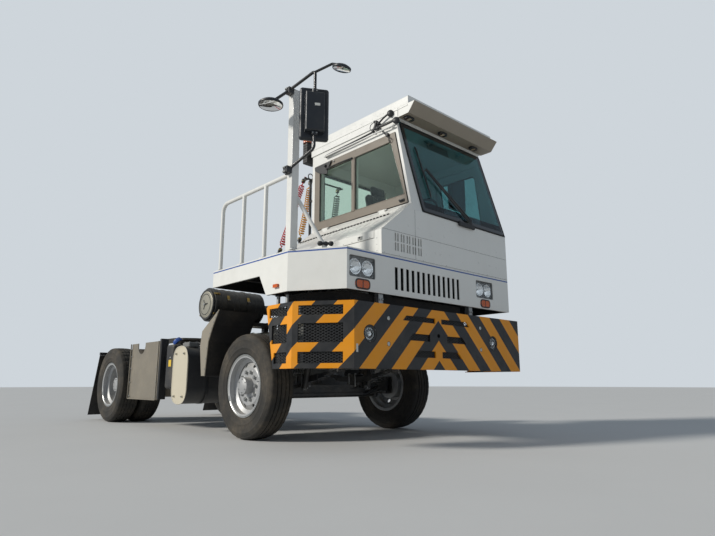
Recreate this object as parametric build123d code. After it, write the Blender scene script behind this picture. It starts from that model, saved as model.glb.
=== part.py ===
from build123d import *
import math
import os

# Terminal tractor, millimetres. +X is forward, +Y is the driver's left, +Z is up.
# The origin is on the ground, midway between the bumper's face and the tail, on the centre line.

# Driving dimensions of the whole vehicle
HALF_LENGTH = 2950.0
FRONT_AXLE_X = 1350.0
REAR_AXLE_X = -2140.0
GAP = 0.3

# Wheels
TYRE_R = 525.0
TYRE_W = 284.0
BEAD_R = 292.0
RIM_R = 286.0
FRONT_WHEEL_Y = 1010.0
OUTER_DUAL_Y = 1118.0
DUAL_PITCH = 325.0
RIM_SKIN = 9.0

# Frame rails
RAIL_OUT_Y = 430.0
RAIL_FLANGE = 80.0
RAIL_WEB = 10.0
RAIL_TOP = 1020.0
RAIL_BOTTOM = 760.0
RAIL_REAR_X = 80.0 - HALF_LENGTH
RAIL_FRONT_X = HALF_LENGTH - 310.0
TAIL_PLATE = 20.0

# Front platform, its skirt and its deck
BODY_FRONT_X = HALF_LENGTH - 83.0
BODY_SIDE_Y = 1375.0
BODY_REAR_X = 1058.0
BODY_BOTTOM = 1337.0
DECK_Z = 1704.0
SKIRT = 30.0
CORNER_X = BODY_FRONT_X - 470.0
CORNER_Y = 1094.0
ARCH_Z = 1531.0
ARCH_LOW_X = 2071.0
ARCH_HIGH_X = 1951.0

# Cab
CAB_RIGHT_Y = -240.0
CAB_LEFT_Y = 1375.0
CAB_ROOF_LEFT_Y = 1200.0
CAB_REAR_X = 1270.0
CAB_WALL = 45.0
SILL_Z = 2216.0
ROOF_TOP = 3440.0
HEAD_Z = ROOF_TOP - 190.0
HEAD_X = BODY_FRONT_X - 204.0

# Side housing beside the cab
HOUSING_Y = -675.0
HOUSING_FOLD_Z = 1937.0
HOUSING_TOP_Z = 2290.0
HOUSING_SKIN = 20.0
COVER_FRONT_X = BODY_FRONT_X - 100.0
COVER_LOW_Z = 1870.0

# Front bumper
BUMPER_TOP = 1231.0
BUMPER_BOTTOM = 673.0
BUMPER_SIDE_Y = 1400.0
BUMPER_CORNER_X = HALF_LENGTH - 431.0
BUMPER_CORNER_Y = 1084.0
BUMPER_REAR_X = HALF_LENGTH - 826.0
BUMPER_SKIN = 14.0

# Fifth wheel and its lifting boom
PIVOT_X = -650.0
PIVOT_Z = 960.0
PLATE_PIVOT_X = -1950.0
PLATE_PIVOT_Z = 1120.0
BOOM_IN_Y = 180.0
BOOM_OUT_Y = 300.0
KINGPIN_R = 25.7

os.makedirs("parts", exist_ok=True)


def box(x, y, z):
    """A block between low and high values on each axis."""
    centre = [(low + high) / 2 for low, high in (x, y, z)]
    size = [high - low for low, high in (x, y, z)]
    return Pos(*centre) * Box(*size)


def rod_x(x, y, z, r):
    return Pos((x[0] + x[1]) / 2, y, z) * Rot(0, 90, 0) * Cylinder(r, x[1] - x[0])


def rod_y(x, y, z, r):
    return Pos(x, (y[0] + y[1]) / 2, z) * Rot(90, 0, 0) * Cylinder(r, y[1] - y[0])


def rod_z(x, y, z, r):
    return Pos(x, y, (z[0] + z[1]) / 2) * Cylinder(r, z[1] - z[0])


def prism_y(points, y):
    """An outline of (x, z) points, drawn out along Y."""
    wire = Wire.make_polygon([(px, y[0], pz) for px, pz in points], close=True)
    return Part() + Solid.extrude(Face(wire), Vector(0, y[1] - y[0], 0))


def prism_x(points, x):
    """An outline of (y, z) points, drawn out along X."""
    wire = Wire.make_polygon([(x[0], py, pz) for py, pz in points], close=True)
    return Part() + Solid.extrude(Face(wire), Vector(x[1] - x[0], 0, 0))


def prism_z(points, z):
    """An outline of (x, y) points, drawn out along Z."""
    wire = Wire.make_polygon([(px, py, z[0]) for px, py in points], close=True)
    return Part() + Solid.extrude(Face(wire), Vector(0, 0, z[1] - z[0]))


def other_side(shape):
    """The same piece on the other side of the centre line."""
    return mirror(shape, about=Plane.XZ)


def bent_tube(points, radii, r):
    """A round bar or tube whose corners are tangent arcs."""
    if len(points) == 2:
        path = Line(points[0], points[1])
    else:
        path = FilletPolyline(*points, radius=radii)
    start = Plane(origin=path @ 0, z_dir=path % 0)
    return Part() + sweep(start * Circle(r), path=path)


def straight_tube(a, b, r):
    return bent_tube([a, b], [], r)


def ring_y(outline, centre):
    """A turned piece about an axle along Y; outline is (radius, y) points."""
    face = make_face(Polyline(*[(radius, across) for radius, across in outline], close=True))
    turned = revolve(face, axis=Axis.Y)
    return Pos(*centre) * turned


def save(name, *shapes):
    solids = []
    for shape in shapes:
        solids.extend(shape.solids())
    export_step(Compound(solids), f"parts/{name}.step")


# Wheels. Each outline runs round half the section and is mirrored by its table.
TREAD_HALF = TYRE_W / 2 - 22.0
RIM_HALF = 124.0
FLANGE_T = 10.0
FLANGE_R = RIM_R + 26.0
BEAD_HALF = RIM_HALF - FLANGE_T - GAP
TYRE_SECTION = [
    (BEAD_R + GAP, -BEAD_HALF),
    (FLANGE_R + GAP, -BEAD_HALF),
    (BEAD_R + 70.0, -TYRE_W / 2 + 2.0),
    (BEAD_R + 150.0, -TYRE_W / 2),
    (TYRE_R - 24.0, -TYRE_W / 2 + 8.0),
    (TYRE_R - 5.0, -TREAD_HALF),
    (TYRE_R, -TREAD_HALF * 0.5),
    (TYRE_R, TREAD_HALF * 0.5),
    (TYRE_R - 5.0, TREAD_HALF),
    (TYRE_R - 24.0, TYRE_W / 2 - 8.0),
    (BEAD_R + 150.0, TYRE_W / 2),
    (BEAD_R + 70.0, TYRE_W / 2 - 2.0),
    (FLANGE_R + GAP, BEAD_HALF),
    (BEAD_R + GAP, BEAD_HALF),
]


def tyre(y, x):
    return ring_y(TYRE_SECTION, (x, y, TYRE_R))


RIM_WELL_R = 248.0
DISC_R = 190.0
HUB_BORE_R = 75.0
BOLT_CIRCLE_R = 140.0
STUD_R = 12.0
STUD_COUNT = 10
HAND_HOLES = 8


def rim(x, y, side, disc_depth):
    """A disc wheel; disc_depth is how far the disc sits in from the outer flange."""
    disc = (RIM_HALF - disc_depth) * side
    flange = [
        (FLANGE_R, RIM_HALF),
        (FLANGE_R, RIM_HALF - FLANGE_T),
        (BEAD_R, RIM_HALF - FLANGE_T),
        (BEAD_R, 60.0),
        (RIM_WELL_R, 40.0),
        (RIM_WELL_R, -40.0),
        (BEAD_R, -60.0),
        (BEAD_R, FLANGE_T - RIM_HALF),
        (FLANGE_R, FLANGE_T - RIM_HALF),
        (FLANGE_R, -RIM_HALF),
        (RIM_R - 6.0, -RIM_HALF + 6.0),
        (RIM_R - 8.0, -64.0),
        (RIM_WELL_R - RIM_SKIN, -46.0),
        (RIM_WELL_R - RIM_SKIN, 46.0),
        (RIM_R - 8.0, 64.0),
        (RIM_R - 6.0, RIM_HALF - 6.0),
    ]
    barrel = ring_y(flange, (x, y, TYRE_R))
    inner = disc - 34.0 * side
    edge_r = RIM_WELL_R - RIM_SKIN + 2.0 if abs(inner) < 60.0 else RIM_R - 4.0
    dish = ring_y(
        [
            (HUB_BORE_R, disc),
            (DISC_R, disc),
            (edge_r, inner),
            (edge_r, inner - 14.0 * side),
            (DISC_R - 4.0, disc - 14.0 * side),
            (HUB_BORE_R, disc - 14.0 * side),
        ],
        (x, y, TYRE_R),
    )
    for k in range(HAND_HOLES):
        angle = 2 * math.pi * (k + 0.5) / HAND_HOLES
        hole_x = x + 213.0 * math.cos(angle)
        hole_z = TYRE_R + 213.0 * math.sin(angle)
        dish -= rod_y(hole_x, (y - 200.0, y + 200.0), hole_z, 21.0)
    return barrel + dish


def hub(x, y_flange, y_end, side, cap_r):
    """Hub, its ring of wheel nuts and its cap, outside the wheel disc."""
    low, high = sorted((y_flange, y_end))
    body = rod_y(x, (low, high), TYRE_R, cap_r)
    nut_out = y_flange + 34.0 * side
    for k in range(STUD_COUNT):
        angle = 2 * math.pi * k / STUD_COUNT
        nut_x = x + BOLT_CIRCLE_R * math.cos(angle)
        nut_z = TYRE_R + BOLT_CIRCLE_R * math.sin(angle)
        span = tuple(sorted((y_flange, nut_out)))
        body += rod_y(nut_x, span, nut_z, STUD_R)
    return body


FRONT_DISC_DEPTH = 62.0
REAR_DISC_DEPTH = 196.0
FRONT_SPINDLE_R = 40.0
SPINDLE_CLEARANCE = 0.3
REAR_TUBE_R = 62.0

for side, word in ((1, "left"), (-1, "right")):
    wheel_y = FRONT_WHEEL_Y * side
    disc_face = wheel_y + (RIM_HALF - FRONT_DISC_DEPTH) * side
    save(f"front_tyre_{word}", tyre(wheel_y, FRONT_AXLE_X))
    front_rim = rim(FRONT_AXLE_X, wheel_y, side, FRONT_DISC_DEPTH)
    front_hub = hub(FRONT_AXLE_X, disc_face - 14.0 * side, disc_face + 78.0 * side, side, 84.0)
    hub_root = tuple(sorted((wheel_y - 50.0 * side, disc_face)))
    drum = rod_y(FRONT_AXLE_X, hub_root, TYRE_R, 160.0)
    spindle_hole = tuple(sorted((wheel_y - 80.0 * side, wheel_y + 40.0 * side)))
    drum -= rod_y(FRONT_AXLE_X, spindle_hole, TYRE_R, FRONT_SPINDLE_R + SPINDLE_CLEARANCE)
    save(f"front_rim_{word}", front_rim + front_hub + drum)

    outer_y = OUTER_DUAL_Y * side
    inner_y = (OUTER_DUAL_Y - DUAL_PITCH) * side
    save(f"rear_tyres_{word}", tyre(outer_y, REAR_AXLE_X), tyre(inner_y, REAR_AXLE_X))
    outer_rim = rim(REAR_AXLE_X, outer_y, side, REAR_DISC_DEPTH)
    mid = (OUTER_DUAL_Y - DUAL_PITCH / 2) * side
    disc_out = outer_y + (RIM_HALF - REAR_DISC_DEPTH) * side
    inner_rim = rim(REAR_AXLE_X, inner_y, side, 2 * RIM_HALF - REAR_DISC_DEPTH)
    rear_hub = hub(REAR_AXLE_X, disc_out - 14.0 * side, outer_y + 40.0 * side, side, 96.0)
    spacer = rod_y(REAR_AXLE_X, tuple(sorted((inner_y - 40.0 * side, disc_out - 4.0 * side))), TYRE_R, 165.0)
    bore = tuple(sorted((inner_y - 60.0 * side, mid)))
    spacer -= rod_y(REAR_AXLE_X, bore, TYRE_R, REAR_TUBE_R + SPINDLE_CLEARANCE)
    save(f"rear_rims_{word}", outer_rim + inner_rim + rear_hub + spacer)

# Front axle, springs, knuckles and tie rod
KINGPIN_Y = 880.0
KINGPIN_PIN_R = 24.0
EYE_HALF = 62.0
EYE_R = 48.0
SPRING_Y = 390.0
BEAM_TOP = 560.0
BEAM_LOW = 440.0
YOKE_GAP = 5.0

beam_outline = [
    (-KINGPIN_Y, TYRE_R - EYE_HALF),
    (-KINGPIN_Y, TYRE_R + EYE_HALF),
    (-SPRING_Y - 190.0, BEAM_TOP - 30.0),
    (SPRING_Y + 190.0, BEAM_TOP - 30.0),
    (KINGPIN_Y, TYRE_R + EYE_HALF),
    (KINGPIN_Y, TYRE_R - EYE_HALF),
    (KINGPIN_Y - 130.0, TYRE_R - EYE_HALF),
    (SPRING_Y + 130.0, BEAM_LOW - 30.0),
    (-SPRING_Y - 130.0, BEAM_LOW - 30.0),
    (-KINGPIN_Y + 130.0, TYRE_R - EYE_HALF),
]
beam = prism_x(beam_outline, (FRONT_AXLE_X - 45.0, FRONT_AXLE_X + 45.0))
web_cut = [
    (-KINGPIN_Y + 130.0, TYRE_R - 10.0),
    (-SPRING_Y - 170.0, BEAM_TOP - 58.0),
    (SPRING_Y + 170.0, BEAM_TOP - 58.0),
    (KINGPIN_Y - 130.0, TYRE_R - 10.0),
    (SPRING_Y + 130.0, BEAM_LOW - 2.0),
    (-SPRING_Y - 130.0, BEAM_LOW - 2.0),
]
for low, high in ((-46.0, -12.0), (12.0, 46.0)):
    beam -= prism_x(web_cut, (FRONT_AXLE_X + low, FRONT_AXLE_X + high))
for side in (1, -1):
    eye = rod_z(FRONT_AXLE_X, KINGPIN_Y * side, (TYRE_R - EYE_HALF, TYRE_R + EYE_HALF), EYE_R)
    beam += eye
    beam -= rod_z(FRONT_AXLE_X, KINGPIN_Y * side, (0.0, 2 * TYRE_R), KINGPIN_PIN_R + GAP)
    seat = box(
        (FRONT_AXLE_X - 90.0, FRONT_AXLE_X + 90.0),
        (SPRING_Y * side - 48.0, SPRING_Y * side + 48.0),
        (BEAM_TOP - 34.0, BEAM_TOP),
    )
    beam += seat
save("front_axle", beam)

SPRING_LEAVES = 4
LEAF_T = 16.0
LEAF_W = 84.0
SPRING_HALF = 640.0
SPRING_SAG = 96.0
SHACKLE_R = 22.0


def leaf(half, level, x, y):
    """One curved leaf: a band between two arcs, low in the middle."""
    rise = SPRING_SAG * (half / SPRING_HALF) ** 2
    base = level
    lower = ThreePointArc((x - half, base + rise), (x, base), (x + half, base + rise))
    upper = ThreePointArc(
        (x + half, base + rise + LEAF_T), (x, base + LEAF_T), (x - half, base + rise + LEAF_T)
    )
    ends = [Line(lower @ 1, upper @ 0), Line(upper @ 1, lower @ 0)]
    outline = Plane.XZ * make_face([lower, ends[0], upper, ends[1]])
    solid = extrude(outline, LEAF_W, dir=(0, 1, 0))
    return Pos(0, y - LEAF_W / 2, 0) * solid


springs = []
for side in (1, -1):
    pack = Part()
    for k in range(SPRING_LEAVES):
        half = SPRING_HALF - 110.0 * (SPRING_LEAVES - 1 - k)
        pack += leaf(half, BEAM_TOP + k * LEAF_T, FRONT_AXLE_X, SPRING_Y * side)
    eye_z = BEAM_TOP + (SPRING_LEAVES - 1) * LEAF_T + SPRING_SAG + LEAF_T
    for end in (-1, 1):
        eye_x = FRONT_AXLE_X + SPRING_HALF * end
        across = (SPRING_Y * side - LEAF_W / 2, SPRING_Y * side + LEAF_W / 2)
        pack += rod_y(eye_x, across, eye_z, SHACKLE_R + 12.0)
    clamp = box(
        (FRONT_AXLE_X - 80.0, FRONT_AXLE_X + 80.0),
        (SPRING_Y * side - 56.0, SPRING_Y * side + 56.0),
        (BEAM_TOP + SPRING_LEAVES * LEAF_T, BEAM_TOP + SPRING_LEAVES * LEAF_T + 26.0),
    )
    pack += clamp
    springs.append(pack)
save("front_springs", *springs)

ARM_REACH = 170.0
ARM_Y = KINGPIN_Y
TIE_ROD_Z = 448.0
BALL_R = 16.0
TIE_ROD_R = 18.0

for side, word in ((1, "left"), (-1, "right")):
    pin_y = KINGPIN_Y * side
    top = TYRE_R + EYE_HALF + YOKE_GAP
    low = TYRE_R - EYE_HALF - YOKE_GAP
    knuckle = rod_z(FRONT_AXLE_X, pin_y, (low - 34.0, top + 34.0), KINGPIN_PIN_R)
    knuckle += rod_z(FRONT_AXLE_X, pin_y, (top, top + 34.0), EYE_R)
    knuckle += rod_z(FRONT_AXLE_X, pin_y, (low - 34.0, low), EYE_R)
    plate_in = pin_y + (EYE_R + 6.0) * side
    plate = tuple(sorted((plate_in, plate_in + 14.0 * side)))
    knuckle += box((FRONT_AXLE_X - 60.0, FRONT_AXLE_X + 60.0), plate, (low - 34.0, top + 34.0))
    bridge = tuple(sorted((pin_y, plate_in + 4.0 * side)))
    knuckle += box((FRONT_AXLE_X - 40.0, FRONT_AXLE_X + 40.0), bridge, (top, top + 34.0))
    knuckle += box((FRONT_AXLE_X - 40.0, FRONT_AXLE_X + 40.0), bridge, (low - 34.0, low))
    spindle = tuple(sorted((plate_in, FRONT_WHEEL_Y * side + 30.0 * side)))
    knuckle += rod_y(FRONT_AXLE_X, spindle, TYRE_R, FRONT_SPINDLE_R)
    arm = prism_z(
        [
            (FRONT_AXLE_X - 20.0, pin_y - 30.0 * side),
            (FRONT_AXLE_X - 20.0, pin_y + 30.0 * side),
            (FRONT_AXLE_X - ARM_REACH - 22.0, ARM_Y * side + 22.0 * side),
            (FRONT_AXLE_X - ARM_REACH - 22.0, ARM_Y * side - 22.0 * side),
            (FRONT_AXLE_X - ARM_REACH + 40.0, ARM_Y * side - 30.0 * side),
        ],
        (low - 34.0, low - 10.0),
    )
    knuckle += arm
    ball_low = TIE_ROD_Z - 60.0
    knuckle += rod_z(FRONT_AXLE_X - ARM_REACH, ARM_Y * side, (ball_low, low - 20.0), BALL_R)
    save(f"knuckle_{word}", knuckle)

# The rod's sockets hang on the ball pins below the steering arms.
socket_top = TYRE_R - EYE_HALF - YOKE_GAP - 34.0 - GAP
socket_low = socket_top - 44.0
socket_mid = (socket_top + socket_low) / 2
tie = rod_y(FRONT_AXLE_X - ARM_REACH, (-ARM_Y + 20.0, ARM_Y - 20.0), socket_mid, TIE_ROD_R)
for side in (1, -1):
    tie += rod_z(FRONT_AXLE_X - ARM_REACH, ARM_Y * side, (socket_low, socket_top), 34.0)
for side in (1, -1):
    hole = rod_z(FRONT_AXLE_X - ARM_REACH, ARM_Y * side, (socket_low - 1, socket_top + 1), BALL_R + GAP)
    tie -= hole
save("tie_rod", tie)

# Rear axle with its differential, and the shaft that drives it
DIFF_R = 205.0
DIFF_X = REAR_AXLE_X + 40.0
AXLE_HALF = 92.0
SADDLE_Y = 390.0
INNER_FACE = OUTER_DUAL_Y - DUAL_PITCH - TYRE_W / 2

housing = box(
    (REAR_AXLE_X - AXLE_HALF, REAR_AXLE_X + AXLE_HALF),
    (-INNER_FACE + 60.0, INNER_FACE - 60.0),
    (TYRE_R - AXLE_HALF, TYRE_R + AXLE_HALF),
)
housing = fillet(housing.edges().filter_by(Axis.Y), 40.0)
housing += rod_y(DIFF_X, (-150.0, 150.0), TYRE_R, DIFF_R)
nose = Pos(REAR_AXLE_X + 230.0, 0, TYRE_R) * Rot(0, 90, 0) * Cone(150.0, 80.0, 150.0)
housing += nose
housing += rod_y(REAR_AXLE_X, (-OUTER_DUAL_Y + 180.0, OUTER_DUAL_Y - 180.0), TYRE_R, REAR_TUBE_R)
for side in (1, -1):
    brake = tuple(sorted((side * (INNER_FACE - 66.0), side * (INNER_FACE - 20.0))))
    housing += rod_y(REAR_AXLE_X, brake, TYRE_R, 150.0)
    saddle_y = (SADDLE_Y * side - 50.0, SADDLE_Y * side + 50.0)
    saddle = prism_y(
        [
            (REAR_AXLE_X - 150.0, RAIL_BOTTOM - GAP),
            (REAR_AXLE_X + 150.0, RAIL_BOTTOM - GAP),
            (REAR_AXLE_X + 95.0, TYRE_R + 60.0),
            (REAR_AXLE_X - 95.0, TYRE_R + 60.0),
        ],
        saddle_y,
    )
    housing += saddle
save("rear_axle", housing)

SHAFT_R = 48.0
ENGINE_REAR_X = 1120.0
GEARBOX_REAR_X = 620.0
GEARBOX_Z = 800.0
shaft_start = (REAR_AXLE_X + 305.0 + GAP, 0.0, TYRE_R)
shaft_end = (GEARBOX_REAR_X - GAP, 0.0, GEARBOX_Z - 60.0)
shaft = straight_tube(
    (shaft_start[0] + 90.0, 0.0, shaft_start[2] + 8.0),
    (shaft_end[0] - 90.0, 0.0, shaft_end[2] - 8.0),
    SHAFT_R,
)
shaft += rod_x((shaft_start[0], shaft_start[0] + 40.0), 0.0, shaft_start[2], 76.0)
shaft += rod_x((shaft_start[0], shaft_start[0] + 120.0), 0.0, shaft_start[2], 40.0)
shaft += rod_x((shaft_end[0] - 40.0, shaft_end[0]), 0.0, shaft_end[2], 76.0)
shaft += rod_x((shaft_end[0] - 120.0, shaft_end[0]), 0.0, shaft_end[2], 40.0)
save("drive_shaft", shaft)

# Engine and gearbox as one plain mass between the rails, with the radiator ahead of it
ENGINE_FRONT_X = RAIL_FRONT_X - 340.0
ENGINE_HALF_Y = 300.0
engine = box((ENGINE_REAR_X, ENGINE_FRONT_X), (-ENGINE_HALF_Y, ENGINE_HALF_Y), (700.0, 1560.0))
engine = chamfer(engine.edges().filter_by(Axis.X), 90.0)
engine += box((GEARBOX_REAR_X + 30.0, ENGINE_REAR_X), (-200.0, 200.0), (640.0, 1010.0))
engine += rod_x((GEARBOX_REAR_X, GEARBOX_REAR_X + 60.0), 0.0, shaft_end[2], 76.0)
RADIATOR_X = (ENGINE_FRONT_X + 180.0, ENGINE_FRONT_X + 260.0)
engine += box((ENGINE_FRONT_X - 10.0, RADIATOR_X[0]), (-120.0, 120.0), (1000.0, 1240.0))
engine += box(RADIATOR_X, (-390.0, 390.0), (RAIL_TOP + GAP, 1600.0))
for side in (1, -1):
    foot = tuple(sorted((side * (ENGINE_HALF_Y - 20.0), side * (RAIL_OUT_Y - RAIL_WEB - GAP))))
    for foot_x in (ENGINE_REAR_X + 180.0, ENGINE_FRONT_X - 150.0):
        engine += box((foot_x - 60.0, foot_x + 60.0), foot, (900.0, 960.0))
save("engine_block", engine)

# Frame: two channels, cross members, and the carriers for boom, cylinders and springs
CROSS_MEMBERS = [
    # x, low z, high z, length along x
    (RAIL_REAR_X + 40.0, 780.0, 1000.0, 60.0),
    (RAIL_REAR_X + 310.0, 800.0, 980.0, 70.0),
    (-780.0, 780.0, 860.0, 60.0),
    (250.0, 800.0, 1000.0, 70.0),
    (RAIL_FRONT_X - 40.0, 780.0, 990.0, 70.0),
]
BASE_X = -900.0
BASE_Z = 640.0
ROD_PIN_X = -1550.0
ROD_PIN_Z = 860.0
CYL_Y = 240.0
CYL_PIN_R = 25.0
PIVOT_R = 45.0

frame_parts = Part()
for side in (1, -1):
    out = RAIL_OUT_Y * side
    span = tuple(sorted((out, out - RAIL_FLANGE * side)))
    hollow = tuple(sorted((out - RAIL_WEB * side, out - (RAIL_FLANGE + 10.0) * side)))
    rail = box((RAIL_REAR_X, RAIL_FRONT_X), span, (RAIL_BOTTOM, RAIL_TOP))
    rail -= box(
        (RAIL_REAR_X - 1.0, RAIL_FRONT_X + 1.0), hollow, (RAIL_BOTTOM + RAIL_WEB, RAIL_TOP - RAIL_WEB)
    )
    frame_parts += rail
web_y = RAIL_OUT_Y - RAIL_WEB + 2.0
for x, z_low, z_high, long_x in CROSS_MEMBERS:
    member = box((x - long_x / 2, x + long_x / 2), (-web_y, web_y), (z_low, z_high))
    hollow_x = (x - long_x / 2 + 10.0, x + long_x)
    member -= box(hollow_x, (-web_y + 30.0, web_y - 30.0), (z_low + 10.0, z_high - 10.0))
    frame_parts += member
frame_parts += rod_y(PIVOT_X, (-web_y, web_y), PIVOT_Z, PIVOT_R)
for side in (1, -1):
    boss = tuple(sorted((side * (BOOM_OUT_Y + 8.0), side * web_y)))
    frame_parts += rod_y(PIVOT_X, boss, PIVOT_Z, 85.0) & box(
        (PIVOT_X - 200.0, PIVOT_X + 200.0), (-web_y, web_y), (RAIL_BOTTOM, RAIL_TOP)
    )
    outer = tuple(sorted((side * 312.0, side * (RAIL_OUT_Y - RAIL_FLANGE + 2.0))))
    hanger = prism_y(
        [
            (BASE_X - 110.0, RAIL_TOP - 40.0),
            (BASE_X + 110.0, RAIL_TOP - 40.0),
            (BASE_X + 110.0, RAIL_BOTTOM),
            (BASE_X + 60.0, BASE_Z - 60.0),
            (BASE_X - 60.0, BASE_Z - 60.0),
            (BASE_X - 110.0, RAIL_BOTTOM),
        ],
        outer,
    )
    inner = tuple(sorted((side * 150.0, side * 176.0)))
    cheek = prism_y(
        [
            (BASE_X - 60.0, BASE_Z + 60.0),
            (BASE_X + 60.0, BASE_Z + 60.0),
            (BASE_X + 60.0, BASE_Z - 90.0),
            (BASE_X - 60.0, BASE_Z - 90.0),
        ],
        inner,
    )
    floor = box(
        (BASE_X - 60.0, BASE_X + 60.0),
        tuple(sorted((side * 150.0, side * 338.0))),
        (BASE_Z - 90.0, BASE_Z - 58.0),
    )
    pin = rod_y(BASE_X, tuple(sorted((side * 160.0, side * 330.0))), BASE_Z, CYL_PIN_R)
    frame_parts += hanger + cheek + floor + pin
    for end in (-1, 1):
        hang_x = FRONT_AXLE_X + SPRING_HALF * end
        ear = box(
            (hang_x - 36.0, hang_x + 36.0),
            tuple(sorted((side * (RAIL_OUT_Y - RAIL_FLANGE), side * RAIL_OUT_Y))),
            (eye_z + SHACKLE_R + 12.0 + GAP, RAIL_BOTTOM + 2.0),
        )
        frame_parts += ear
tail = box((RAIL_REAR_X - TAIL_PLATE, RAIL_REAR_X), (-520.0, 520.0), (740.0, 1030.0))
tail -= rod_x((RAIL_REAR_X - 40.0, RAIL_REAR_X + 20.0), 0.0, 885.0, 40.0)
frame_parts += tail
save("chassis_frame", frame_parts)

# Front bumper: a bent plate with rows of openings, closed by mesh from behind
BUMPER_ROWS = [
    # low z, high z, half width of the centre slots' inner and outer ends
    (1104.0, 1152.0, 45.0, 472.0),
    (930.0, 994.0, 125.0, 395.0),
    (782.0, 842.0, 50.0, 325.0),
]
SIDE_ROWS = [
    # low z, high z, rear x of the right side's opening
    (1115.0, 1196.0, BUMPER_REAR_X + 54.0),
    (885.0, 1045.0, BUMPER_REAR_X + 98.0),
    (715.0, 808.0, BUMPER_REAR_X + 138.0),
]
SIDE_MESH_FRONT_X = BUMPER_CORNER_X - 73.0
CORNER_MESH_LOW = 52.0
CORNER_MESH_HIGH = 440.0
FOG_Y = 903.0
FOG_Z = 963.0
FOG_HOLE_R = 76.0
MESH_T = 4.0
BUMPER_SLANT = 126.0

bumper_plan = [
    (BUMPER_REAR_X, -BUMPER_SIDE_Y),
    (BUMPER_CORNER_X, -BUMPER_SIDE_Y),
    (HALF_LENGTH, -BUMPER_CORNER_Y),
    (HALF_LENGTH, BUMPER_SIDE_Y),
    (BUMPER_REAR_X, BUMPER_SIDE_Y),
]
corner_angle = math.atan2(BUMPER_SIDE_Y - BUMPER_CORNER_Y, HALF_LENGTH - BUMPER_CORNER_X)


def shell(plan, skin, z, open_rear):
    """A wall that follows a plan; the rear is left open where asked."""
    outer = prism_z(plan, z)
    rear_x = plan[0][0]
    reach = 200.0 if open_rear else 0.0
    longer = [(x - reach if x == rear_x else x, y) for x, y in plan]
    face = make_face(Polyline(*[(x, y) for x, y in longer], close=True))
    inner = extrude(Pos(0, 0, z[0] - 1.0) * offset(face, -skin), z[1] - z[0] + 2.0)
    return outer - inner


def on_corner(s, z, half_t):
    """A block laid on the slanted right corner; s runs forward from its rear edge."""
    length = s[1] - s[0]
    block = Box(length, 2 * half_t, z[1] - z[0])
    block = Pos((s[0] + s[1]) / 2, 0, (z[0] + z[1]) / 2) * block
    return Pos(BUMPER_CORNER_X, -BUMPER_SIDE_Y, 0) * Rot(0, 0, math.degrees(corner_angle)) * block


bumper = shell(bumper_plan, BUMPER_SKIN, (BUMPER_BOTTOM, BUMPER_TOP), True)
lip_plan = make_face(Polyline(*bumper_plan, close=True))
lip_inner = offset(lip_plan, -60.0)
for level in (BUMPER_BOTTOM, BUMPER_TOP - 8.0):
    lip = extrude(Pos(0, 0, level) * lip_plan, 8.0)
    lip -= extrude(Pos(0, 0, level - 1.0) * lip_inner, 10.0)
    lip -= box((BUMPER_REAR_X - 10.0, BUMPER_REAR_X + 80.0), (-1300.0, 1300.0), (level - 2.0, level + 12.0))
    bumper += lip
slant = [
    (BUMPER_REAR_X - 1.0, BUMPER_TOP + 1.0),
    (BUMPER_REAR_X + BUMPER_SLANT, BUMPER_BOTTOM - 1.0),
    (BUMPER_REAR_X - 1.0, BUMPER_BOTTOM - 1.0),
]
bumper -= prism_y(slant, (-BUMPER_SIDE_Y - 1.0, BUMPER_SIDE_Y + 1.0))
mesh_panels = []
for (low, high, y_in, y_out), (s_low, s_high, rear_x) in zip(BUMPER_ROWS, SIDE_ROWS):
    for side in (1, -1):
        lean = (high - low) / 2
        slot_outline = [
            (side * y_in, low),
            (side * (y_out + lean), low),
            (side * (y_out - lean), high),
            (side * y_in, high),
        ]
        bumper -= prism_x(slot_outline, (HALF_LENGTH - 40.0, HALF_LENGTH + 1.0))
        wide = tuple(sorted((side * (y_in - 15.0), side * (y_out + lean + 15.0))))
        back = HALF_LENGTH - BUMPER_SKIN - GAP
        mesh_panels.append(box((back - MESH_T, back), wide, (low - 12.0, high + 12.0)))
    side_cut = (-BUMPER_SIDE_Y - 1.0, -BUMPER_SIDE_Y + 30.0)
    bumper -= box((rear_x, SIDE_MESH_FRONT_X), side_cut, (s_low, s_high))
    bumper -= on_corner((CORNER_MESH_LOW, CORNER_MESH_HIGH), (s_low, s_high), 30.0)
    inside = -BUMPER_SIDE_Y + BUMPER_SKIN + GAP
    mesh_panels.append(
        box((rear_x - 10.0, SIDE_MESH_FRONT_X + 15.0), (inside, inside + MESH_T), (s_low - 12.0, s_high + 12.0))
    )
    depth = BUMPER_SKIN + GAP + MESH_T / 2
    panel_s = (CORNER_MESH_LOW - 15.0, CORNER_MESH_HIGH + 15.0)
    panel = on_corner(panel_s, (s_low - 12.0, s_high + 12.0), MESH_T / 2)
    mesh_panels.append(Pos(-depth * math.sin(corner_angle), depth * math.cos(corner_angle), 0) * panel)
for side in (1, -1):
    bumper -= rod_x((HALF_LENGTH - 60.0, HALF_LENGTH + 1.0), FOG_Y * side, FOG_Z, FOG_HOLE_R)
TOW_Z = 990.0
TOW_R = 34.0
TOW_BORE_R = 20.0
boss = rod_x((HALF_LENGTH - 70.0, HALF_LENGTH - 2.0), 0.0, TOW_Z, TOW_R)
bumper += boss
bumper -= rod_x((HALF_LENGTH - 60.0, HALF_LENGTH + 1.0), 0.0, TOW_Z, TOW_BORE_R)
STEP_Z = (760.0, 1010.0)
STEP_X = (HALF_LENGTH - 620.0, HALF_LENGTH - 220.0)
STEP_HIGH = 170.0
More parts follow.
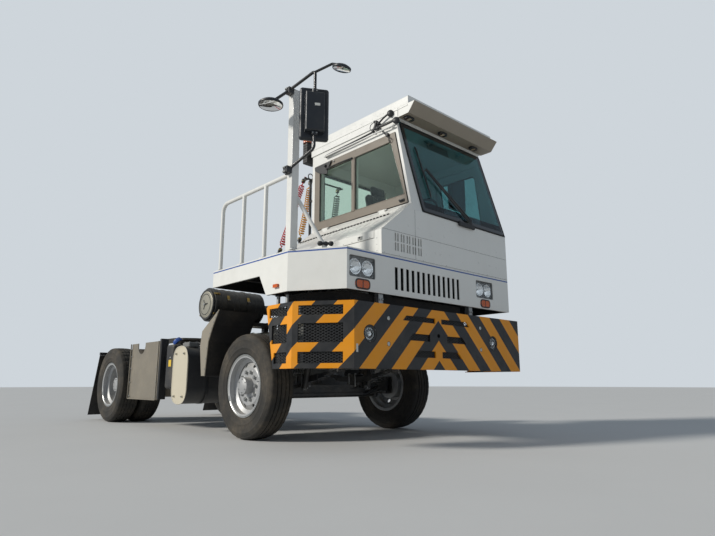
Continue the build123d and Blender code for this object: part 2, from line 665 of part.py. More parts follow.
for level in STEP_Z:
    bumper -= box(STEP_X, (BUMPER_SIDE_Y - 40.0, BUMPER_SIDE_Y + 1.0), (level, level + STEP_HIGH))
    tread = box(
        (STEP_X[0] - 20.0, STEP_X[1] + 20.0),
        (BUMPER_SIDE_Y - 240.0, BUMPER_SIDE_Y - BUMPER_SKIN + 1.0),
        (level - 14.0, level - 2.0),
    )
    riser = box(
        (STEP_X[0] - 20.0, STEP_X[1] + 20.0),
        (BUMPER_SIDE_Y - 252.0, BUMPER_SIDE_Y - 240.0),
        (level - 14.0, level + STEP_HIGH + 20.0),
    )
    bumper += tread + riser
MOUNT_Y = 435.0
for side in (1, -1):
    arm = box(
        (RAIL_FRONT_X + GAP, HALF_LENGTH - BUMPER_SKIN + 1.0),
        (MOUNT_Y * side - 20.0, MOUNT_Y * side + 20.0),
        (800.0, 915.0),
    )
    bumper += arm
save("front_bumper", bumper)
save("bumper_mesh", *mesh_panels)

# Platform: skirt, deck and the legs that carry it from the rails
GRILLE_SLOTS = 13
GRILLE_LEFT = -504.0
GRILLE_RIGHT = 460.0
GRILLE_SLOT_W = 40.0
GRILLE_Z = (1391.0, 1602.0)
LAMP_Y = 912.0
LAMP_Z = 1544.0
LAMP_W = 310.0
LAMP_H = 188.0
SIGNAL_Z = 1393.0
SIGNAL_W = 176.0
SIGNAL_H = 92.0

body_plan = [
    (BODY_REAR_X, -BODY_SIDE_Y),
    (CORNER_X, -BODY_SIDE_Y),
    (BODY_FRONT_X, -CORNER_Y),
    (BODY_FRONT_X, BODY_SIDE_Y),
    (BODY_REAR_X, BODY_SIDE_Y),
]
platform = shell(body_plan, SKIRT, (BODY_BOTTOM, DECK_Z - 1.0), False)
platform += prism_z(body_plan, (DECK_Z - SKIRT, DECK_Z))
arch = [
    (BODY_REAR_X - 1.0, BODY_BOTTOM - 1.0),
    (ARCH_LOW_X, BODY_BOTTOM - 1.0),
    (ARCH_HIGH_X, ARCH_Z),
    (BODY_REAR_X - 1.0, ARCH_Z),
]
platform -= prism_y(arch, (-BODY_SIDE_Y - 1.0, BODY_SIDE_Y + 1.0))
skirt_cut = (BODY_FRONT_X - 60.0, BODY_FRONT_X + 1.0)
pitch = (GRILLE_RIGHT - GRILLE_LEFT - GRILLE_SLOT_W) / (GRILLE_SLOTS - 1)
for k in range(GRILLE_SLOTS):
    left = GRILLE_LEFT + k * pitch
    platform -= box(skirt_cut, (left, left + GRILLE_SLOT_W), GRILLE_Z)
for side in (1, -1):
    lamp_y = LAMP_Y * side
    hole = box(
        skirt_cut,
        (lamp_y - LAMP_W / 2, lamp_y + LAMP_W / 2),
        (LAMP_Z - LAMP_H / 2, LAMP_Z + LAMP_H / 2),
    )
    platform -= fillet(hole.edges().filter_by(Axis.X), 18.0)
    signal = box(
        skirt_cut,
        (lamp_y - SIGNAL_W / 2, lamp_y + SIGNAL_W / 2),
        (SIGNAL_Z - SIGNAL_H / 2, SIGNAL_Z + SIGNAL_H / 2),
    )
    platform -= fillet(signal.edges().filter_by(Axis.X), SIGNAL_H / 2 - 4.0)
LEG_X = (1500.0, BODY_FRONT_X - 167.0)
CARRIER_H = 110.0
for x in LEG_X:
    carrier = box(
        (x - 40.0, x + 40.0),
        (-BODY_SIDE_Y + SKIRT - 1.0, BODY_SIDE_Y - SKIRT + 1.0),
        (DECK_Z - SKIRT - CARRIER_H, DECK_Z - SKIRT + 1.0),
    )
    if x < ENGINE_FRONT_X:
        carrier -= box((x - 60.0, x + 60.0), (-ENGINE_HALF_Y - 40.0, ENGINE_HALF_Y + 40.0), (1000.0, 1640.0))
    carrier &= prism_z(body_plan, (BODY_BOTTOM, DECK_Z))
    platform += carrier
    for side in (1, -1):
        leg = box(
            (x - 40.0, x + 40.0),
            tuple(sorted((side * (RAIL_OUT_Y - RAIL_FLANGE), side * RAIL_OUT_Y))),
            (RAIL_TOP + GAP if x < RAIL_FRONT_X else BUMPER_TOP + GAP, DECK_Z - SKIRT - CARRIER_H + 1.0),
        )
        platform += leg
save("platform", platform)

# Cab shell. Its section narrows above the sill on the left and leans back at the windscreen.
cab_side = [
    (CAB_REAR_X, DECK_Z + GAP),
    (BODY_FRONT_X, DECK_Z + GAP),
    (BODY_FRONT_X, SILL_Z),
    (HEAD_X, HEAD_Z),
    (CAB_REAR_X, HEAD_Z),
]
cab_front = [
    (CAB_RIGHT_Y, DECK_Z + GAP),
    (CAB_LEFT_Y, DECK_Z + GAP),
    (CAB_LEFT_Y, SILL_Z),
    (CAB_ROOF_LEFT_Y, HEAD_Z),
    (CAB_RIGHT_Y, HEAD_Z),
]
screen_lean = (BODY_FRONT_X - HEAD_X) / (HEAD_Z - SILL_Z)
wall_lean = (CAB_LEFT_Y - CAB_ROOF_LEFT_Y) / (HEAD_Z - SILL_Z)


def screen_x(z):
    """The windscreen plane's x at a height."""
    return BODY_FRONT_X - max(0.0, z - SILL_Z) * screen_lean


def left_y(z):
    """The left wall's outer y at a height."""
    return CAB_LEFT_Y - max(0.0, z - SILL_Z) * wall_lean


def cab_prism(t):
    """The cab's block with every side set in by t."""
    side_face = make_face(Polyline(*cab_side, close=True))
    front_face = make_face(Polyline(*cab_front, close=True))
    if t:
        side_face = offset(side_face, -t)
        front_face = offset(front_face, -t)
    along_y = extrude(Plane((0, 0, 0), x_dir=(1, 0, 0), z_dir=(0, -1, 0)) * side_face, 4000.0, both=True)
    along_x = extrude(Plane((0, 0, 0), x_dir=(0, 1, 0), z_dir=(1, 0, 0)) * front_face, 4000.0, both=True)
    return along_y & along_x


cab = cab_prism(0.0) - cab_prism(CAB_WALL)
cab += prism_x(
    [
        (CAB_RIGHT_Y + 1.0, DECK_Z + GAP),
        (HOUSING_Y, DECK_Z + GAP),
        (HOUSING_Y, HOUSING_FOLD_Z),
        (CAB_RIGHT_Y, HOUSING_TOP_Z),
        (CAB_RIGHT_Y + 1.0, HOUSING_TOP_Z),
    ],
    (BODY_FRONT_X - CAB_WALL, BODY_FRONT_X),
)
VENT_ROWS = ((1761.0, 1838.0), (1853.0, 1930.0))
VENT_PAIRS = 5
VENT_LEFT = -499.0
VENT_PITCH = 82.0
VENT_W = 18.0
VENT_GAP = 34.0
for low, high in VENT_ROWS:
    for k in range(VENT_PAIRS):
        for half in (0.0, VENT_GAP):
            left = VENT_LEFT + k * VENT_PITCH + half
            cab -= box((BODY_FRONT_X - 60.0, BODY_FRONT_X + 1.0), (left, left + VENT_W), (low, high))

# Openings: windscreen, right window, rear window, and the doorway on the left
SCREEN_EDGE = 75.0
SCREEN_LOW = SILL_Z + 60.0
SCREEN_HIGH = HEAD_Z - 70.0
screen_hole = [
    (CAB_RIGHT_Y + 150.0, SCREEN_LOW),
    (left_y(SCREEN_LOW) - SCREEN_EDGE, SCREEN_LOW),
    (left_y(SCREEN_HIGH) - SCREEN_EDGE, SCREEN_HIGH),
    (CAB_RIGHT_Y + SCREEN_EDGE, SCREEN_HIGH),
]
cab -= prism_x(screen_hole, (HEAD_X - 80.0, BODY_FRONT_X + 1.0))
WINDOW_REAR_X = 1330.0
WINDOW_TOP_Z = HEAD_Z - 150.0
WINDOW_LOW_Z = 2300.0
WINDOW_TOP_X = HEAD_X - 13.0
WINDOW_LOW_X = BODY_FRONT_X - 52.0
FRAME_T = 12.0
side_window = [
    (WINDOW_REAR_X, WINDOW_LOW_Z),
    (WINDOW_LOW_X, WINDOW_LOW_Z),
    (WINDOW_TOP_X, WINDOW_TOP_Z),
    (WINDOW_REAR_X, WINDOW_TOP_Z),
]
PANE_LOW_Z = WINDOW_LOW_Z + 92.0
PANE_TOP_Z = WINDOW_TOP_Z - 88.0
PANE_SPLIT_X = 1990.0
PANES = [
    # outline of each pane in (x, z)
    [
        (WINDOW_REAR_X + 90.0, PANE_LOW_Z),
        (PANE_SPLIT_X, PANE_LOW_Z),
        (PANE_SPLIT_X, PANE_TOP_Z),
        (WINDOW_REAR_X + 90.0, PANE_TOP_Z),
    ],
    [
        (PANE_SPLIT_X + 50.0, PANE_LOW_Z),
        (WINDOW_LOW_X - 40.0, PANE_LOW_Z),
        (WINDOW_TOP_X - 58.0, PANE_TOP_Z),
        (PANE_SPLIT_X + 50.0, PANE_TOP_Z),
    ],
]
for pane in PANES:
    cab -= prism_y(pane, (CAB_RIGHT_Y - 1.0, CAB_RIGHT_Y + CAB_WALL + 1.0))
REAR_WINDOW = [(-90.0, 2300.0), (1080.0, 2300.0), (1000.0, HEAD_Z - 170.0), (-90.0, HEAD_Z - 170.0)]
cab -= prism_x(REAR_WINDOW, (CAB_REAR_X - 1.0, CAB_REAR_X + CAB_WALL + 1.0))
DOOR_X = (BODY_FRONT_X - 907.0, BODY_FRONT_X - 247.0)
DOOR_Z = (1800.0, HEAD_Z - 130.0)
DOOR_LAP = 28.0
DOOR_T = 34.0
cab -= box(DOOR_X, (CAB_ROOF_LEFT_Y - 120.0, CAB_LEFT_Y + 10.0), DOOR_Z)
DOOR_CLEAR = 6.0
RAIL_FROM_X = 1300.0
RAIL_TO_X = BODY_FRONT_X - 207.0
TOP_RAIL_Z = (HEAD_Z - 100.0, HEAD_Z - 78.0)
LOW_RAIL_Z = (1738.0, 1758.0)
door_rail = [
    (left_y(TOP_RAIL_Z[0]) - 1.0, TOP_RAIL_Z[0]),
    (left_y(TOP_RAIL_Z[0]) + 25.0, TOP_RAIL_Z[0]),
    (left_y(TOP_RAIL_Z[0]) + 25.0, TOP_RAIL_Z[1]),
    (left_y(TOP_RAIL_Z[1]) - 1.0, TOP_RAIL_Z[1]),
]
cab += prism_x(door_rail, (RAIL_FROM_X, RAIL_TO_X))
cab += box((RAIL_FROM_X, RAIL_TO_X), (CAB_LEFT_Y - 1.0, CAB_LEFT_Y + 24.0), LOW_RAIL_Z)
save("cab_shell", cab)

# Grey window frame and all the fixed glass
GLASS_T = 6.0
frame_y = (CAB_RIGHT_Y - GAP - FRAME_T, CAB_RIGHT_Y - GAP)
window_frame = prism_y(side_window, frame_y)
for pane in PANES:
    window_frame -= prism_y(pane, (frame_y[0] - 1.0, frame_y[1] + 1.0))
save("window_frame", window_frame)

side_glass = []
for pane in PANES:
    side_glass.append(prism_y(pane, (CAB_RIGHT_Y + 6.0, CAB_RIGHT_Y + 6.0 + GLASS_T)))
SCREEN_OUT = 1.0
screen_outline = [
    (CAB_RIGHT_Y + 150.0 - 6.0, SILL_Z + 2.0),
    (CAB_LEFT_Y - 4.0, SILL_Z + 2.0),
    (left_y(HEAD_Z - 22.0) - 4.0, HEAD_Z - 22.0),
    (CAB_RIGHT_Y + 28.0, HEAD_Z - 22.0),
]
slab_points = [
    (BODY_FRONT_X + SCREEN_OUT, SILL_Z),
    (BODY_FRONT_X + SCREEN_OUT + GLASS_T, SILL_Z),
    (HEAD_X + SCREEN_OUT + GLASS_T, HEAD_Z),
    (HEAD_X + SCREEN_OUT, HEAD_Z),
]
screen = prism_y(slab_points, (CAB_RIGHT_Y - 50.0, CAB_LEFT_Y + 50.0)) & prism_x(
    screen_outline, (HEAD_X - 50.0, BODY_FRONT_X + 50.0)
)
rear_glass = prism_x(REAR_WINDOW, (CAB_REAR_X + 6.0, CAB_REAR_X + 6.0 + GLASS_T))
save("cab_glass", screen, rear_glass, *side_glass)

# Roof with its upright front, and the visor tray below and ahead of it
ROOF_REAR_X = 1255.0
VISOR_REAR_X = HEAD_X + 37.0
ROOF_FRONT_X = BODY_FRONT_X - 22.0
BROW_Z = ROOF_TOP - 88.0
ROOF_Y = (CAB_RIGHT_Y - 12.0, CAB_ROOF_LEFT_Y + 12.0)
ROOF_EDGE = 12.0
roof_outline = [
    (ROOF_REAR_X, HEAD_Z + GAP),
    (VISOR_REAR_X, HEAD_Z + GAP),
    (VISOR_REAR_X, BROW_Z),
    (ROOF_FRONT_X, BROW_Z),
    (ROOF_FRONT_X, ROOF_TOP),
    (ROOF_REAR_X, ROOF_TOP),
]
roof = prism_y(roof_outline, ROOF_Y)
top_edges = roof.edges().group_by(Axis.Z)[-1]
roof_edges = top_edges.filter_by(Axis.X) + top_edges.filter_by(Axis.Y).sort_by(Axis.X)[:1]
save("cab_roof", fillet(roof_edges, ROOF_EDGE))

VISOR_TIP_X = BODY_FRONT_X + 65.0
VISOR_SKIN = 8.0
visor_outline = [
    (VISOR_REAR_X + GAP, HEAD_Z - 5.0),
    (ROOF_FRONT_X + 1.0, HEAD_Z - 4.0),
    (VISOR_TIP_X, BROW_Z - 4.0),
    (ROOF_FRONT_X + 1.0, BROW_Z - GAP),
    (VISOR_REAR_X + GAP, BROW_Z - GAP),
]
tray = [
    (ROOF_FRONT_X + VISOR_SKIN, BROW_Z + 1.0),
    (ROOF_FRONT_X + VISOR_SKIN, HEAD_Z + 12.0),
    (VISOR_TIP_X - VISOR_SKIN, BROW_Z - 4.0),
    (VISOR_TIP_X - VISOR_SKIN, BROW_Z + 1.0),
]
visor = prism_y(visor_outline, ROOF_Y)
visor -= prism_y(tray, (ROOF_Y[0] + VISOR_SKIN, ROOF_Y[1] - VISOR_SKIN))
save("sun_visor", visor)

# Housing on the right of the cab, and the lid over it
HOUSING_FRONT_X = BODY_FRONT_X - CAB_WALL - GAP
COVER_REAR_X = 1306.0
COVER_SEAM = 6.0
COVER_TOP_Y = -270.0
HINGE_Y = -271.0
HINGE_Z = 2282.0
HINGE_PIN_R = 5.0
KNUCKLE_R = 9.5
HINGES = (COVER_REAR_X + 254.0, COVER_FRONT_X - 287.0)
slope_rise = (HOUSING_TOP_Z - HOUSING_FOLD_Z) / (CAB_RIGHT_Y - HOUSING_Y)
slope_angle = math.atan(slope_rise)


def slope_z(y):
    """The sloping panel's outer height at y."""
    return HOUSING_FOLD_Z + (y - HOUSING_Y) * slope_rise


def sunk(y, t):
    """The point t below the sloping panel's outer point at y."""
    return (y + t * math.sin(slope_angle), slope_z(y) - t * math.cos(slope_angle))


skin_drop = HOUSING_SKIN / math.cos(slope_angle)
fold_inner = (HOUSING_Y + HOUSING_SKIN, slope_z(HOUSING_Y + HOUSING_SKIN) - skin_drop)
housing_outer = [
    (CAB_RIGHT_Y - GAP, DECK_Z + GAP),
    (HOUSING_Y, DECK_Z + GAP),
    (HOUSING_Y, HOUSING_FOLD_Z),
    (CAB_RIGHT_Y - GAP, slope_z(CAB_RIGHT_Y - GAP)),
]
back_wall_y = CAB_RIGHT_Y - GAP - 9.5
housing_inner = [
    (back_wall_y, DECK_Z - 1.0),
    (HOUSING_Y + HOUSING_SKIN, DECK_Z - 1.0),
    fold_inner,
    (back_wall_y, slope_z(back_wall_y) - skin_drop),
]
housing = prism_x(housing_outer, (CAB_REAR_X, HOUSING_FRONT_X))
housing -= prism_x(housing_inner, (CAB_REAR_X + HOUSING_SKIN, HOUSING_FRONT_X - HOUSING_SKIN))
seam_y = COVER_TOP_Y + COVER_SEAM
lid_cut = [
    (HOUSING_Y - 1.0, COVER_LOW_Z - COVER_SEAM),
    (HOUSING_Y + HOUSING_SKIN + 1.0, COVER_LOW_Z - COVER_SEAM),
    (HOUSING_Y + HOUSING_SKIN + 1.0, fold_inner[1] - 1.0),
    sunk(seam_y, HOUSING_SKIN + 1.0),
    sunk(seam_y, -2.0),
    sunk(HOUSING_Y - 1.0, -2.0),
]
housing -= prism_x(lid_cut, (COVER_REAR_X - COVER_SEAM, COVER_FRONT_X + COVER_SEAM))
LEDGE = 18.0
for ledge_x in (
    (CAB_REAR_X + HOUSING_SKIN - 1.0, COVER_REAR_X + LEDGE),
    (COVER_FRONT_X - LEDGE, HOUSING_FRONT_X - HOUSING_SKIN + 1.0),
):
    ledge = [
        (HOUSING_Y + HOUSING_SKIN + GAP, DECK_Z + 60.0),
        (HOUSING_Y + HOUSING_SKIN + 8.0, DECK_Z + 60.0),
        (HOUSING_Y + HOUSING_SKIN + 8.0, fold_inner[1] - 8.0),
        sunk(COVER_TOP_Y - 10.0, HOUSING_SKIN + 8.0),
        sunk(COVER_TOP_Y - 10.0, HOUSING_SKIN + GAP),
        (HOUSING_Y + HOUSING_SKIN + GAP, fold_inner[1] - GAP),
    ]
    housing += prism_x(ledge, ledge_x)
housing += box(
    (COVER_REAR_X - 20.0, COVER_FRONT_X + 20.0),
    (HOUSING_Y + HOUSING_SKIN - 1.0, HOUSING_Y + HOUSING_SKIN + 8.0),
    (COVER_LOW_Z - 40.0, COVER_LOW_Z - COVER_SEAM),
)
cover = prism_x(
    [
        (HOUSING_Y, COVER_LOW_Z),
        (HOUSING_Y + HOUSING_SKIN, COVER_LOW_Z),
        fold_inner,
        sunk(COVER_TOP_Y, HOUSING_SKIN),
        sunk(COVER_TOP_Y, 0.0),
        (HOUSING_Y, HOUSING_FOLD_Z),
    ],
    (COVER_REAR_X, COVER_FRONT_X),
)
for hinge_x in HINGES:
    housing += rod_x((hinge_x - 58.0, hinge_x + 58.0), HINGE_Y, HINGE_Z, HINGE_PIN_R)
    for end in (-1, 1):
        eye = tuple(sorted((hinge_x + 48.0 * end, hinge_x + 58.0 * end)))
        housing += rod_x(eye, HINGE_Y, HINGE_Z, 8.0)
        housing += box(eye, (HINGE_Y, CAB_RIGHT_Y - GAP), (HINGE_Z - 6.0, HINGE_Z + 8.0))
    span = (hinge_x - 42.0, hinge_x + 42.0)
    cover += rod_x(span, HINGE_Y, HINGE_Z, KNUCKLE_R)
    web = [
        (HINGE_Y - 9.0, HINGE_Z),
        (HINGE_Y - 2.0, HINGE_Z),
        sunk(COVER_TOP_Y - 1.0, 2.0),
        sunk(COVER_TOP_Y - 9.0, 2.0),
    ]
    cover += prism_x(web, span)
    cover -= rod_x((hinge_x - 60.0, hinge_x + 60.0), HINGE_Y, HINGE_Z, HINGE_PIN_R + GAP)
SLOT_ROWS = ((-480.0, 0.0), (-385.0, 60.0))
SLOTS_IN_ROW = 11
SLOT_FIRST_X = 1395.0
SLOT_PITCH = 120.0
for slot_y, shift in SLOT_ROWS:
    for k in range(SLOTS_IN_ROW):
        slot = Rot(math.degrees(slope_angle), 0, 0) * Rot(0, 0, 38) * Box(78.0, 13.0, 80.0)
        cover -= Pos(SLOT_FIRST_X + k * SLOT_PITCH + shift, slot_y, slope_z(slot_y)) * slot
save("side_housing", housing)
save("side_cover", cover)

# Sliding door on the left, hung outside the wall on its two rails
door_x = (DOOR_X[0] - DOOR_LAP, DOOR_X[1] + DOOR_LAP)
DOOR_TOP = TOP_RAIL_Z[0] - 10.0
DOOR_LOW = LOW_RAIL_Z[1] + 12.0
DOOR_WINDOW_Z = (2380.0, HEAD_Z - 210.0)


def leaning(low, high, y_in, y_out):
    """A strip along the left wall between two heights, at set distances from it."""
    points = [(left_y(low) + y_in, low)]
    if low < SILL_Z < high:
        points.append((left_y(SILL_Z) + y_in, SILL_Z))
    points += [(left_y(high) + y_in, high), (left_y(high) + y_out, high)]
    if low < SILL_Z < high:
        points.append((left_y(SILL_Z) + y_out, SILL_Z))
    points.append((left_y(low) + y_out, low))
    return points


door = prism_x(leaning(DOOR_LOW, DOOR_TOP, DOOR_CLEAR, DOOR_CLEAR + DOOR_T), door_x)
door_cut_y = (CAB_ROOF_LEFT_Y - 50.0, CAB_LEFT_Y + 80.0)
door_hole = box((door_x[0] + 80.0, door_x[1] - 80.0), door_cut_y, DOOR_WINDOW_Z)
door -= fillet(door_hole.edges().filter_by(Axis.Y), 60.0)
hanger_y = left_y(TOP_RAIL_Z[0]) + 25.0 + 6.0
for hang_x in (door_x[0] + 90.0, door_x[1] - 90.0):
    plate_x = (hang_x - 30.0, hang_x + 30.0)
    door += box(plate_x, (hanger_y, hanger_y + 9.0), (DOOR_TOP - 12.0, TOP_RAIL_Z[1] + 26.0))
    door += rod_y(hang_x, (hanger_y - 24.0, hanger_y + 2.0), TOP_RAIL_Z[1] + 12.0 + GAP, 12.0)
    guide_y = CAB_LEFT_Y + 24.0 + 6.0
    door += box(plate_x, (guide_y, CAB_LEFT_Y + DOOR_CLEAR + DOOR_T), (LOW_RAIL_Z[0], DOOR_LOW + 1.0))
handle_x = door_x[1] - 40.0
handle_y = CAB_LEFT_Y + DOOR_CLEAR + DOOR_T
door += rod_z(handle_x, handle_y + 24.0, (2010.0, 2190.0), 9.0)
for handle_z in (2025.0, 2175.0):
    door += rod_y(handle_x, (handle_y - 2.0, handle_y + 24.0), handle_z, 7.0)
save("cab_door", door)
pane = prism_x(
    leaning(DOOR_WINDOW_Z[0] - 1.0, DOOR_WINDOW_Z[1] + 1.0, DOOR_CLEAR + 14.0, DOOR_CLEAR + 14.0 + GLASS_T),
    (door_x[0] + 70.0, door_x[1] - 70.0),
)
pane_hole = box(
    (door_x[0] + 80.0 + GAP, door_x[1] - 80.0 - GAP),
    door_cut_y,
    (DOOR_WINDOW_Z[0] + GAP, DOOR_WINDOW_Z[1] - GAP),
)
save("door_glass", pane & fillet(pane_hole.edges().filter_by(Axis.Y), 60.0 - GAP))

# Inside the cab: dashboard with column, steering wheel and seat
FLOOR_Z = DECK_Z + GAP + CAB_WALL
SEAT_Y = 570.0
WHEEL_CENTRE = (BODY_FRONT_X - 597.0, SEAT_Y, 2470.0)
COLUMN_TILT = 37.0
SEAT_X = (BODY_FRONT_X - 1167.0, BODY_FRONT_X - 637.0)
DASH_X = (BODY_FRONT_X - 327.0, BODY_FRONT_X - 67.0)
DASH_Z = 2050.0
CUSHION_Z = (2110.0, 2230.0)
dash = box((DASH_X[0] + 60.0, DASH_X[1]), (SEAT_Y - 330.0, SEAT_Y + 330.0), (FLOOR_Z + GAP, DASH_Z + 10.0))
dash_outline = [
    (DASH_X[0], DASH_Z),
    (DASH_X[1], DASH_Z),
    (DASH_X[1], DASH_Z + 190.0),
    (DASH_X[0] + 160.0, DASH_Z + 238.0),
    (DASH_X[0] + 20.0, DASH_Z + 220.0),
]
dash += prism_y(dash_outline, (-150.0, 1280.0))
column_dir = Vector(-math.sin(math.radians(COLUMN_TILT)), 0, math.cos(math.radians(COLUMN_TILT)))
column_low = Vector(*WHEEL_CENTRE) - column_dir * 470.0
column_high = Vector(*WHEEL_CENTRE) - column_dir * (40.0 + GAP)
dash += straight_tube(tuple(column_low), tuple(column_high), 32.0)
save("dashboard", dash)
wheel_plane = Plane(origin=WHEEL_CENTRE, z_dir=tuple(column_dir))
STEER_R = 215.0
steering = Part() + wheel_plane * Torus(STEER_R, 15.0)
steering += wheel_plane * Pos(0, 0, -10.0) * Cylinder(46.0, 60.0)
for k in range(3):
    spoke = Pos(STEER_R / 2, 0, 0) * Box(STEER_R, 26.0, 10.0)
    steering += wheel_plane * Rot(0, 0, 120.0 * k + 90.0) * spoke
save("steering_wheel", steering)
SEAT_MID_X = (SEAT_X[0] + SEAT_X[1]) / 2


def seat_tier(half_x, half_y, low, high):
    """One block of the seat's pedestal."""
    return box((SEAT_MID_X - half_x, SEAT_MID_X + half_x), (SEAT_Y - half_y, SEAT_Y + half_y), (low, high))


seat_base = seat_tier(210.0, 210.0, FLOOR_Z + GAP, 1850.0)
seat_base += seat_tier(170.0, 160.0, 1849.0, CUSHION_Z[0] - 49.0)
seat_base += seat_tier(230.0, 230.0, CUSHION_Z[0] - 50.0, CUSHION_Z[0])
save("seat_base", seat_base)
cushion = box(SEAT_X, (SEAT_Y - 260.0, SEAT_Y + 260.0), (CUSHION_Z[0] + GAP, CUSHION_Z[1]))
cushion = fillet(cushion.edges(), 36.0)
BACK_LEAN = 12.0
back = Box(110.0, 500.0, 640.0)
back = fillet(back.edges(), 36.0)
back += fillet((Pos(0, 0, 390.0) * Box(90.0, 270.0, 170.0)).edges(), 30.0)
back_place = Pos(SEAT_X[0] - 50.0, SEAT_Y, CUSHION_Z[1] + 310.5) * Rot(0, -BACK_LEAN, 0)
save("seat_cushions", cushion, back_place * back)

# Lamps
front_lamps = []
for side in (1, -1):
    lamp_y = LAMP_Y * side
    bowl = box(
        (BODY_FRONT_X - 70.0, BODY_FRONT_X - 14.0),
        (lamp_y - LAMP_W / 2 + GAP, lamp_y + LAMP_W / 2 - GAP),
        (LAMP_Z - LAMP_H / 2 + GAP, LAMP_Z + LAMP_H / 2 - GAP),
    )
    bowl = fillet(bowl.edges().filter_by(Axis.X), 18.0 - GAP)
    for place in (-1, 1):
        bowl += rod_x((BODY_FRONT_X - 20.0, BODY_FRONT_X - 5.0), lamp_y + 75.0 * place, LAMP_Z, 66.0)
    front_lamps.append(bowl)
    fog = rod_x((HALF_LENGTH - 70.0, HALF_LENGTH - 9.0), FOG_Y * side, FOG_Z, FOG_HOLE_R - GAP)
    fog += rod_x((HALF_LENGTH - 10.0, HALF_LENGTH - 3.0), FOG_Y * side, FOG_Z, FOG_HOLE_R - 12.0)
    front_lamps.append(fog)
save("front_lamps", *front_lamps)
amber = []
for side in (1, -1):
    oval = box(
        (BODY_FRONT_X - 40.0, BODY_FRONT_X + 6.0),
        (LAMP_Y * side - SIGNAL_W / 2 + GAP, LAMP_Y * side + SIGNAL_W / 2 - GAP),
        (SIGNAL_Z - SIGNAL_H / 2 + GAP, SIGNAL_Z + SIGNAL_H / 2 - GAP),
    )
    amber.append(fillet(oval.edges().filter_by(Axis.X), SIGNAL_H / 2 - 4.0 - GAP))
    marker_y = tuple(sorted((side * (BODY_SIDE_Y + GAP), side * (BODY_SIDE_Y + 22.0))))
    amber.append(box((2208.0, 2274.0), marker_y, (1386.0, 1416.0)))
MARKER_X = BODY_FRONT_X - 92.0
for marker_y in (-161.0, 384.0, 948.0):
    marker_z = (HEAD_Z - 28.0, HEAD_Z - 5.0 - GAP)
    marker = box((MARKER_X - 30.0, MARKER_X + 30.0), (marker_y - 55.0, marker_y + 55.0), marker_z)
    amber.append(fillet(marker.edges().filter_by(Axis.Z), 28.0))
LIGHT_X = (1110.0, 1200.0)
LIGHT_Y = (-280.0, -130.0)
LIGHT_Z = (ROOF_TOP - 240.0, ROOF_TOP + 25.0)
beacon = rod_z(1155.0, -240.0, (LIGHT_Z[1] + GAP, LIGHT_Z[1] + 62.0), 52.0)
amber.append(fillet(beacon.edges().sort_by(Axis.Z)[-1], 20.0))
save("amber_lamps", *amber)
work_light = fillet(box(LIGHT_X, LIGHT_Y, LIGHT_Z).edges(), 12.0)
work_light += box((LIGHT_X[1] - 4.0, ROOF_REAR_X - GAP), (-230.0, -180.0), (ROOF_TOP - 140.0, ROOF_TOP - 100.0))
save("work_light", work_light)
tail_lamps = []
TAIL_X = (-HALF_LENGTH, RAIL_REAR_X - TAIL_PLATE - GAP)
for side in (1, -1):
    across = tuple(sorted((side * 240.0, side * 490.0)))
    lamp = box(TAIL_X, across, (900.0, 1000.0))
    tail_lamps.append(fillet(lamp.edges().filter_by(Axis.X), 20.0))
save("tail_lamps", *tail_lamps)

# Wiper, parked on the windscreen
glass_out = SCREEN_OUT + GLASS_T
WIPER_BASE = (BODY_FRONT_X + 1.6, 672.0, 2265.0)
arm_low = (BODY_FRONT_X + 20.0, 672.0, 2265.0)
arm_high = (screen_x(2725.0) + glass_out + 26.0, 53.0, 2725.0)
blade_a = (screen_x(2962.0) + glass_out + 15.0, -36.0, 2962.0)
blade_b = (screen_x(2419.0) + glass_out + 15.0, 69.0, 2419.0)
blade_mid = tuple((p + q) / 2 for p, q in zip(blade_a, blade_b))
wiper = rod_x((WIPER_BASE[0], BODY_FRONT_X + 32.0), 672.0, 2265.0, 20.0)
wiper += straight_tube(arm_low, arm_high, 8.0)
wiper += straight_tube(arm_high, blade_mid, 7.0)
wiper += straight_tube(blade_a, blade_b, 9.0)
save("wiper", wiper)

# Mirror post on the deck with its brace
POST_X = CORNER_X - 13.0
POST_Y = -1332.0
POST_HALF = 40.0
POST_TOP = ROOF_TOP - 191.0
post = Pos(POST_X, POST_Y, (DECK_Z + GAP + POST_TOP) / 2) * Box(
    2 * POST_HALF, 2 * POST_HALF, POST_TOP - DECK_Z - GAP
)
post = fillet(post.edges().filter_by(Axis.Z), 8.0)
BRACE_X = POST_X + 226.0
BRACE_Y = POST_Y + 212.0
post += straight_tube((POST_X + 10.0, POST_Y + 20.0, 2240.0), (BRACE_X, BRACE_Y, DECK_Z + 16.0), 19.0)
post += rod_z(BRACE_X, BRACE_Y, (DECK_Z + GAP, DECK_Z + 14.0), 46.0)
save("mirror_post", post)


# One bent bar, clamped twice on the post's outer face, carries the three right-hand mirrors
ARM_R = 14.0
CLAMP_Y = POST_Y - POST_HALF - GAP
BAR_X = POST_X + 266.0
BAR_Y = -1300.0
BAR_TOP = POST_TOP + 117.0
bar_low = (POST_X - 6.0, -1402.0, 2440.0)
bar_knee = (BAR_X, BAR_Y, 2604.0)
bar_bend = (BAR_X, BAR_Y, BAR_TOP)
bar_clamp = (BAR_X - 255.0, BAR_Y - 110.0, BAR_TOP - 137.0)
bar_end = (BAR_X - 273.0, -1576.0, BAR_TOP - 300.0)
right_arms = bent_tube([bar_low, bar_knee, bar_bend, bar_clamp, bar_end], [60.0, 20.0, 20.0], ARM_R)
clamp_y = (CLAMP_Y - 54.0, CLAMP_Y)
for clamp_z in (2448.0, bar_clamp[2]):
    right_arms += box((POST_X - 22.0, POST_X + 38.0), clamp_y, (clamp_z - 30.0, clamp_z + 30.0))
DISC_R_BIG = 113.0
DISC_R_SMALL = 86.0
SMALL_TILT = 16.0
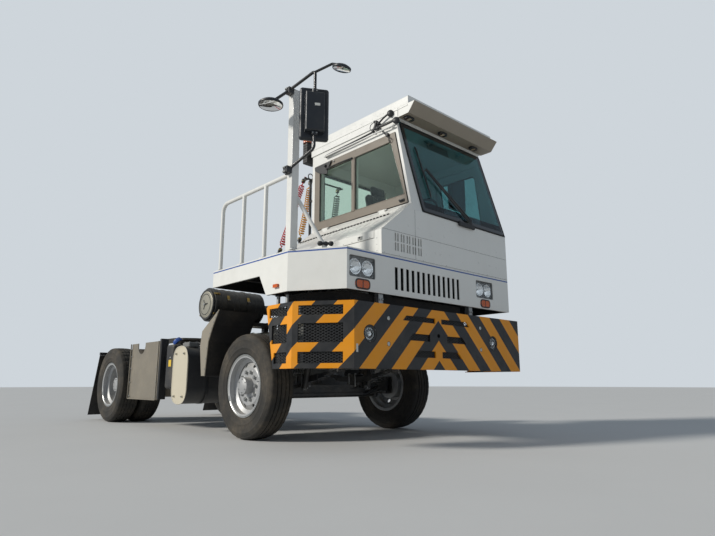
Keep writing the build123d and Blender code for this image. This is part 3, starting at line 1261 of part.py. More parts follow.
big_disc = (BAR_X - 279.0, -1588.0, BAR_TOP - 333.0)
small_disc = (BAR_X + 205.0, -1157.0, BAR_TOP - 8.0)
small_stub = [
    (BAR_X - 4.0, BAR_Y - 2.0, BAR_TOP - 14.0),
    (small_disc[0] - 80.0, small_disc[1] - 46.0, BAR_TOP + 54.0),
    (small_disc[0] + 1.0, small_disc[1], small_disc[2] + 30.0),
]
STUB_R = ARM_R - 2.0
right_arms += bent_tube(small_stub, [20.0], STUB_R)
LEFT_MIRROR_X = 2070.0
LEFT_MIRROR_Y = (1398.0, DISC_R_BIG - big_disc[1])
LEFT_MIRROR_Z = (HEAD_Z - 480.0, HEAD_Z - 30.0)
left_y_mid = sum(LEFT_MIRROR_Y) / 2
left_arm = box((2215.0, 2285.0), (ROOF_Y[1] + GAP, ROOF_Y[1] + 16.0), (ROOF_TOP - 130.0, ROOF_TOP - 50.0))
left_arm += bent_tube(
    [
        (2250.0, ROOF_Y[1] + 8.0, ROOF_TOP - 90.0),
        (2250.0, left_y_mid - 127.0, ROOF_TOP - 55.0),
        (LEFT_MIRROR_X, left_y_mid, ROOF_TOP - 80.0),
        (LEFT_MIRROR_X, left_y_mid, LEFT_MIRROR_Z[1] + GAP),
    ],
    [60.0, 60.0],
    ARM_R,
)
save("mirror_arms", right_arms, left_arm)


def disc_mirror(r, high):
    """A round mirror lying face down under its dome."""
    dome = ThreePointArc((r, 0, 8.0), (0.7 * r, 0, 0.6 * high + 3.0), (0, 0, high))
    edge = Polyline((0, 0, high), (0, 0, -10.0), (r - 4.0, 0, -10.0), (r, 0, -6.0), (r, 0, 8.0))
    return revolve(make_face([edge, dome]), axis=Axis.Z)


# The big mirror is turned towards the driver; its cover closes over the bar in front of it.
BIG_YAW = -31.0
BIG_Z = (2694.0, POST_TOP - 43.0)
BIG_T = 60.0
COVER_REACH = 46.0
big_mid = (BIG_Z[0] + BIG_Z[1]) / 2
housing_x = -ARM_R - 3.0 - BIG_T / 2
big = Pos(housing_x, 0, 0) * Box(BIG_T, 268.0, BIG_Z[1] - BIG_Z[0])
big = fillet(big.edges(), 26.0)
raised = Pos((housing_x + COVER_REACH) / 2, 0, -2.0) * Box(COVER_REACH - housing_x, 172.0, 378.0)
big += fillet(raised.edges().group_by(Axis.X)[-1], 16.0)
big -= Pos(housing_x - BIG_T / 2, 0, 0) * Box(12.0, 236.0, BIG_Z[1] - BIG_Z[0] - 32.0)
big -= Cylinder(ARM_R + GAP, 2 * (BIG_Z[1] - BIG_Z[0]))
big_mirror = Pos(BAR_X, BAR_Y, big_mid) * Rot(0, 0, BIG_YAW) * big
round_one = Pos(*big_disc) * disc_mirror(DISC_R_BIG, 48.0)
bar_run = (Vector(*bar_end) - Vector(*bar_clamp)).normalized()
round_one -= straight_tube(bar_clamp, tuple(Vector(*bar_end) + bar_run * GAP), ARM_R + GAP)
round_two = Pos(*small_disc) * Rot(0, SMALL_TILT, 0) * disc_mirror(DISC_R_SMALL, 36.0)
stub_run = (Vector(*small_stub[2]) - Vector(*small_stub[1])).normalized()
round_two -= straight_tube(small_stub[1], tuple(Vector(*small_stub[2]) + stub_run * GAP), STUB_R + GAP)
left_mirror = box((LEFT_MIRROR_X - 35.0, LEFT_MIRROR_X + 35.0), LEFT_MIRROR_Y, LEFT_MIRROR_Z)
left_mirror = fillet(left_mirror.edges(), 24.0)
save("mirrors", big_mirror, round_one, round_two, left_mirror)

# Handrail along the deck's right edge
HAND_Y = -1320.0
HAND_R = 21.0
HAND_Z = 2445.0
HAND_REAR_X = 1100.0
hand_route = [
    (HAND_REAR_X, HAND_Y, DECK_Z + GAP),
    (HAND_REAR_X, HAND_Y, HAND_Z),
    (POST_X - POST_HALF - GAP, HAND_Y, HAND_Z),
]
handrail = bent_tube(hand_route, [95.0], HAND_R)
for x in (1530.0, 1930.0):
    handrail += rod_z(x, HAND_Y, (DECK_Z + GAP, HAND_Z), HAND_R)
for x in (HAND_REAR_X, 1530.0, 1930.0):
    handrail += rod_z(x, HAND_Y, (DECK_Z + GAP, DECK_Z + 10.0), 50.0)
save("handrail", handrail)

# Deck behind the cab
REAR_DECK_Z = (RAIL_TOP + GAP, RAIL_TOP + 25.0)
REAR_DECK_X = (-500.0, 1000.0)
save("rear_deck", box(REAR_DECK_X, (-640.0, 640.0), REAR_DECK_Z))

# Air filter across the chassis, with its duct to the engine
FILTER_X = 688.0
FILTER_Z = 1405.0
FILTER_R = 180.0
FILTER_Y = (-1250.0, -600.0)
air_filter = rod_y(FILTER_X, (FILTER_Y[0] + 22.0, FILTER_Y[1]), FILTER_Z, FILTER_R)
air_filter += rod_y(FILTER_X, (FILTER_Y[0] + 22.0, FILTER_Y[0] + 60.0), FILTER_Z, FILTER_R + 8.0)
air_filter += rod_y(FILTER_X, (FILTER_Y[0], FILTER_Y[0] + 24.0), FILTER_Z, FILTER_R - 34.0)
air_filter += rod_y(FILTER_X, (-830.0, -800.0), FILTER_Z, FILTER_R + 6.0)
DUCT_R = 55.0
DUCT_Y = -150.0
duct_route = [
    (FILTER_X, FILTER_Y[1] - 6.0, FILTER_Z),
    (FILTER_X, DUCT_Y, FILTER_Z),
    (ENGINE_REAR_X - GAP, DUCT_Y, FILTER_Z),
]
air_filter += bent_tube(duct_route, [130.0], DUCT_R)
saddle_z = FILTER_Z - FILTER_R
air_filter += box((FILTER_X - 120.0, FILTER_X + 120.0), (-1120.0, -380.0), (saddle_z - 30.0, saddle_z + 12.0))
for x in (FILTER_X - 90.0, FILTER_X + 90.0):
    foot_y = (RAIL_FLANGE - RAIL_OUT_Y - 90.0, -380.0)
    air_filter += box((x - 30.0, x + 30.0), foot_y, (REAR_DECK_Z[1] + GAP, saddle_z - 29.0))
save("air_filter", air_filter)

# Front mudguards behind the front wheels, and flaps behind the rear wheels
GUARD = [(981.0, 1320.0), (872.0, 1165.0), (778.0, 992.0), (734.0, 626.0)]
GUARD_REAR = [(661.0, 626.0), (602.0, 945.0), (632.0, 1112.0)]
GUARD_T = 10.0
GUARD_Y = (760.0, 1250.0)
inner_edge = [(x - GUARD_T, z - 3.0) for x, z in reversed(GUARD)]
mudguards = []
for side in (1, -1):
    across = tuple(sorted((side * GUARD_Y[0], side * GUARD_Y[1])))
    guard = prism_y(GUARD + inner_edge, across)
    rim_y = tuple(sorted((side * (GUARD_Y[1] - GUARD_T), side * GUARD_Y[1])))
    guard += prism_y(GUARD + GUARD_REAR, rim_y)
    reach = tuple(sorted((side * (RAIL_OUT_Y + GAP), side * (GUARD_Y[0] + 200.0))))
    guard += box((GUARD[2][0] - 50.0, GUARD[2][0] - 10.0), reach, (900.0, 950.0))
    mudguards.append(guard)
FLAP_TOP_X = REAR_AXLE_X - 420.0
FLAP_LOW_X = REAR_AXLE_X - 750.0
FLAP_Y = (640.0, 1270.0)
FLAP_Z = (70.0, 1000.0)
flap_outline = [
    (FLAP_TOP_X, FLAP_Z[1]),
    (FLAP_LOW_X, FLAP_Z[0]),
    (FLAP_LOW_X - GUARD_T, FLAP_Z[0]),
    (FLAP_TOP_X - GUARD_T, FLAP_Z[1]),
]
for side in (1, -1):
    across = tuple(sorted((side * FLAP_Y[0], side * FLAP_Y[1])))
    flap = prism_y(flap_outline, across)
    bar_y = tuple(sorted((side * (RAIL_OUT_Y + GAP), side * FLAP_Y[1])))
    flap += box((FLAP_TOP_X - 40.0, FLAP_TOP_X - 2.0), bar_y, (FLAP_Z[1] - 40.0, FLAP_Z[1]))
    mudguards.append(flap)
save("mudguards", *mudguards)

# Boxes and tanks on the chassis sides
SIDE_Y = 1250.0


def carried(shape, x, side, z, inner_y):
    """A side box with the bracket that holds it on the rail."""
    reach = tuple(sorted((side * (RAIL_OUT_Y + GAP), side * (inner_y + 4.0))))
    return shape + box(x, reach, z)


capsule = box((-55.0, 320.0), (-SIDE_Y + 8.0, -640.0), (316.0, 969.0))
capsule = fillet(capsule.edges().filter_by(Axis.Y), 180.0)
end_plate = box((-62.0, 327.0), (-SIDE_Y, -SIDE_Y + 9.0), (309.0, 976.0))
capsule += fillet(end_plate.edges().filter_by(Axis.Y), 190.0)
for bolt_x, bolt_z in ((30.0, 400.0), (235.0, 400.0), (30.0, 885.0), (235.0, 885.0)):
    capsule += rod_y(bolt_x, (-SIDE_Y - 12.0, -SIDE_Y + 2.0), bolt_z, 13.0)
save("aftertreatment_box", carried(capsule, (90.0, 170.0), -1, (790.0, 930.0), 640.0))
urea = box((-270.0, -70.0), (-SIDE_Y, -760.0), (481.0, 1005.0))
urea = fillet(urea.edges(), 34.0)
urea += rod_z(-143.0, -1130.0, (1000.0, 1050.0), 46.0)
save("urea_tank", carried(urea, (-220.0, -120.0), -1, (790.0, 930.0), 760.0))
NOTCH_X = (-1180.0, -940.0)
NOTCH_Z = 922.0
plate = box((-1390.0, -480.0), (-SIDE_Y + 10.0, -SIDE_Y + 20.0), (340.0, 1065.0))
notch_r = (NOTCH_X[1] - NOTCH_X[0]) / 2
plate -= box(NOTCH_X, (-SIDE_Y, -SIDE_Y + 30.0), (NOTCH_Z + notch_r, 1070.0))
plate -= rod_y(NOTCH_X[0] + notch_r, (-SIDE_Y, -SIDE_Y + 30.0), NOTCH_Z + notch_r, notch_r)
battery = box((-1370.0, -500.0), (-SIDE_Y + 19.0, -690.0), (380.0, 900.0))
battery += plate
save("battery_box", carried(battery, (-990.0, -860.0), -1, (790.0, 890.0), 690.0))
fuel = box((-480.0, 320.0), (700.0, SIDE_Y), (380.0, 960.0))
fuel = fillet(fuel.edges().filter_by(Axis.X), 90.0)
fuel += rod_z(180.0, 1100.0, (950.0, 1000.0), 50.0)
save("fuel_tank", carried(fuel, (-140.0, 0.0), 1, (790.0, 930.0), 700.0))
air_tank = fillet(rod_x((-1380.0, -620.0), 900.0, 640.0, 140.0).edges(), 50.0)
TANK_ARM_X = (-1060.0, -960.0)
air_tank += box(TANK_ARM_X, (640.0, 900.0), (640.0, 860.0))
save("air_tank", carried(air_tank, TANK_ARM_X, 1, (790.0, 860.0), 640.0))

# Stand for the three coiled lines behind the cab
STAND_X = 1165.0
STAND_Y = -190.0
LINE_X = 1100.0
LINE_TOP = HEAD_Z - 280.0
LINE_R = 38.0
CABLE_R = 42.0
stand = rod_z(STAND_X, STAND_Y, (DECK_Z + GAP, LINE_TOP + 42.0), 16.0)
stand += rod_z(STAND_X, STAND_Y, (DECK_Z + GAP, DECK_Z + 12.0), 55.0)
stand += rod_y(STAND_X, (-285.0, 330.0), LINE_TOP + 36.0, 11.0)
stand += Pos(STAND_X, STAND_Y, LINE_TOP + 74.0) * Rot(0, 90, 0) * Torus(36.0, 6.0)
for z in (2080.0, 2720.0):
    stand += box((STAND_X, CAB_REAR_X - GAP), (STAND_Y - 12.0, STAND_Y + 12.0), (z - 10.0, z + 10.0))
RED_LOW = (LINE_X, -560.0, 2080.0)
YELLOW_LOW = (LINE_X, -285.0, 2259.0)
LINES = [
    ("air_line_red", LINE_R, [(LINE_X, -257.0, LINE_TOP), (LINE_X, -385.0, 2560.0), RED_LOW]),
    ("air_line_yellow", LINE_R, [(LINE_X, -149.0, LINE_TOP), (LINE_X, -192.0, 2620.0), YELLOW_LOW]),
    (
        "electric_line_black",
        CABLE_R,
        [(LINE_X, 0.0, LINE_TOP), (LINE_X, 50.0, 2390.0), (LINE_X, 250.0, 2390.0), (LINE_X, 300.0, LINE_TOP)],
    ),
]
FITTING_R = 22.0
stand += box((LINE_X - 30.0, STAND_X), (RED_LOW[1] - 40.0, STAND_Y + 10.0), (2000.0, 2030.0))
for name, radius, points in LINES:
    for end, inner in ((points[0], points[1]), (points[-1], points[-2])):
        out = (Vector(*end) - Vector(*inner)).normalized()
        start = Vector(*end) + out * GAP
        stop = Vector(*end) + out * 46.0
        stand += straight_tube(tuple(start), tuple(stop), FITTING_R)
        if end[2] == LINE_TOP:
            clip_z = (LINE_TOP + 24.0, LINE_TOP + 48.0)
            stand += box((LINE_X - 12.0, STAND_X), (stop.Y - 12.0, stop.Y + 12.0), clip_z)
        else:
            stand += rod_z(stop.X, stop.Y, (2028.0, stop.Z), 13.0)
save("line_stand", stand)


def line_radii(points):
    """Corner radii for a hanging line, each as wide as its shorter run allows."""
    radii = []
    for a, b, c in zip(points, points[1:], points[2:]):
        first = Vector(*b) - Vector(*a)
        second = Vector(*c) - Vector(*b)
        half_turn = first.get_angle(second) / 2
        shorter = min(first.length, second.length)
        radii.append(round(0.45 * shorter / math.tan(math.radians(half_turn)), 1))
    return radii


for name, radius, points in LINES:
    radii = line_radii(points)
    print(name, radii)
    save(name, bent_tube(points, radii, radius))

# Lifting boom
BOOM_TOP = 1050.0
BOOM_LOW = 902.0
BOOM_BOSS_R = 78.0
PLATE_PIN_R = 25.0
EAR_T = 26.0
boom_arm = [
    (PIVOT_X, 1020.0),
    (-1700.0, BOOM_TOP),
    (-2010.0, BOOM_TOP),
    (-2035.0, 1000.0),
    (-1990.0, 930.0),
    (PIVOT_X, BOOM_LOW),
]
boom = Part()
for side in (1, -1):
    arm_y = tuple(sorted((side * BOOM_IN_Y, side * BOOM_OUT_Y)))
    arm = prism_y(boom_arm, arm_y) + rod_y(PIVOT_X, arm_y, PIVOT_Z, BOOM_BOSS_R)
    ear_y = tuple(sorted((side * (BOOM_OUT_Y - 38.0), side * BOOM_OUT_Y)))
    ear_outline = [
        (PLATE_PIVOT_X + 90.0, BOOM_TOP - 20.0),
        (PLATE_PIVOT_X + 38.0, PLATE_PIVOT_Z),
        (PLATE_PIVOT_X - 38.0, PLATE_PIVOT_Z),
        (PLATE_PIVOT_X - 60.0, BOOM_TOP - 20.0),
    ]
    ear = prism_y(ear_outline, ear_y)
    arm += ear + rod_y(PLATE_PIVOT_X, ear_y, PLATE_PIVOT_Z, 42.0)
    pin_y = tuple(sorted((side * 200.0, side * BOOM_OUT_Y)))
    arm += rod_y(PLATE_PIVOT_X, pin_y, PLATE_PIVOT_Z, PLATE_PIN_R)
    for low, high in ((BOOM_IN_Y, BOOM_IN_Y + EAR_T), (BOOM_OUT_Y - EAR_T, BOOM_OUT_Y)):
        lug_y = tuple(sorted((side * low, side * high)))
        lug = [
            (ROD_PIN_X + 80.0, 930.0),
            (ROD_PIN_X + 44.0, ROD_PIN_Z),
            (ROD_PIN_X - 44.0, ROD_PIN_Z),
            (ROD_PIN_X - 90.0, 940.0),
        ]
        arm += prism_y(lug, lug_y)
        arm += rod_y(ROD_PIN_X, lug_y, ROD_PIN_Z, 46.0)
    arm += rod_y(ROD_PIN_X, arm_y, ROD_PIN_Z, CYL_PIN_R)
    boom += arm
boom += rod_y(PIVOT_X - 470.0, (-BOOM_IN_Y - 1.0, BOOM_IN_Y + 1.0), 975.0, 50.0)
boom += box((-2000.0, -1760.0), (-BOOM_IN_Y - 1.0, BOOM_IN_Y + 1.0), (990.0, 1020.0))
boom -= rod_y(PIVOT_X, (-BOOM_OUT_Y - 1.0, BOOM_OUT_Y + 1.0), PIVOT_Z, PIVOT_R + GAP)
save("lift_boom", boom)

# Fifth wheel: plate, throat, side ribs and the lugs on its pivot
PLATE_HALF_Y = 450.0
PLATE_FRONT = 350.0
PLATE_REAR = 430.0
PLATE_BASE = 70.0
PLATE_T = 28.0
THROAT_R = KINGPIN_R
plan = [
    (PLATE_FRONT, -210.0),
    (PLATE_FRONT, 210.0),
    (PLATE_FRONT - 90.0, 370.0),
    (PLATE_FRONT - 230.0, PLATE_HALF_Y),
    (-190.0, PLATE_HALF_Y),
    (-PLATE_REAR, 300.0),
    (-PLATE_REAR, 190.0),
    (-60.0, THROAT_R),
    (0.0, THROAT_R),
    (0.0, -THROAT_R),
    (-60.0, -THROAT_R),
    (-PLATE_REAR, -190.0),
    (-PLATE_REAR, -300.0),
    (-190.0, -PLATE_HALF_Y),
    (PLATE_FRONT - 230.0, -PLATE_HALF_Y),
    (PLATE_FRONT - 90.0, -370.0),
]
base_z = PLATE_PIVOT_Z + PLATE_BASE
fifth = prism_z([(PLATE_PIVOT_X + px, py) for px, py in plan], (base_z, base_z + PLATE_T))
fifth -= rod_z(PLATE_PIVOT_X, 0.0, (base_z - 1.0, base_z + PLATE_T + 1.0), THROAT_R)
ramp = [
    (PLATE_PIVOT_X - 190.0, base_z + PLATE_T + 0.1),
    (PLATE_PIVOT_X - PLATE_REAR - 1.0, base_z + PLATE_T - 16.0),
    (PLATE_PIVOT_X - PLATE_REAR - 1.0, base_z + PLATE_T + 0.1),
]
fifth -= prism_y(ramp, (-PLATE_HALF_Y - 1.0, PLATE_HALF_Y + 1.0))
for side in (1, -1):
    rib_y = tuple(sorted((side * (PLATE_HALF_Y - 18.0), side * PLATE_HALF_Y)))
    fifth += box((PLATE_PIVOT_X - 170.0, PLATE_PIVOT_X + 100.0), rib_y, (base_z - 46.0, base_z + 1.0))
    lug_y = tuple(sorted((side * 212.0, side * 254.0)))
    fifth += prism_y(
        [
            (PLATE_PIVOT_X - 90.0, base_z + 1.0),
            (PLATE_PIVOT_X + 90.0, base_z + 1.0),
            (PLATE_PIVOT_X + 40.0, PLATE_PIVOT_Z),
            (PLATE_PIVOT_X - 40.0, PLATE_PIVOT_Z),
        ],
        lug_y,
    ) + rod_y(PLATE_PIVOT_X, lug_y, PLATE_PIVOT_Z, 40.0)
fifth += box((PLATE_PIVOT_X + 90.0, PLATE_PIVOT_X + 120.0), (-430.0, 430.0), (base_z - 40.0, base_z + 1.0))
fifth -= rod_y(PLATE_PIVOT_X, (-270.0, 270.0), PLATE_PIVOT_Z, PLATE_PIN_R + GAP)
jaw = box((PLATE_PIVOT_X - 55.0, PLATE_PIVOT_X + 90.0), (-70.0, 70.0), (base_z - 44.0, base_z + 1.0))
jaw -= rod_z(PLATE_PIVOT_X, 0.0, (base_z - 50.0, base_z + 2.0), THROAT_R)
jaw -= box((PLATE_PIVOT_X - 70.0, PLATE_PIVOT_X), (-THROAT_R, THROAT_R), (base_z - 50.0, base_z + 2.0))
fifth += jaw
save("fifth_wheel", fifth)

# Lift cylinders between frame and boom
BARREL_R = 44.0
ROD_R = 28.0
BARREL_END = 450.0
ROD_START = 110.0
BARREL_EYE_R = 46.0
EYE_OPEN = 6.0
stroke_dir = Vector(ROD_PIN_X - BASE_X, 0, ROD_PIN_Z - BASE_Z)
pin_distance = stroke_dir.length
stroke_dir = stroke_dir.normalized()
for side, word in ((1, "left"), (-1, "right")):
    base = Vector(BASE_X, CYL_Y * side, BASE_Z)
    along = Plane(origin=tuple(base), x_dir=(0, 1, 0), z_dir=tuple(stroke_dir))
    barrel = along * Pos(0, 0, (30.0 + BARREL_END) / 2) * Cylinder(BARREL_R, BARREL_END - 30.0)
    barrel = Part() + barrel
    barrel += along * Pos(0, 0, BARREL_END - 20.0) * Cylinder(BARREL_R + 6.0, 40.0)
    eye_y = (CYL_Y * side - 50.0, CYL_Y * side + 50.0)
    barrel += rod_y(BASE_X, eye_y, BASE_Z, BARREL_EYE_R)
    barrel -= along * Pos(0, 0, (ROD_START - 15.0 + BARREL_END + 1.0) / 2) * Cylinder(
        ROD_R + GAP, BARREL_END + 1.0 - (ROD_START - 15.0)
    )
    barrel -= rod_y(BASE_X, (CYL_Y * side - 60.0, CYL_Y * side + 60.0), BASE_Z, CYL_PIN_R + GAP)
    save(f"cylinder_barrel_{word}", barrel)
    rod = Part() + along * Pos(0, 0, (ROD_START + pin_distance - 30.0) / 2) * Cylinder(
        ROD_R, pin_distance - 30.0 - ROD_START
    )
    rod += rod_y(ROD_PIN_X, (CYL_Y * side - 26.0, CYL_Y * side + 26.0), ROD_PIN_Z, 48.0)
    rod -= rod_y(ROD_PIN_X, (CYL_Y * side - 30.0, CYL_Y * side + 30.0), ROD_PIN_Z, CYL_PIN_R + EYE_OPEN)
    save(f"cylinder_rod_{word}", rod)
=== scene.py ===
from math import cos, exp, pi, radians, sin, sqrt, tan

import bmesh
import bpy
from mathutils import Matrix, Vector


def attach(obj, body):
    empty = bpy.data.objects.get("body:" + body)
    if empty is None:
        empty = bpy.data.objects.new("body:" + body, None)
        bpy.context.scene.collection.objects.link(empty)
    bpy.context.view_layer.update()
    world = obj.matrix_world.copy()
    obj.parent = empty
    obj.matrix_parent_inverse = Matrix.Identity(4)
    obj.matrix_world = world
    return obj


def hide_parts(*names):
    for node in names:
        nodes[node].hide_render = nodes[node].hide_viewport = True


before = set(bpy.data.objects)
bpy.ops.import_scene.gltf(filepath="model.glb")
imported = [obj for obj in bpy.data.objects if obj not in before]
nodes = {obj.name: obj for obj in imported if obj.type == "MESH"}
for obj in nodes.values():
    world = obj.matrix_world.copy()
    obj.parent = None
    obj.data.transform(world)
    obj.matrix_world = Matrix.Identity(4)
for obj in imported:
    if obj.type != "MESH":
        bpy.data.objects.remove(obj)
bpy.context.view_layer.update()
scene = bpy.context.scene
MM = 0.001

# Sizes shared with the part's source, in millimetres
TYRE_R = 525
FRONT_AXLE_X = 1350
REAR_AXLE_X = -2140
BODY_FRONT_X = 2867
SILL_Z = 2216
HEAD_Z = 3250
HEAD_X = 2663
ROOF_TOP = 3440
DECK_Z = 1704
CAB_RIGHT_Y = -240
CAB_LEFT_Y = 1375
CAB_REAR_X = 1270
SCREEN_LEAN = (BODY_FRONT_X - HEAD_X) / (HEAD_Z - SILL_Z)
WALL_LEAN = (CAB_LEFT_Y - 1200) / (HEAD_Z - SILL_Z)
UP = Vector((0, 0, 1))
DOWN = (0, 0, -1)
AHEAD = (1, 0, 0)
BACK = (-1, 0, 0)
LEFT = (0, 1, 0)
RIGHT = (0, -1, 0)
MARKER_LAMPS_Y = (-0.161, 0.384, 0.948)
LAMP_Y, LAMP_Z = 912, 1544
FOG_Y, FOG_Z = 903, 963
SEAT_Y = 570
RAIL_FACE_Y = 430
FIFTH_WHEEL_X = -1950


def screen_x(z):
    """The windscreen plane's x at a height."""
    return BODY_FRONT_X - max(0, z - SILL_Z) * SCREEN_LEAN


def left_y(z):
    """The left wall's outer y at a height."""
    return CAB_LEFT_Y - max(0, z - SILL_Z) * WALL_LEAN


def srgb(r, g, b):
    """A colour given in 0 to 255 as linear light."""
    out = []
    for value in (r, g, b):
        v = value / 255
        out.append(v / 12.92 if v <= 0.04045 else ((v + 0.055) / 1.055) ** 2.4)
    return tuple(out)


def toned(colour, amount):
    return tuple(c * amount for c in colour)


# Materials

class Look:
    """One procedural material, with short names for the nodes that it needs."""

    def __init__(self, name):
        self.mat = bpy.data.materials.new(name)
        self.mat.use_nodes = True
        self.tree = self.mat.node_tree
        self.tree.nodes.clear()
        self.out = self.node("OutputMaterial")
        self.coord = self.node("TexCoord")
        self.pos = self.coord.outputs["Object"]

    def node(self, kind):
        return self.tree.nodes.new("ShaderNode" + kind)

    def put(self, socket, value):
        if isinstance(value, bpy.types.NodeSocket):
            self.tree.links.new(value, socket)
        elif value is not None:
            if socket.type == "RGBA" and len(value) == 3:
                value = (*value, 1)
            socket.default_value = value

    def stretched(self, scale):
        node = self.node("Mapping")
        self.put(node.inputs["Vector"], self.pos)
        node.inputs["Scale"].default_value = scale
        return node.outputs["Vector"]

    def noise(self, scale, detail=3, rough=0.55, stretch=None):
        node = self.node("TexNoise")
        self.put(node.inputs["Vector"], self.stretched(stretch) if stretch else self.pos)
        node.inputs["Scale"].default_value = scale
        node.inputs["Detail"].default_value = detail
        node.inputs["Roughness"].default_value = rough
        return node.outputs["Fac"]

    def cells(self, scale):
        node = self.node("TexVoronoi")
        self.put(node.inputs["Vector"], self.pos)
        node.inputs["Scale"].default_value = scale
        return node.outputs["Distance"]

    def wave(self, scale, axis):
        node = self.node("TexWave")
        node.bands_direction = axis
        self.put(node.inputs["Vector"], self.pos)
        node.inputs["Scale"].default_value = scale
        return node.outputs["Fac"]

    def ramp(self, fac, low, high, a=0, b=1):
        node = self.node("MapRange")
        node.interpolation_type = "SMOOTHSTEP"
        self.put(node.inputs["Value"], fac)
        for name, value in (("From Min", low), ("From Max", high), ("To Min", a), ("To Max", b)):
            node.inputs[name].default_value = value
        return node.outputs["Result"]

    def calc(self, kind, a, b=None, c=None):
        node = self.node("Math")
        node.operation = kind
        for socket, value in zip(node.inputs, (a, b, c)):
            self.put(socket, value)
        return node.outputs[0]

    def less(self, a, b):
        return self.calc("LESS_THAN", a, b)

    def more(self, a, b):
        return self.calc("GREATER_THAN", a, b)

    def plus(self, a, b):
        return self.calc("ADD", a, b)

    def minus(self, a, b):
        return self.calc("SUBTRACT", a, b)

    def off(self, value, centre=None):
        """How far a value is from a centre, or from 0."""
        return self.calc("ABSOLUTE", value if centre is None else self.minus(value, centre))

    def both(self, value, *others):
        """The product of masks or numbers."""
        for other in others:
            value = self.calc("MULTIPLY", value, other)
        return value

    def mix(self, fac, a, b):
        node = self.node("Mix")
        node.data_type = "RGBA"
        self.put(node.inputs["Factor"], fac)
        colour_a, colour_b = [s for s in node.inputs if s.type == "RGBA"]
        self.put(colour_a, a)
        self.put(colour_b, b)
        return [s for s in node.outputs if s.type == "RGBA"][0]

    def axis(self, which, source=None):
        node = self.node("SeparateXYZ")
        self.put(node.inputs[0], source or self.pos)
        return node.outputs[which]

    def facing(self, which):
        return self.axis(which, self.coord.outputs["Normal"])

    def bump(self, height, strength, distance, normal=None):
        node = self.node("Bump")
        self.put(node.inputs["Height"], height)
        node.inputs["Strength"].default_value = strength
        node.inputs["Distance"].default_value = distance
        self.put(node.inputs["Normal"], normal)
        return node.outputs["Normal"]

    def soft_edge(self, radius):
        node = self.node("Bevel")
        node.samples = 4
        node.inputs["Radius"].default_value = radius
        return node.outputs["Normal"]

    def surface(self, base, rough=0.5, metal=0, normal=None, **more):
        node = self.node("BsdfPrincipled")
        self.put(node.inputs["Base Color"], base)
        self.put(node.inputs["Roughness"], rough)
        self.put(node.inputs["Metallic"], metal)
        self.put(node.inputs["Normal"], normal)
        for name, value in more.items():
            self.put(node.inputs[name.replace("_", " ").title().replace("Ior", "IOR")], value)
        self.tree.links.new(node.outputs[0], self.out.inputs["Surface"])
        self.shader = node
        return self.mat

    def lets_light_in(self, tint):
        """Light rays pass the glass straight, so that what is behind it is lit."""
        path = self.node("LightPath")
        clear = self.node("BsdfTransparent")
        clear.inputs["Color"].default_value = (*tint, 1)
        both = self.node("MixShader")
        seen = self.calc("MAXIMUM", path.outputs["Is Shadow Ray"], path.outputs["Is Diffuse Ray"])
        self.tree.links.new(seen, both.inputs[0])
        self.tree.links.new(self.shader.outputs[0], both.inputs[1])
        self.tree.links.new(clear.outputs[0], both.inputs[2])
        self.tree.links.new(both.outputs[0], self.out.inputs["Surface"])
        return self.mat


DUST = srgb(176, 164, 142)
LENS_RIBS = 260


def dusty(look, base, up_amount, all_amount, dust=DUST):
    """Dust that lies on faces turned up and clings in patches elsewhere."""
    up = look.ramp(look.facing(2), 0.3, 0.95, 0, up_amount)
    patches = look.ramp(look.noise(3.2, 5, 0.62), 0.38, 0.72, 0, all_amount)
    fine = look.ramp(look.noise(38, 4, 0.6), 0.35, 0.7, 0.55, 1)
    amount = look.both(look.plus(up, patches), fine)
    return look.mix(amount, base, dust)


def painted(name, colour, rough=0.34, up=0.10, patches=0.05, edge=0.004, shade=0.05):
    """Enamel paint: slight tone changes, faint run-down streaks, dust and softened edges."""
    look = Look(name)
    dark = tuple(c * (1 - shade) for c in colour)
    base = look.mix(look.noise(1.7, 4), dark, colour)
    streaks = look.ramp(look.noise(9, 4, 0.6, (1, 1, 0.08)), 0.45, 0.8, 0, 0.10)
    base = look.mix(streaks, base, tuple(c * 0.72 + d * 0.1 for c, d in zip(colour, DUST)))
    base = dusty(look, base, up, patches)
    peel = look.bump(look.noise(420, 2), 0.05, 0.0006, look.soft_edge(edge))
    worn = look.ramp(look.noise(14, 5), 0.3, 0.7, rough - 0.07, rough + 0.14)
    return look.surface(base, worn, normal=peel, coat_weight=0.25, coat_roughness=0.12)


white_paint = painted("white paint", (0.80, 0.80, 0.765))
roof_paint = painted("roof paint", (0.82, 0.82, 0.79), up=0.16)
post_paint = painted("post paint", (0.78, 0.78, 0.75), rough=0.4)
grey_frame = painted("window frame paint", srgb(124, 115, 103), rough=0.45, edge=0.003)
black_paint = painted("chassis paint", srgb(44, 46, 48), rough=0.42, up=0.34, patches=0.16, shade=0.25)
steel_black = painted("black steel", srgb(38, 40, 43), rough=0.38, up=0.16, patches=0.08, edge=0.002)
beige_paint = painted("beige plate paint", srgb(203, 196, 178), rough=0.5, up=0.2, patches=0.14, shade=0.1)
box_paint = painted("battery plate paint", srgb(128, 121, 108), rough=0.55, up=0.25, patches=0.22, shade=0.14)
green_grey = painted("machinery grey", srgb(92, 96, 96), rough=0.5, up=0.3, patches=0.2)


def painted_shade_under_body(look):
    """1 where the platform's faces lie inside its skirt or below its deck, else 0; these faces get painted shade."""
    x, y, z = (look.axis(k) for k in range(3))
    corner = look.minus(look.both(x, 0.513), look.both(y, 0.858))
    inside = look.less(look.off(y), 1.362)
    return look.both(inside, look.less(z, 1.690), look.less(x, 2.860), look.more(x, 1.066), look.less(corner, 2.3995))


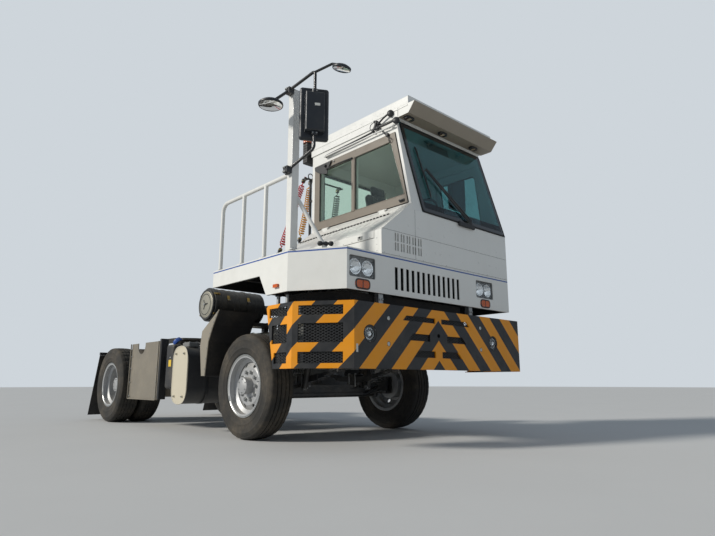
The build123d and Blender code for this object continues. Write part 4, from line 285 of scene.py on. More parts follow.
def platform_look():
    """White paint with the thin blue line that runs round just under the deck's edge, and painted shade, near black,
    inside the skirt and below the deck.
    """
    look = Look("platform paint and painted shade")
    base = look.mix(look.noise(1.7, 4), (0.76, 0.76, 0.725), (0.80, 0.80, 0.765))
    z = look.axis(2)
    inside = look.calc("COMPARE", z, 1.6865, 0.0064)
    side_on = look.less(look.off(look.facing(2)), 0.5)
    base = look.mix(look.both(inside, side_on), base, srgb(44, 84, 158))
    streaks = look.ramp(look.noise(9, 4, 0.6, (1, 1, 0.08)), 0.45, 0.8, 0, 0.12)
    base = look.mix(streaks, base, (0.56, 0.55, 0.50))
    walked = look.ramp(look.facing(2), 0.5, 0.95, 0, 0.75)
    base = look.mix(walked, base, srgb(150, 150, 146))
    base = dusty(look, base, 0.22, 0.06)
    # Painted shade: near black on the faces inside the skirt and below the deck
    base = look.mix(painted_shade_under_body(look), base, srgb(30, 31, 32))
    grit = look.both(look.noise(520, 2), walked)
    normal = look.bump(grit, 0.5, 0.0015, look.soft_edge(0.004))
    return look.surface(base, look.ramp(look.noise(14, 5), 0.3, 0.7, 0.3, 0.5), normal=normal)


def stripe_look():
    """Slanted black and yellow warning stripes that meet in a V at the bumper's middle."""
    look = Look("warning stripes")
    x, y, z = (look.axis(k) for k in range(3))
    ahead = look.minus(2.950, x)
    right_in = look.calc("MINIMUM", look.off(y), 1.084)
    corner = look.calc("MINIMUM", look.calc("MAXIMUM", look.calc("DIVIDE", ahead, 0.8065), 0), 0.534)
    behind = look.calc("MAXIMUM", look.minus(2.519, x), 0)
    right = look.plus(look.plus(right_in, corner), behind)
    left = look.plus(look.calc("MINIMUM", y, 1.40), ahead)
    is_right = look.less(y, 0)
    around = look.plus(look.both(right, is_right), look.both(left, look.minus(1, is_right)))
    phase = look.calc("FRACT", look.calc("DIVIDE", look.minus(look.plus(around, z), 1.137), 0.378))
    yellow = look.less(phase, 0.495)
    gold = look.mix(look.noise(2.2, 4), srgb(226, 142, 4), srgb(240, 158, 10))
    black = look.mix(look.noise(2.2, 4), srgb(29, 31, 34), srgb(40, 41, 44))
    base = dusty(look, look.mix(yellow, black, gold), 0.12, 0.05)
    scuffs = look.ramp(look.noise(26, 6, 0.7, (1, 1, 3)), 0.66, 0.74, 0, 0.30)
    base = look.mix(scuffs, base, srgb(120, 112, 96))
    # Flush bolt heads and one small pale plate on the front face
    up = look.minus(look.off(z, 0.997), 0.111)
    along = look.minus(look.off(y), 0.680)
    from_bolt = look.calc("SQRT", look.plus(look.both(up, up), look.both(along, along)))
    on_front = look.more(x, 2.9485)
    bolt = look.both(look.less(from_bolt, 0.017), on_front)
    groove = look.both(look.less(look.off(from_bolt, 0.019), 0.002), on_front)
    wide = look.less(look.off(look.plus(y, 1.052)), 0.011)
    high = look.less(look.off(z, 0.838), 0.034)
    plate = look.both(wide, high, on_front)
    base = look.mix(look.calc("MAXIMUM", bolt, plate), base, srgb(206, 206, 200))
    base = look.mix(groove, base, srgb(20, 20, 20))
    dome = look.both(bolt, look.ramp(from_bolt, 0.004, 0.017, 1, 0))
    normal = look.bump(look.noise(300, 2), 0.06, 0.0006, look.soft_edge(0.003))
    normal = look.bump(dome, 0.9, 0.006, normal)
    return look.surface(base, look.ramp(look.noise(12, 5), 0.3, 0.7, 0.34, 0.54), look.both(bolt, 0.7), normal)


def visor_look():
    """White outside, with painted shade: dark grey-brown on the underside."""
    look = Look("visor paint and painted shade")
    sideways = look.more(look.off(look.facing(1)), 0.5)
    upward = look.more(look.facing(2), 0.2)
    white = look.calc("MAXIMUM", sideways, upward)
    # Painted shade: the underside's dark grey-brown stands for the shade under the visor, not a paint colour
    under = look.mix(look.noise(4, 4), srgb(142, 132, 118), srgb(156, 146, 130))
    base = look.mix(white, under, (0.76, 0.76, 0.73))
    return look.surface(dusty(look, base, 0.15, 0.05), 0.45, normal=look.soft_edge(0.002))


def rubber_look(name, tone, dust_all=0.42):
    look = Look(name)
    base = look.mix(look.noise(5, 5), toned(tone, 0.8), toned(tone, 1.25))
    base = dusty(look, base, 0.3, dust_all, srgb(122, 110, 92))
    specks = look.ramp(look.noise(160, 3), 0.62, 0.72, 0, 0.25)
    base = look.mix(specks, base, srgb(140, 128, 108))
    return look.surface(base, 0.82, normal=look.bump(look.noise(240, 4), 0.25, 0.0012))


tyre_rubber = rubber_look("tyre rubber", srgb(40, 39, 37))
seal_rubber = rubber_look("seal rubber", srgb(22, 23, 24), 0.08)


def plastic_look(name, colour, rough=0.5, grain=0.2, up=0.14, patches=0.05):
    """Moulded plastic with a fine leather grain."""
    look = Look(name)
    base = look.mix(look.noise(6, 4), toned(colour, 0.85), toned(colour, 1.12))
    base = dusty(look, base, up, patches)
    normal = look.bump(look.cells(700), grain, 0.0008, look.soft_edge(0.003))
    return look.surface(base, look.ramp(look.noise(22, 4), 0.3, 0.7, rough - 0.06, rough + 0.08), normal=normal)


black_plastic = plastic_look("black plastic", srgb(38, 40, 43))
mirror_plastic = plastic_look("mirror plastic", srgb(40, 44, 50), 0.38, 0.12)
filter_plastic = plastic_look("air filter paint", srgb(44, 46, 48), 0.42, 0.08, 0.28, 0.12)
dash_plastic = plastic_look("dashboard plastic", srgb(62, 64, 66), 0.6, 0.35)
tank_plastic = plastic_look("tank plastic", srgb(42, 43, 45), 0.55, 0.15, 0.3, 0.15)
trim_grey = plastic_look("trim grey plastic", srgb(120, 122, 122), 0.6, 0.3)
blue_cap = plastic_look("blue cap plastic", srgb(36, 84, 170), 0.4, 0.1)
yellow_tag = plastic_look("yellow tag plastic", srgb(226, 190, 60), 0.5, 0.1)
white_plastic = plastic_look("white plastic", srgb(214, 214, 208), 0.45, 0.1)


def metal_look(name, colour, rough, brushed=None, metal=1, dust=0.1):
    look = Look(name)
    base = look.mix(look.noise(8, 4), toned(colour, 0.86), colour)
    base = dusty(look, base, dust, dust * 0.6)
    grain = look.noise(90, 3, 0.6, brushed) if brushed else look.noise(60, 4)
    spread = look.ramp(grain, 0.3, 0.7, max(rough - 0.06, 0.02), rough + 0.1)
    return look.surface(base, spread, metal, look.bump(grain, 0.08, 0.0006))


rim_paint = metal_look("rim silver", srgb(178, 180, 182), 0.42, metal=0.35, dust=0.35)
bright_steel = metal_look("bright steel", srgb(196, 196, 192), 0.3, (1, 12, 1))
zinc = metal_look("zinc plate", srgb(168, 170, 170), 0.42, metal=0.7)
chrome = metal_look("chrome", srgb(226, 228, 230), 0.06, dust=0.02)
brass = metal_look("brass latch", srgb(188, 160, 96), 0.34)
cap_metal = metal_look("filter cap metal", srgb(206, 200, 182), 0.34, (1, 1, 14), 0.85)
oily_steel = metal_look("greased steel", srgb(86, 82, 76), 0.36, metal=0.8, dust=0.25)


def glass_look(name, through, light, rough=0):
    look = Look(name)
    tone = look.mix(look.noise(3, 4), toned(through, 0.94), through)
    look.surface(tone, rough, transmission_weight=1, ior=1.45)
    return look.lets_light_in(light)


side_glass = glass_look("side glass", (0.66, 0.80, 0.70), (0.7, 0.8, 0.74))


def cab_glass_look():
    """Greenish side panes, and a dark blue-green windscreen told apart by where it leans."""
    look = Look("cab glass")
    lean = look.plus(look.axis(0), look.both(look.axis(2), SCREEN_LEAN))
    front = look.more(lean, 3.275)
    cloudy = look.noise(3, 4)
    side = look.mix(cloudy, (0.78, 0.90, 0.80), (0.82, 0.94, 0.84))
    screen = look.mix(cloudy, (0.090, 0.250, 0.300), (0.110, 0.290, 0.340))
    screen = look.mix(look.less(look.axis(2), SILL_Z / 1000 + 0.125), screen, (0.018, 0.034, 0.048))
    look.surface(look.mix(front, side, screen), 0, transmission_weight=1, ior=1.45)
    return look.lets_light_in((0.92, 0.97, 0.94))


cab_glass = cab_glass_look()
lens_glass = glass_look("lamp lens", (0.95, 0.97, 0.98), (0.95, 0.97, 0.98), 0.02)


def lens_look(name, colour):
    """A coloured lamp lens with moulded ribs."""
    look = Look(name)
    tone = look.mix(look.noise(20, 3), toned(colour, 0.85), colour)
    normal = look.bump(look.wave(LENS_RIBS, "Y"), 0.4, 0.002, look.soft_edge(0.003))
    return look.surface(tone, 0.16, normal=normal, coat_weight=0.8, coat_roughness=0.05, subsurface_weight=0)


amber_lens = lens_look("amber lens", srgb(236, 120, 28))
red_lens = lens_look("red lens", srgb(176, 22, 18))
white_lens = lens_look("white lens", srgb(220, 222, 218))


def guard_look():
    """Black sheet, with the mudguards' outer edge strips in a dusty grey."""
    look = Look("mudguard sheet")
    strip = look.both(look.more(look.off(look.axis(1)), 1.2385), look.more(look.axis(0), 0))
    black = look.mix(look.noise(6, 4), srgb(26, 26, 28), srgb(36, 36, 38))
    base = look.mix(strip, black, srgb(142, 135, 122))
    base = dusty(look, base, 0.18, 0.10)
    normal = look.bump(look.noise(260, 3), 0.25, 0.0008, look.soft_edge(0.003))
    return look.surface(base, 0.55, normal=normal)


def capsule_look():
    """Dark shell behind a cream end plate."""
    look = Look("treatment box")
    plate = look.less(look.axis(1), -1.2405)
    shell = look.mix(look.noise(4, 4), srgb(50, 51, 53), srgb(64, 65, 67))
    cream = look.mix(look.noise(4, 4), srgb(196, 188, 166), srgb(208, 200, 180))
    base = dusty(look, look.mix(plate, shell, cream), 0.22, 0.08)
    return look.surface(base, 0.48, normal=look.bump(look.noise(300, 2), 0.05, 0.0006, look.soft_edge(0.004)))


def tail_lamp_look():
    """White, red and amber cells side by side with dark joints between them."""
    look = Look("tail lamp cells")
    out = look.off(look.axis(1))
    red = look.more(out, 0.312)
    amber = look.more(out, 0.406)
    tone = look.mix(red, srgb(222, 222, 216), srgb(176, 20, 16))
    tone = look.mix(amber, tone, srgb(232, 118, 26))
    joint = look.less(look.calc("MINIMUM", look.off(out, 0.312), look.off(out, 0.406)), 0.002)
    body = look.more(look.axis(0), -2.925)
    tone = look.mix(look.calc("MAXIMUM", joint, body), tone, srgb(30, 30, 32))
    normal = look.bump(look.wave(240, "Z"), 0.4, 0.002, look.soft_edge(0.003))
    return look.surface(
        look.mix(look.ramp(look.noise(18, 4), 0.4, 0.8, 0, 0.2), tone, DUST), 0.18, normal=normal, coat_weight=0.8,
        coat_roughness=0.05
    )


def lamp_mix_look():
    """Amber on the signals and the beacon; the three lamps under the visor are smoked."""
    look = Look("amber and smoked lamps")
    visor = look.both(look.more(look.axis(2), 3.15), look.more(look.axis(0), 2.2))
    cloudy = look.noise(20, 3)
    amber = look.mix(cloudy, srgb(190, 78, 14), srgb(226, 104, 22))
    smoked = look.mix(cloudy, srgb(52, 36, 28), srgb(88, 56, 34))
    bulb = 1
    for place in MARKER_LAMPS_Y:
        bulb = look.calc("MINIMUM", bulb, look.off(look.axis(1), place))
    smoked = look.mix(look.ramp(bulb, 0.012, 0.022, 1, 0), smoked, srgb(196, 176, 150))
    normal = look.bump(look.wave(LENS_RIBS, "Y"), 0.4, 0.002, look.soft_edge(0.003))
    return look.surface(look.mix(visor, amber, smoked), 0.16, normal=normal, coat_weight=0.8, coat_roughness=0.05)


def mirror_look():
    look = Look("mirror glass")
    film = look.ramp(look.noise(18, 5), 0.45, 0.75, 0, 0.12)
    return look.surface(look.mix(film, (0.86, 0.87, 0.88), DUST), 0.03, 1)


def frit_look():
    """Black ceramic border baked on the glass."""
    look = Look("glass border")
    return look.surface(
        look.mix(look.noise(30, 3), (0.010, 0.011, 0.012), (0.018, 0.019, 0.021)), 0.08, coat_weight=1
    )


def fabric_look():
    look = Look("seat fabric")
    weave = look.both(look.wave(900, "Y"), look.wave(900, "X"))
    base = look.mix(look.noise(24, 5), srgb(44, 47, 54), srgb(62, 66, 74))
    base = look.mix(look.ramp(weave, 0.1, 0.6), base, srgb(74, 78, 86))
    channel = look.ramp(look.wave(4.6, "Y"), 0, 0.12, 0, 1)
    normal = look.bump(weave, 0.3, 0.0006, look.bump(channel, 0.5, 0.012))
    return look.surface(base, 0.92, normal=normal, sheen_weight=0.4)


def line_look(name, colour, rough=0.34):
    look = Look(name)
    base = look.mix(look.noise(26, 4), toned(colour, 0.8), colour)
    return look.surface(
        dusty(look, base, 0.08, 0.04), look.ramp(look.noise(60, 3), 0.3, 0.7, rough - 0.05, rough + 0.1),
        coat_weight=0.3
    )


mirror_glass = mirror_look()
frit = frit_look()
seat_fabric = fabric_look()
red_line = line_look("red air line", srgb(214, 36, 44))
yellow_line = line_look("yellow air line", srgb(246, 178, 46))
black_line = line_look("black electric line", srgb(28, 29, 31), 0.5)
hose_black = line_look("black hose", srgb(24, 25, 27), 0.55)
platform_paint_and_shade = platform_look()
stripes = stripe_look()
visor_paint_and_painted_shade = visor_look()

NODE_LOOKS = (
    (capsule_look(), "aftertreatment_box"),
    (lamp_mix_look(), "amber_lamps"),
    (guard_look(), "mudguards"),
    (tail_lamp_look(), "tail_lamps"),
    (filter_plastic, "air_filter"),
    (black_paint,
     "air_tank chassis_frame front_axle front_springs knuckle_left knuckle_right lift_boom "
     "rear_axle rear_deck tie_rod"),
    (box_paint, "battery_box"),
    (white_paint, "cab_door cab_shell side_cover side_housing"),
    (cab_glass, "cab_glass"),
    (roof_paint, "cab_roof"),
    (steel_black, "cylinder_barrel_left cylinder_barrel_right drive_shaft line_stand mirror_arms wiper"),
    (chrome, "cylinder_rod_left cylinder_rod_right"),
    (dash_plastic, "dashboard"),
    (side_glass, "door_glass"),
    (green_grey, "engine_block"),
    (oily_steel, "fifth_wheel"),
    (stripes, "front_bumper"),
    (rim_paint, "front_rim_left front_rim_right rear_rims_left rear_rims_right"),
    (tank_plastic, "fuel_tank urea_tank"),
    (post_paint, "handrail mirror_post"),
    (mirror_plastic, "mirrors"),
    (platform_paint_and_shade, "platform"),
    (black_plastic, "seat_base steering_wheel work_light"),
    (visor_paint_and_painted_shade, "sun_visor"),
    (grey_frame, "window_frame"),
)
for look, names in NODE_LOOKS:
    for node_name in names.split():
        data = nodes[node_name].data
        data.materials.clear()
        data.materials.append(look)


# Mesh building

def chamfered(size, c):
    """Corners and faces of a centred block with every edge cut at 45 degrees."""
    half = [s / 2 for s in size]
    if c <= 0:
        verts = [(sx * half[0], sy * half[1], sz * half[2]) for sx in (-1, 1) for sy in (-1, 1) for sz in (-1, 1)]
        return verts, [(0, 1, 3, 2), (4, 6, 7, 5), (0, 4, 5, 1), (2, 3, 7, 6), (0, 2, 6, 4), (1, 5, 7, 3)]
    verts = []
    index = {}
    signs = [(sx, sy, sz) for sx in (-1, 1) for sy in (-1, 1) for sz in (-1, 1)]
    for s in signs:
        for a in range(3):
            index[s, a] = len(verts)
            verts.append(tuple(s[k] * (half[k] - (0 if k == a else c)) for k in range(3)))
    faces = []
    for a in range(3):
        u, v = (a + 1) % 3, (a + 2) % 3
        for sign in (-1, 1):
            ring = []
            for su, sv in ((-1, -1), (1, -1), (1, 1), (-1, 1)):
                s = [0, 0, 0]
                s[a], s[u], s[v] = sign, su, sv
                ring.append(index[tuple(s), a])
            faces.append(tuple(ring))
        for su in (-1, 1):
            for sv in (-1, 1):
                ends = []
                for along, face in ((-1, u), (1, u), (1, v), (-1, v)):
                    s = [0, 0, 0]
                    s[a], s[u], s[v] = along, su, sv
                    ends.append(index[tuple(s), face])
                faces.append(tuple(ends))
    for s in signs:
        faces.append((index[s, 0], index[s, 1], index[s, 2]))
    return verts, faces


def aim(origin, direction, side=None):
    """A frame at origin whose local Z looks along direction."""
    z = Vector(direction).normalized()
    hint = Vector(side) if side else (UP if abs(z.z) < 0.9 else Vector(AHEAD))
    x = (hint - z * hint.dot(z)).normalized()
    y = z.cross(x)
    m = Matrix((x, y, z)).transposed().to_4x4()
    m.translation = Vector(origin)
    return m


def shift(x, y, z):
    """A frame moved without a turn."""
    return Matrix.Translation((x, y, z))


def turned(angle):
    """A turn in radians about the local Z."""
    return Matrix.Rotation(angle, 4, "Z")


def rect(a, b, c, d):
    """The outline from corner (a, b) to corner (c, d)."""
    return [(a, b), (c, b), (c, d), (a, d)]


def circle(n, r, start=0):
    """n points of a circle of radius r, the first at the angle start."""
    return [(r * cos(2 * pi * k / n + start), r * sin(2 * pi * k / n + start)) for k in range(n)]


def inset(outline, d):
    """A convex outline moved in by d."""
    n = len(outline)
    area = sum(outline[i][0] * outline[(i + 1) % n][1] - outline[(i + 1) % n][0] * outline[i][1] for i in range(n))
    turn = 1 if area > 0 else -1
    lines = []
    for i in range(n):
        a, b = Vector(outline[i]), Vector(outline[(i + 1) % n])
        t = (b - a).normalized()
        inward = Vector((-t.y, t.x)) * turn
        lines.append((a + inward * d, t))
    out = []
    for i in range(n):
        (p, r), (q, s) = lines[i - 1], lines[i]
        cross = r.x * s.y - r.y * s.x
        k = ((q - p).x * s.y - (q - p).y * s.x) / cross
        out.append(tuple(p + r * k))
    return out


def rounded(outline, r, steps=4):
    """An outline with each corner rounded by an arc of radius r."""
    n = len(outline)
    out = []
    for i in range(n):
        p, a, b = Vector(outline[i]), Vector(outline[i - 1]), Vector(outline[(i + 1) % n])
        u, v = (a - p).normalized(), (b - p).normalized()
        half = u.angle(v) / 2
        reach = min(r / tan(half), 0.45 * (a - p).length, 0.45 * (b - p).length)
        start, stop = p + u * reach, p + v * reach
        for k in range(steps + 1):
            t = k / steps
            out.append(tuple((1 - t) ** 2 * start + 2 * t * (1 - t) * p + t * t * stop))
    return out


class Build:
    """Collects the faces of one piece, in millimetres in the row frame."""

    def __init__(self):
        self.verts = []
        self.faces = []
        self.mats = []

    def add(self, verts, faces, mat=0, place=None):
        start = len(self.verts)
        self.verts += [tuple(place @ Vector(v)) if place else tuple(v) for v in verts]
        self.faces += [tuple(start + i for i in f) for f in faces]
        self.mats += [mat] * len(faces)

    def slab(self, x, y, z, mat=0, c=2):
        size = (abs(x[1] - x[0]), abs(y[1] - y[0]), abs(z[1] - z[0]))
        verts, faces = chamfered(size, min(c, min(size) * 0.45))
        self.add(verts, faces, mat, shift((x[0] + x[1]) / 2, (y[0] + y[1]) / 2, (z[0] + z[1]) / 2))

    def brick(self, place, size, mat=0, c=2):
        verts, faces = chamfered(size, min(c, min(size) * 0.45))
        self.add(verts, faces, mat, place)

    def spin(self, profile, place, n=32, mat=0, closed=False):
        """A profile of (radius, height) turned about the frame's Z."""
        verts = []
        rings = []
        for r, h in profile:
            if r < 1e-6:
                rings.append([len(verts)])
                verts.append((0, 0, h))
            else:
                rings.append(list(range(len(verts), len(verts) + n)))
                verts += [(u, v, h) for u, v in circle(n, r)]
        faces = []
        pairs = list(zip(rings, rings[1:])) + ([(rings[-1], rings[0])] if closed else [])
        for a, b in pairs:
            for k in range(n):
                m = (k + 1) % n
                if len(a) == 1 and len(b) > 1:
                    faces.append((a[0], b[k], b[m]))
                elif len(b) == 1 and len(a) > 1:
                    faces.append((a[k], a[m], b[0]))
                elif len(a) > 1:
                    faces.append((a[k], a[m], b[m], b[k]))
        self.add(verts, faces, mat, place)

    def rod(self, a, b, r, n=20, mat=0, c=1):
        """A round bar from a to b with chamfered ends."""
        length = (Vector(b) - Vector(a)).length
        c = min(c, r * 0.4, length * 0.3)
        profile = [(0, 0), (r - c, 0), (r, c), (r, length - c), (r - c, length), (0, length)]
        self.spin(profile, aim(a, Vector(b) - Vector(a)), n, mat)

    def pipe(self, points, r, n=10, mat=0, steps=6, smooth=True):
        """A round hose or tube that passes through the points."""
        pts = [Vector(p) for p in points]
        if smooth and len(pts) > 2:
            line = []
            for i in range(len(pts) - 1):
                p0, p1, p2, p3 = pts[max(i - 1, 0)], pts[i], pts[i + 1], pts[min(i + 2, len(pts) - 1)]
                square = 2 * p0 - 5 * p1 + 4 * p2 - p3
                cube = 3 * p1 - p0 - 3 * p2 + p3
                for k in range(steps):
                    t = k / steps
                    line.append(0.5 * (2 * p1 + (p2 - p0) * t + square * t * t + cube * t ** 3))
            pts = line + [pts[-1]]
        ahead = (pts[1] - pts[0]).normalized()
        side = ahead.orthogonal().normalized()
        verts = []
        for i, p in enumerate(pts):
            t = (pts[min(i + 1, len(pts) - 1)] - pts[max(i - 1, 0)]).normalized()
            side = (side - t * side.dot(t)).normalized()
            other = t.cross(side)
            verts += [p + side * u + other * v for u, v in circle(n, r)]
        faces = []
        for i in range(len(pts) - 1):
            for k in range(n):
                m = (k + 1) % n
                faces.append((i * n + k, i * n + m, (i + 1) * n + m, (i + 1) * n + k))
        faces.append(tuple(range(n)))
        faces.append(tuple((len(pts) - 1) * n + k for k in range(n)))
        self.add(verts, faces, mat)

    def bolt(self, at, direction, size=17, high=7, mat=0, washer=True):
        """A hexagon head on its washer."""
        place = aim(at, direction)
        r = size / sqrt(3)
        base = 0
        if washer:
            base = 1.6
            self.spin([(size * 0.86, 0), (size * 0.86, 1.2), (size * 0.82, base), (0, base)], place, 14, mat)
        verts = []
        for level, radius in ((base, r), (base + high * 0.8, r), (base + high, r * 0.84)):
            verts += [(u, v, level) for u, v in circle(6, radius)]
        faces = [
            (i * 6 + k, i * 6 + (k + 1) % 6, (i + 1) * 6 + (k + 1) % 6, (i + 1) * 6 + k) for i in range(2)
            for k in range(6)
        ]
        faces.append(tuple(range(12, 18)))
        self.add(verts, faces, mat, place)

    def rivet(self, at, direction, r=6, mat=0):
        self.spin([(r, 0), (r * 0.92, r * 0.25), (r * 0.6, r * 0.5), (0, r * 0.6)], aim(at, direction), 10, mat)

    def ring(self, outline, width, radius, to3d, low, high, mat=0, steps=4, lip=0):
        """A flat frame of the given width just inside an outline, from height low to high."""
        outer = rounded(outline, radius, steps)
        inner = rounded(inset(outline, width), max(radius - width, 1), steps)
        n = len(outer)
        lip = min(lip, (high - low) * 0.5, width * 0.3)
        rows = [
            [to3d(u, v, low) for u, v in outer],
            [to3d(u, v, high - lip) for u, v in outer],
            [to3d(a[0] + (b[0] - a[0]) * 0.25, a[1] + (b[1] - a[1]) * 0.25, high) for a, b in zip(outer, inner)],
            [to3d(b[0] + (a[0] - b[0]) * 0.25, b[1] + (a[1] - b[1]) * 0.25, high) for a, b in zip(outer, inner)],
            [to3d(u, v, high - lip) for u, v in inner],
            [to3d(u, v, low) for u, v in inner],
        ]
        verts = [p for row in rows for p in row]
        faces = []
        for i in range(6):
            j = (i + 1) % 6
            for k in range(n):
                m = (k + 1) % n
                faces.append((i * n + k, i * n + m, j * n + m, j * n + k))
        self.add(verts, faces, mat)

    def plate(self, outline, to3d, low, high, mat=0, c=1):
        """A plate of any convex or simple outline between two heights, its upper edge cut."""
        n = len(outline)
        inner = inset(outline, c) if c else outline
        rows = [
            [to3d(u, v, low) for u, v in outline], [to3d(u, v, high - c) for u, v in outline],
            [to3d(u, v, high) for u, v in inner]
        ]
        verts = [p for row in rows for p in row]
        faces = [
            (i * n + k, i * n + (k + 1) % n, (i + 1) * n + (k + 1) % n, (i + 1) * n + k) for i in range(2)
            for k in range(n)
        ]
        faces += [tuple(range(n)), tuple(range(2 * n, 3 * n))]
        self.add(verts, faces, mat)

    def done(self, name, looks, slot, body="chassis", angle=35, stands_for=()):
        mesh = bpy.data.meshes.new(name)
        mesh.from_pydata([Vector(v) * MM for v in self.verts], [], self.faces)
        for look in looks:
            mesh.materials.append(look)
        mesh.polygons.foreach_set("material_index", self.mats)
        bm = bmesh.new()
        bm.from_mesh(mesh)
        bmesh.ops.recalc_face_normals(bm, faces=bm.faces[:])
        bm.to_mesh(mesh)
        bm.free()
        mesh.polygons.foreach_set("use_smooth", [True] * len(mesh.polygons))
        mesh.set_sharp_from_angle(angle=radians(angle))
        mesh.update()
        obj = bpy.data.objects.new(name, mesh)
        scene.collection.objects.link(obj)
        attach(obj, body)
        if stands_for:
            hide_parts(*stands_for)
        return obj


def on_screen(y, z, h):
    """A point h out from the windscreen's outer face."""
    n = Vector((1, 0, SCREEN_LEAN)).normalized()
    return Vector((screen_x(z) + 7, y, z)) + n * h


def on_left(x, z, h):
    """A point h out from the cab's leaning left wall."""
    n = Vector((0, 1, WALL_LEAN)).normalized() if z > SILL_Z else Vector(LEFT)
    return Vector((x, left_y(z), z)) + n * h


def facing_x(x):
    """Places outline points and a height h on a plane that faces forward; the others alike."""
    return lambda y, z, h: Vector((x + h, y, z))


def facing_back(x):
    return lambda y, z, h: Vector((x - h, y, z))


def facing_down(z):
    return lambda x, y, h: Vector((x, y, z - h))


def facing_left(y):
    return lambda x, z, h: Vector((x, y + h, z))


def facing_right(y):
    return lambda x, z, h: Vector((x, y - h, z))


on_right = facing_right(CAB_RIGHT_Y)


# Tyres: ribbed tread in front, ribs cut by cross grooves behind
# Half the section from tread to bead as (radius, across, kind), outward positive
TYRE_SECTION = [
    (524.2, 0, "rib"), (524.2, 19, "edge"), (513, 21, "floor"), (513, 29, "floor"),
    (524, 31, "edge"), (523.4, 62, "edge"), (512, 64, "floor"), (512, 73, "floor"),
    (522.2, 75, "edge"), (519.5, 100, "lug"), (515, 116, "lug"), (506, 124, "lug"),
    (498, 128.5, "wall"), (494, 127.5, "wall"), (486, 132.5, "wall"), (474, 138, "wall"),
    (464, 140.2, "wall"), (462, 141.6, "wall"), (456, 141.8, "wall"), (454, 140.8, "wall"),
    (430, 141.4, "wall"), (404, 141.2, "wall"), (384, 140.4, "wall"), (382, 141.5, "wall"),
    (377, 141.2, "wall"), (375, 139.6, "wall"), (356, 135.6, "wall"), (340, 130.4, "wall"),
    (331, 130.6, "wall"), (325, 127, "wall"), (318, 118.5, "wall"), (312.6, 113.7, "wall"),
    (292.6, 113.4, "wall"),
]


def tyre(build, x, y, cross_grooves):
    section = [(r, -w, kind) for r, w, kind in reversed(TYRE_SECTION[1:])] + TYRE_SECTION
    n = 144
    verts = []
    for k in range(n):
        angle = 2 * pi * k / n
        sway = 2.2 if k % 2 else -2.2
        for r, w, kind in section:
            if kind == "edge" and abs(w) < 80:
                w += sway
            if cross_grooves and kind in ("lug", "edge", "rib") and k % 4 == 0:
                r = min(r, 514)
            elif kind == "lug" and k % 4 == 2:
                r -= 3
            verts.append((x + r * cos(angle), y + w, TYRE_R + r * sin(angle)))
    m = len(section)
    faces = []
    for k in range(n):
        j = (k + 1) % n
        faces += [(k * m + i, k * m + i + 1, j * m + i + 1, j * m + i) for i in range(m - 1)]
        faces.append((k * m + m - 1, k * m, j * m, j * m + m - 1))
    build.add(verts, faces)


def wheel_trim(build, x, y, side, disc_y, cap_y, cap_r, cap_bolts):
    """Wheel nuts, bright flange edge, hub cap face and valve."""
    out = Vector((0, side, 0))
    for u, v in circle(10, 140):
        build.bolt((x + u, disc_y, TYRE_R + v), out, 31, 24)
    place = aim((x, y, TYRE_R), out)
    build.spin([(311, 112), (312.6, 119), (312.4, 124.4), (305, 125.2), (296, 122), (291, 116)], place, 72, 1)
    cap = aim((x, cap_y, TYRE_R), out)
    build.spin(
        [(cap_r + 0.5, -16), (cap_r + 0.5, -4), (cap_r - 6, 0.6), (cap_r * 0.62, 0.8), (cap_r * 0.58, 2.6), (0, 3)],
        cap, 40, 2
    )
    for u, v in circle(cap_bolts, cap_r * 0.8, pi / cap_bolts):
        build.bolt((x + u, cap_y + 0.6 * side, TYRE_R + v), out, 13, 7, 0, washer=False)
    stem = Vector((x + 226, y + 40 * side, TYRE_R + 40))
    build.pipe([stem, stem + Vector((-8, 26 * side, 0)), stem + Vector((-20, 62 * side, 4))], 4.2, 8, 2)
    # Balance weights clipped on the flange
    for a in (0.9, 3.6):
        at = Vector((x + 300 * cos(a), y + 123 * side, TYRE_R + 300 * sin(a)))
        build.brick(aim(at, out, (-sin(a), 0, cos(a))), (62, 15, 7))


for side, word in ((1, "left"), (-1, "right")):
    front = Build()
    tyre(front, FRONT_AXLE_X, 1010 * side, False)
    front.done(
        f"front_tyre_tread_{word}", [tyre_rubber], "tyre_rubber", f"front_wheel_{word}", 40, [f"front_tyre_{word}"]
    )
    rear = Build()
    tyre(rear, REAR_AXLE_X, 1118 * side, True)
    tyre(rear, REAR_AXLE_X, 793 * side, True)
    rear.done(
        f"rear_tyre_tread_{word}", [tyre_rubber], "tyre_rubber", f"rear_wheels_{word}", 40, [f"rear_tyres_{word}"]
    )
    trim = Build()
    wheel_trim(trim, FRONT_AXLE_X, 1010 * side, side, 1072 * side, 1150 * side, 84, 6)
    trim.done(f"front_wheel_trim_{word}", [zinc, bright_steel, rim_paint], "rim_silver", f"front_wheel_{word}")
    trim = Build()
    wheel_trim(trim, REAR_AXLE_X, 1118 * side, side, 1046 * side, 1158 * side, 96, 8)
    trim.done(f"rear_wheel_trim_{word}", [zinc, bright_steel, rim_paint], "rim_silver", f"rear_wheels_{word}")


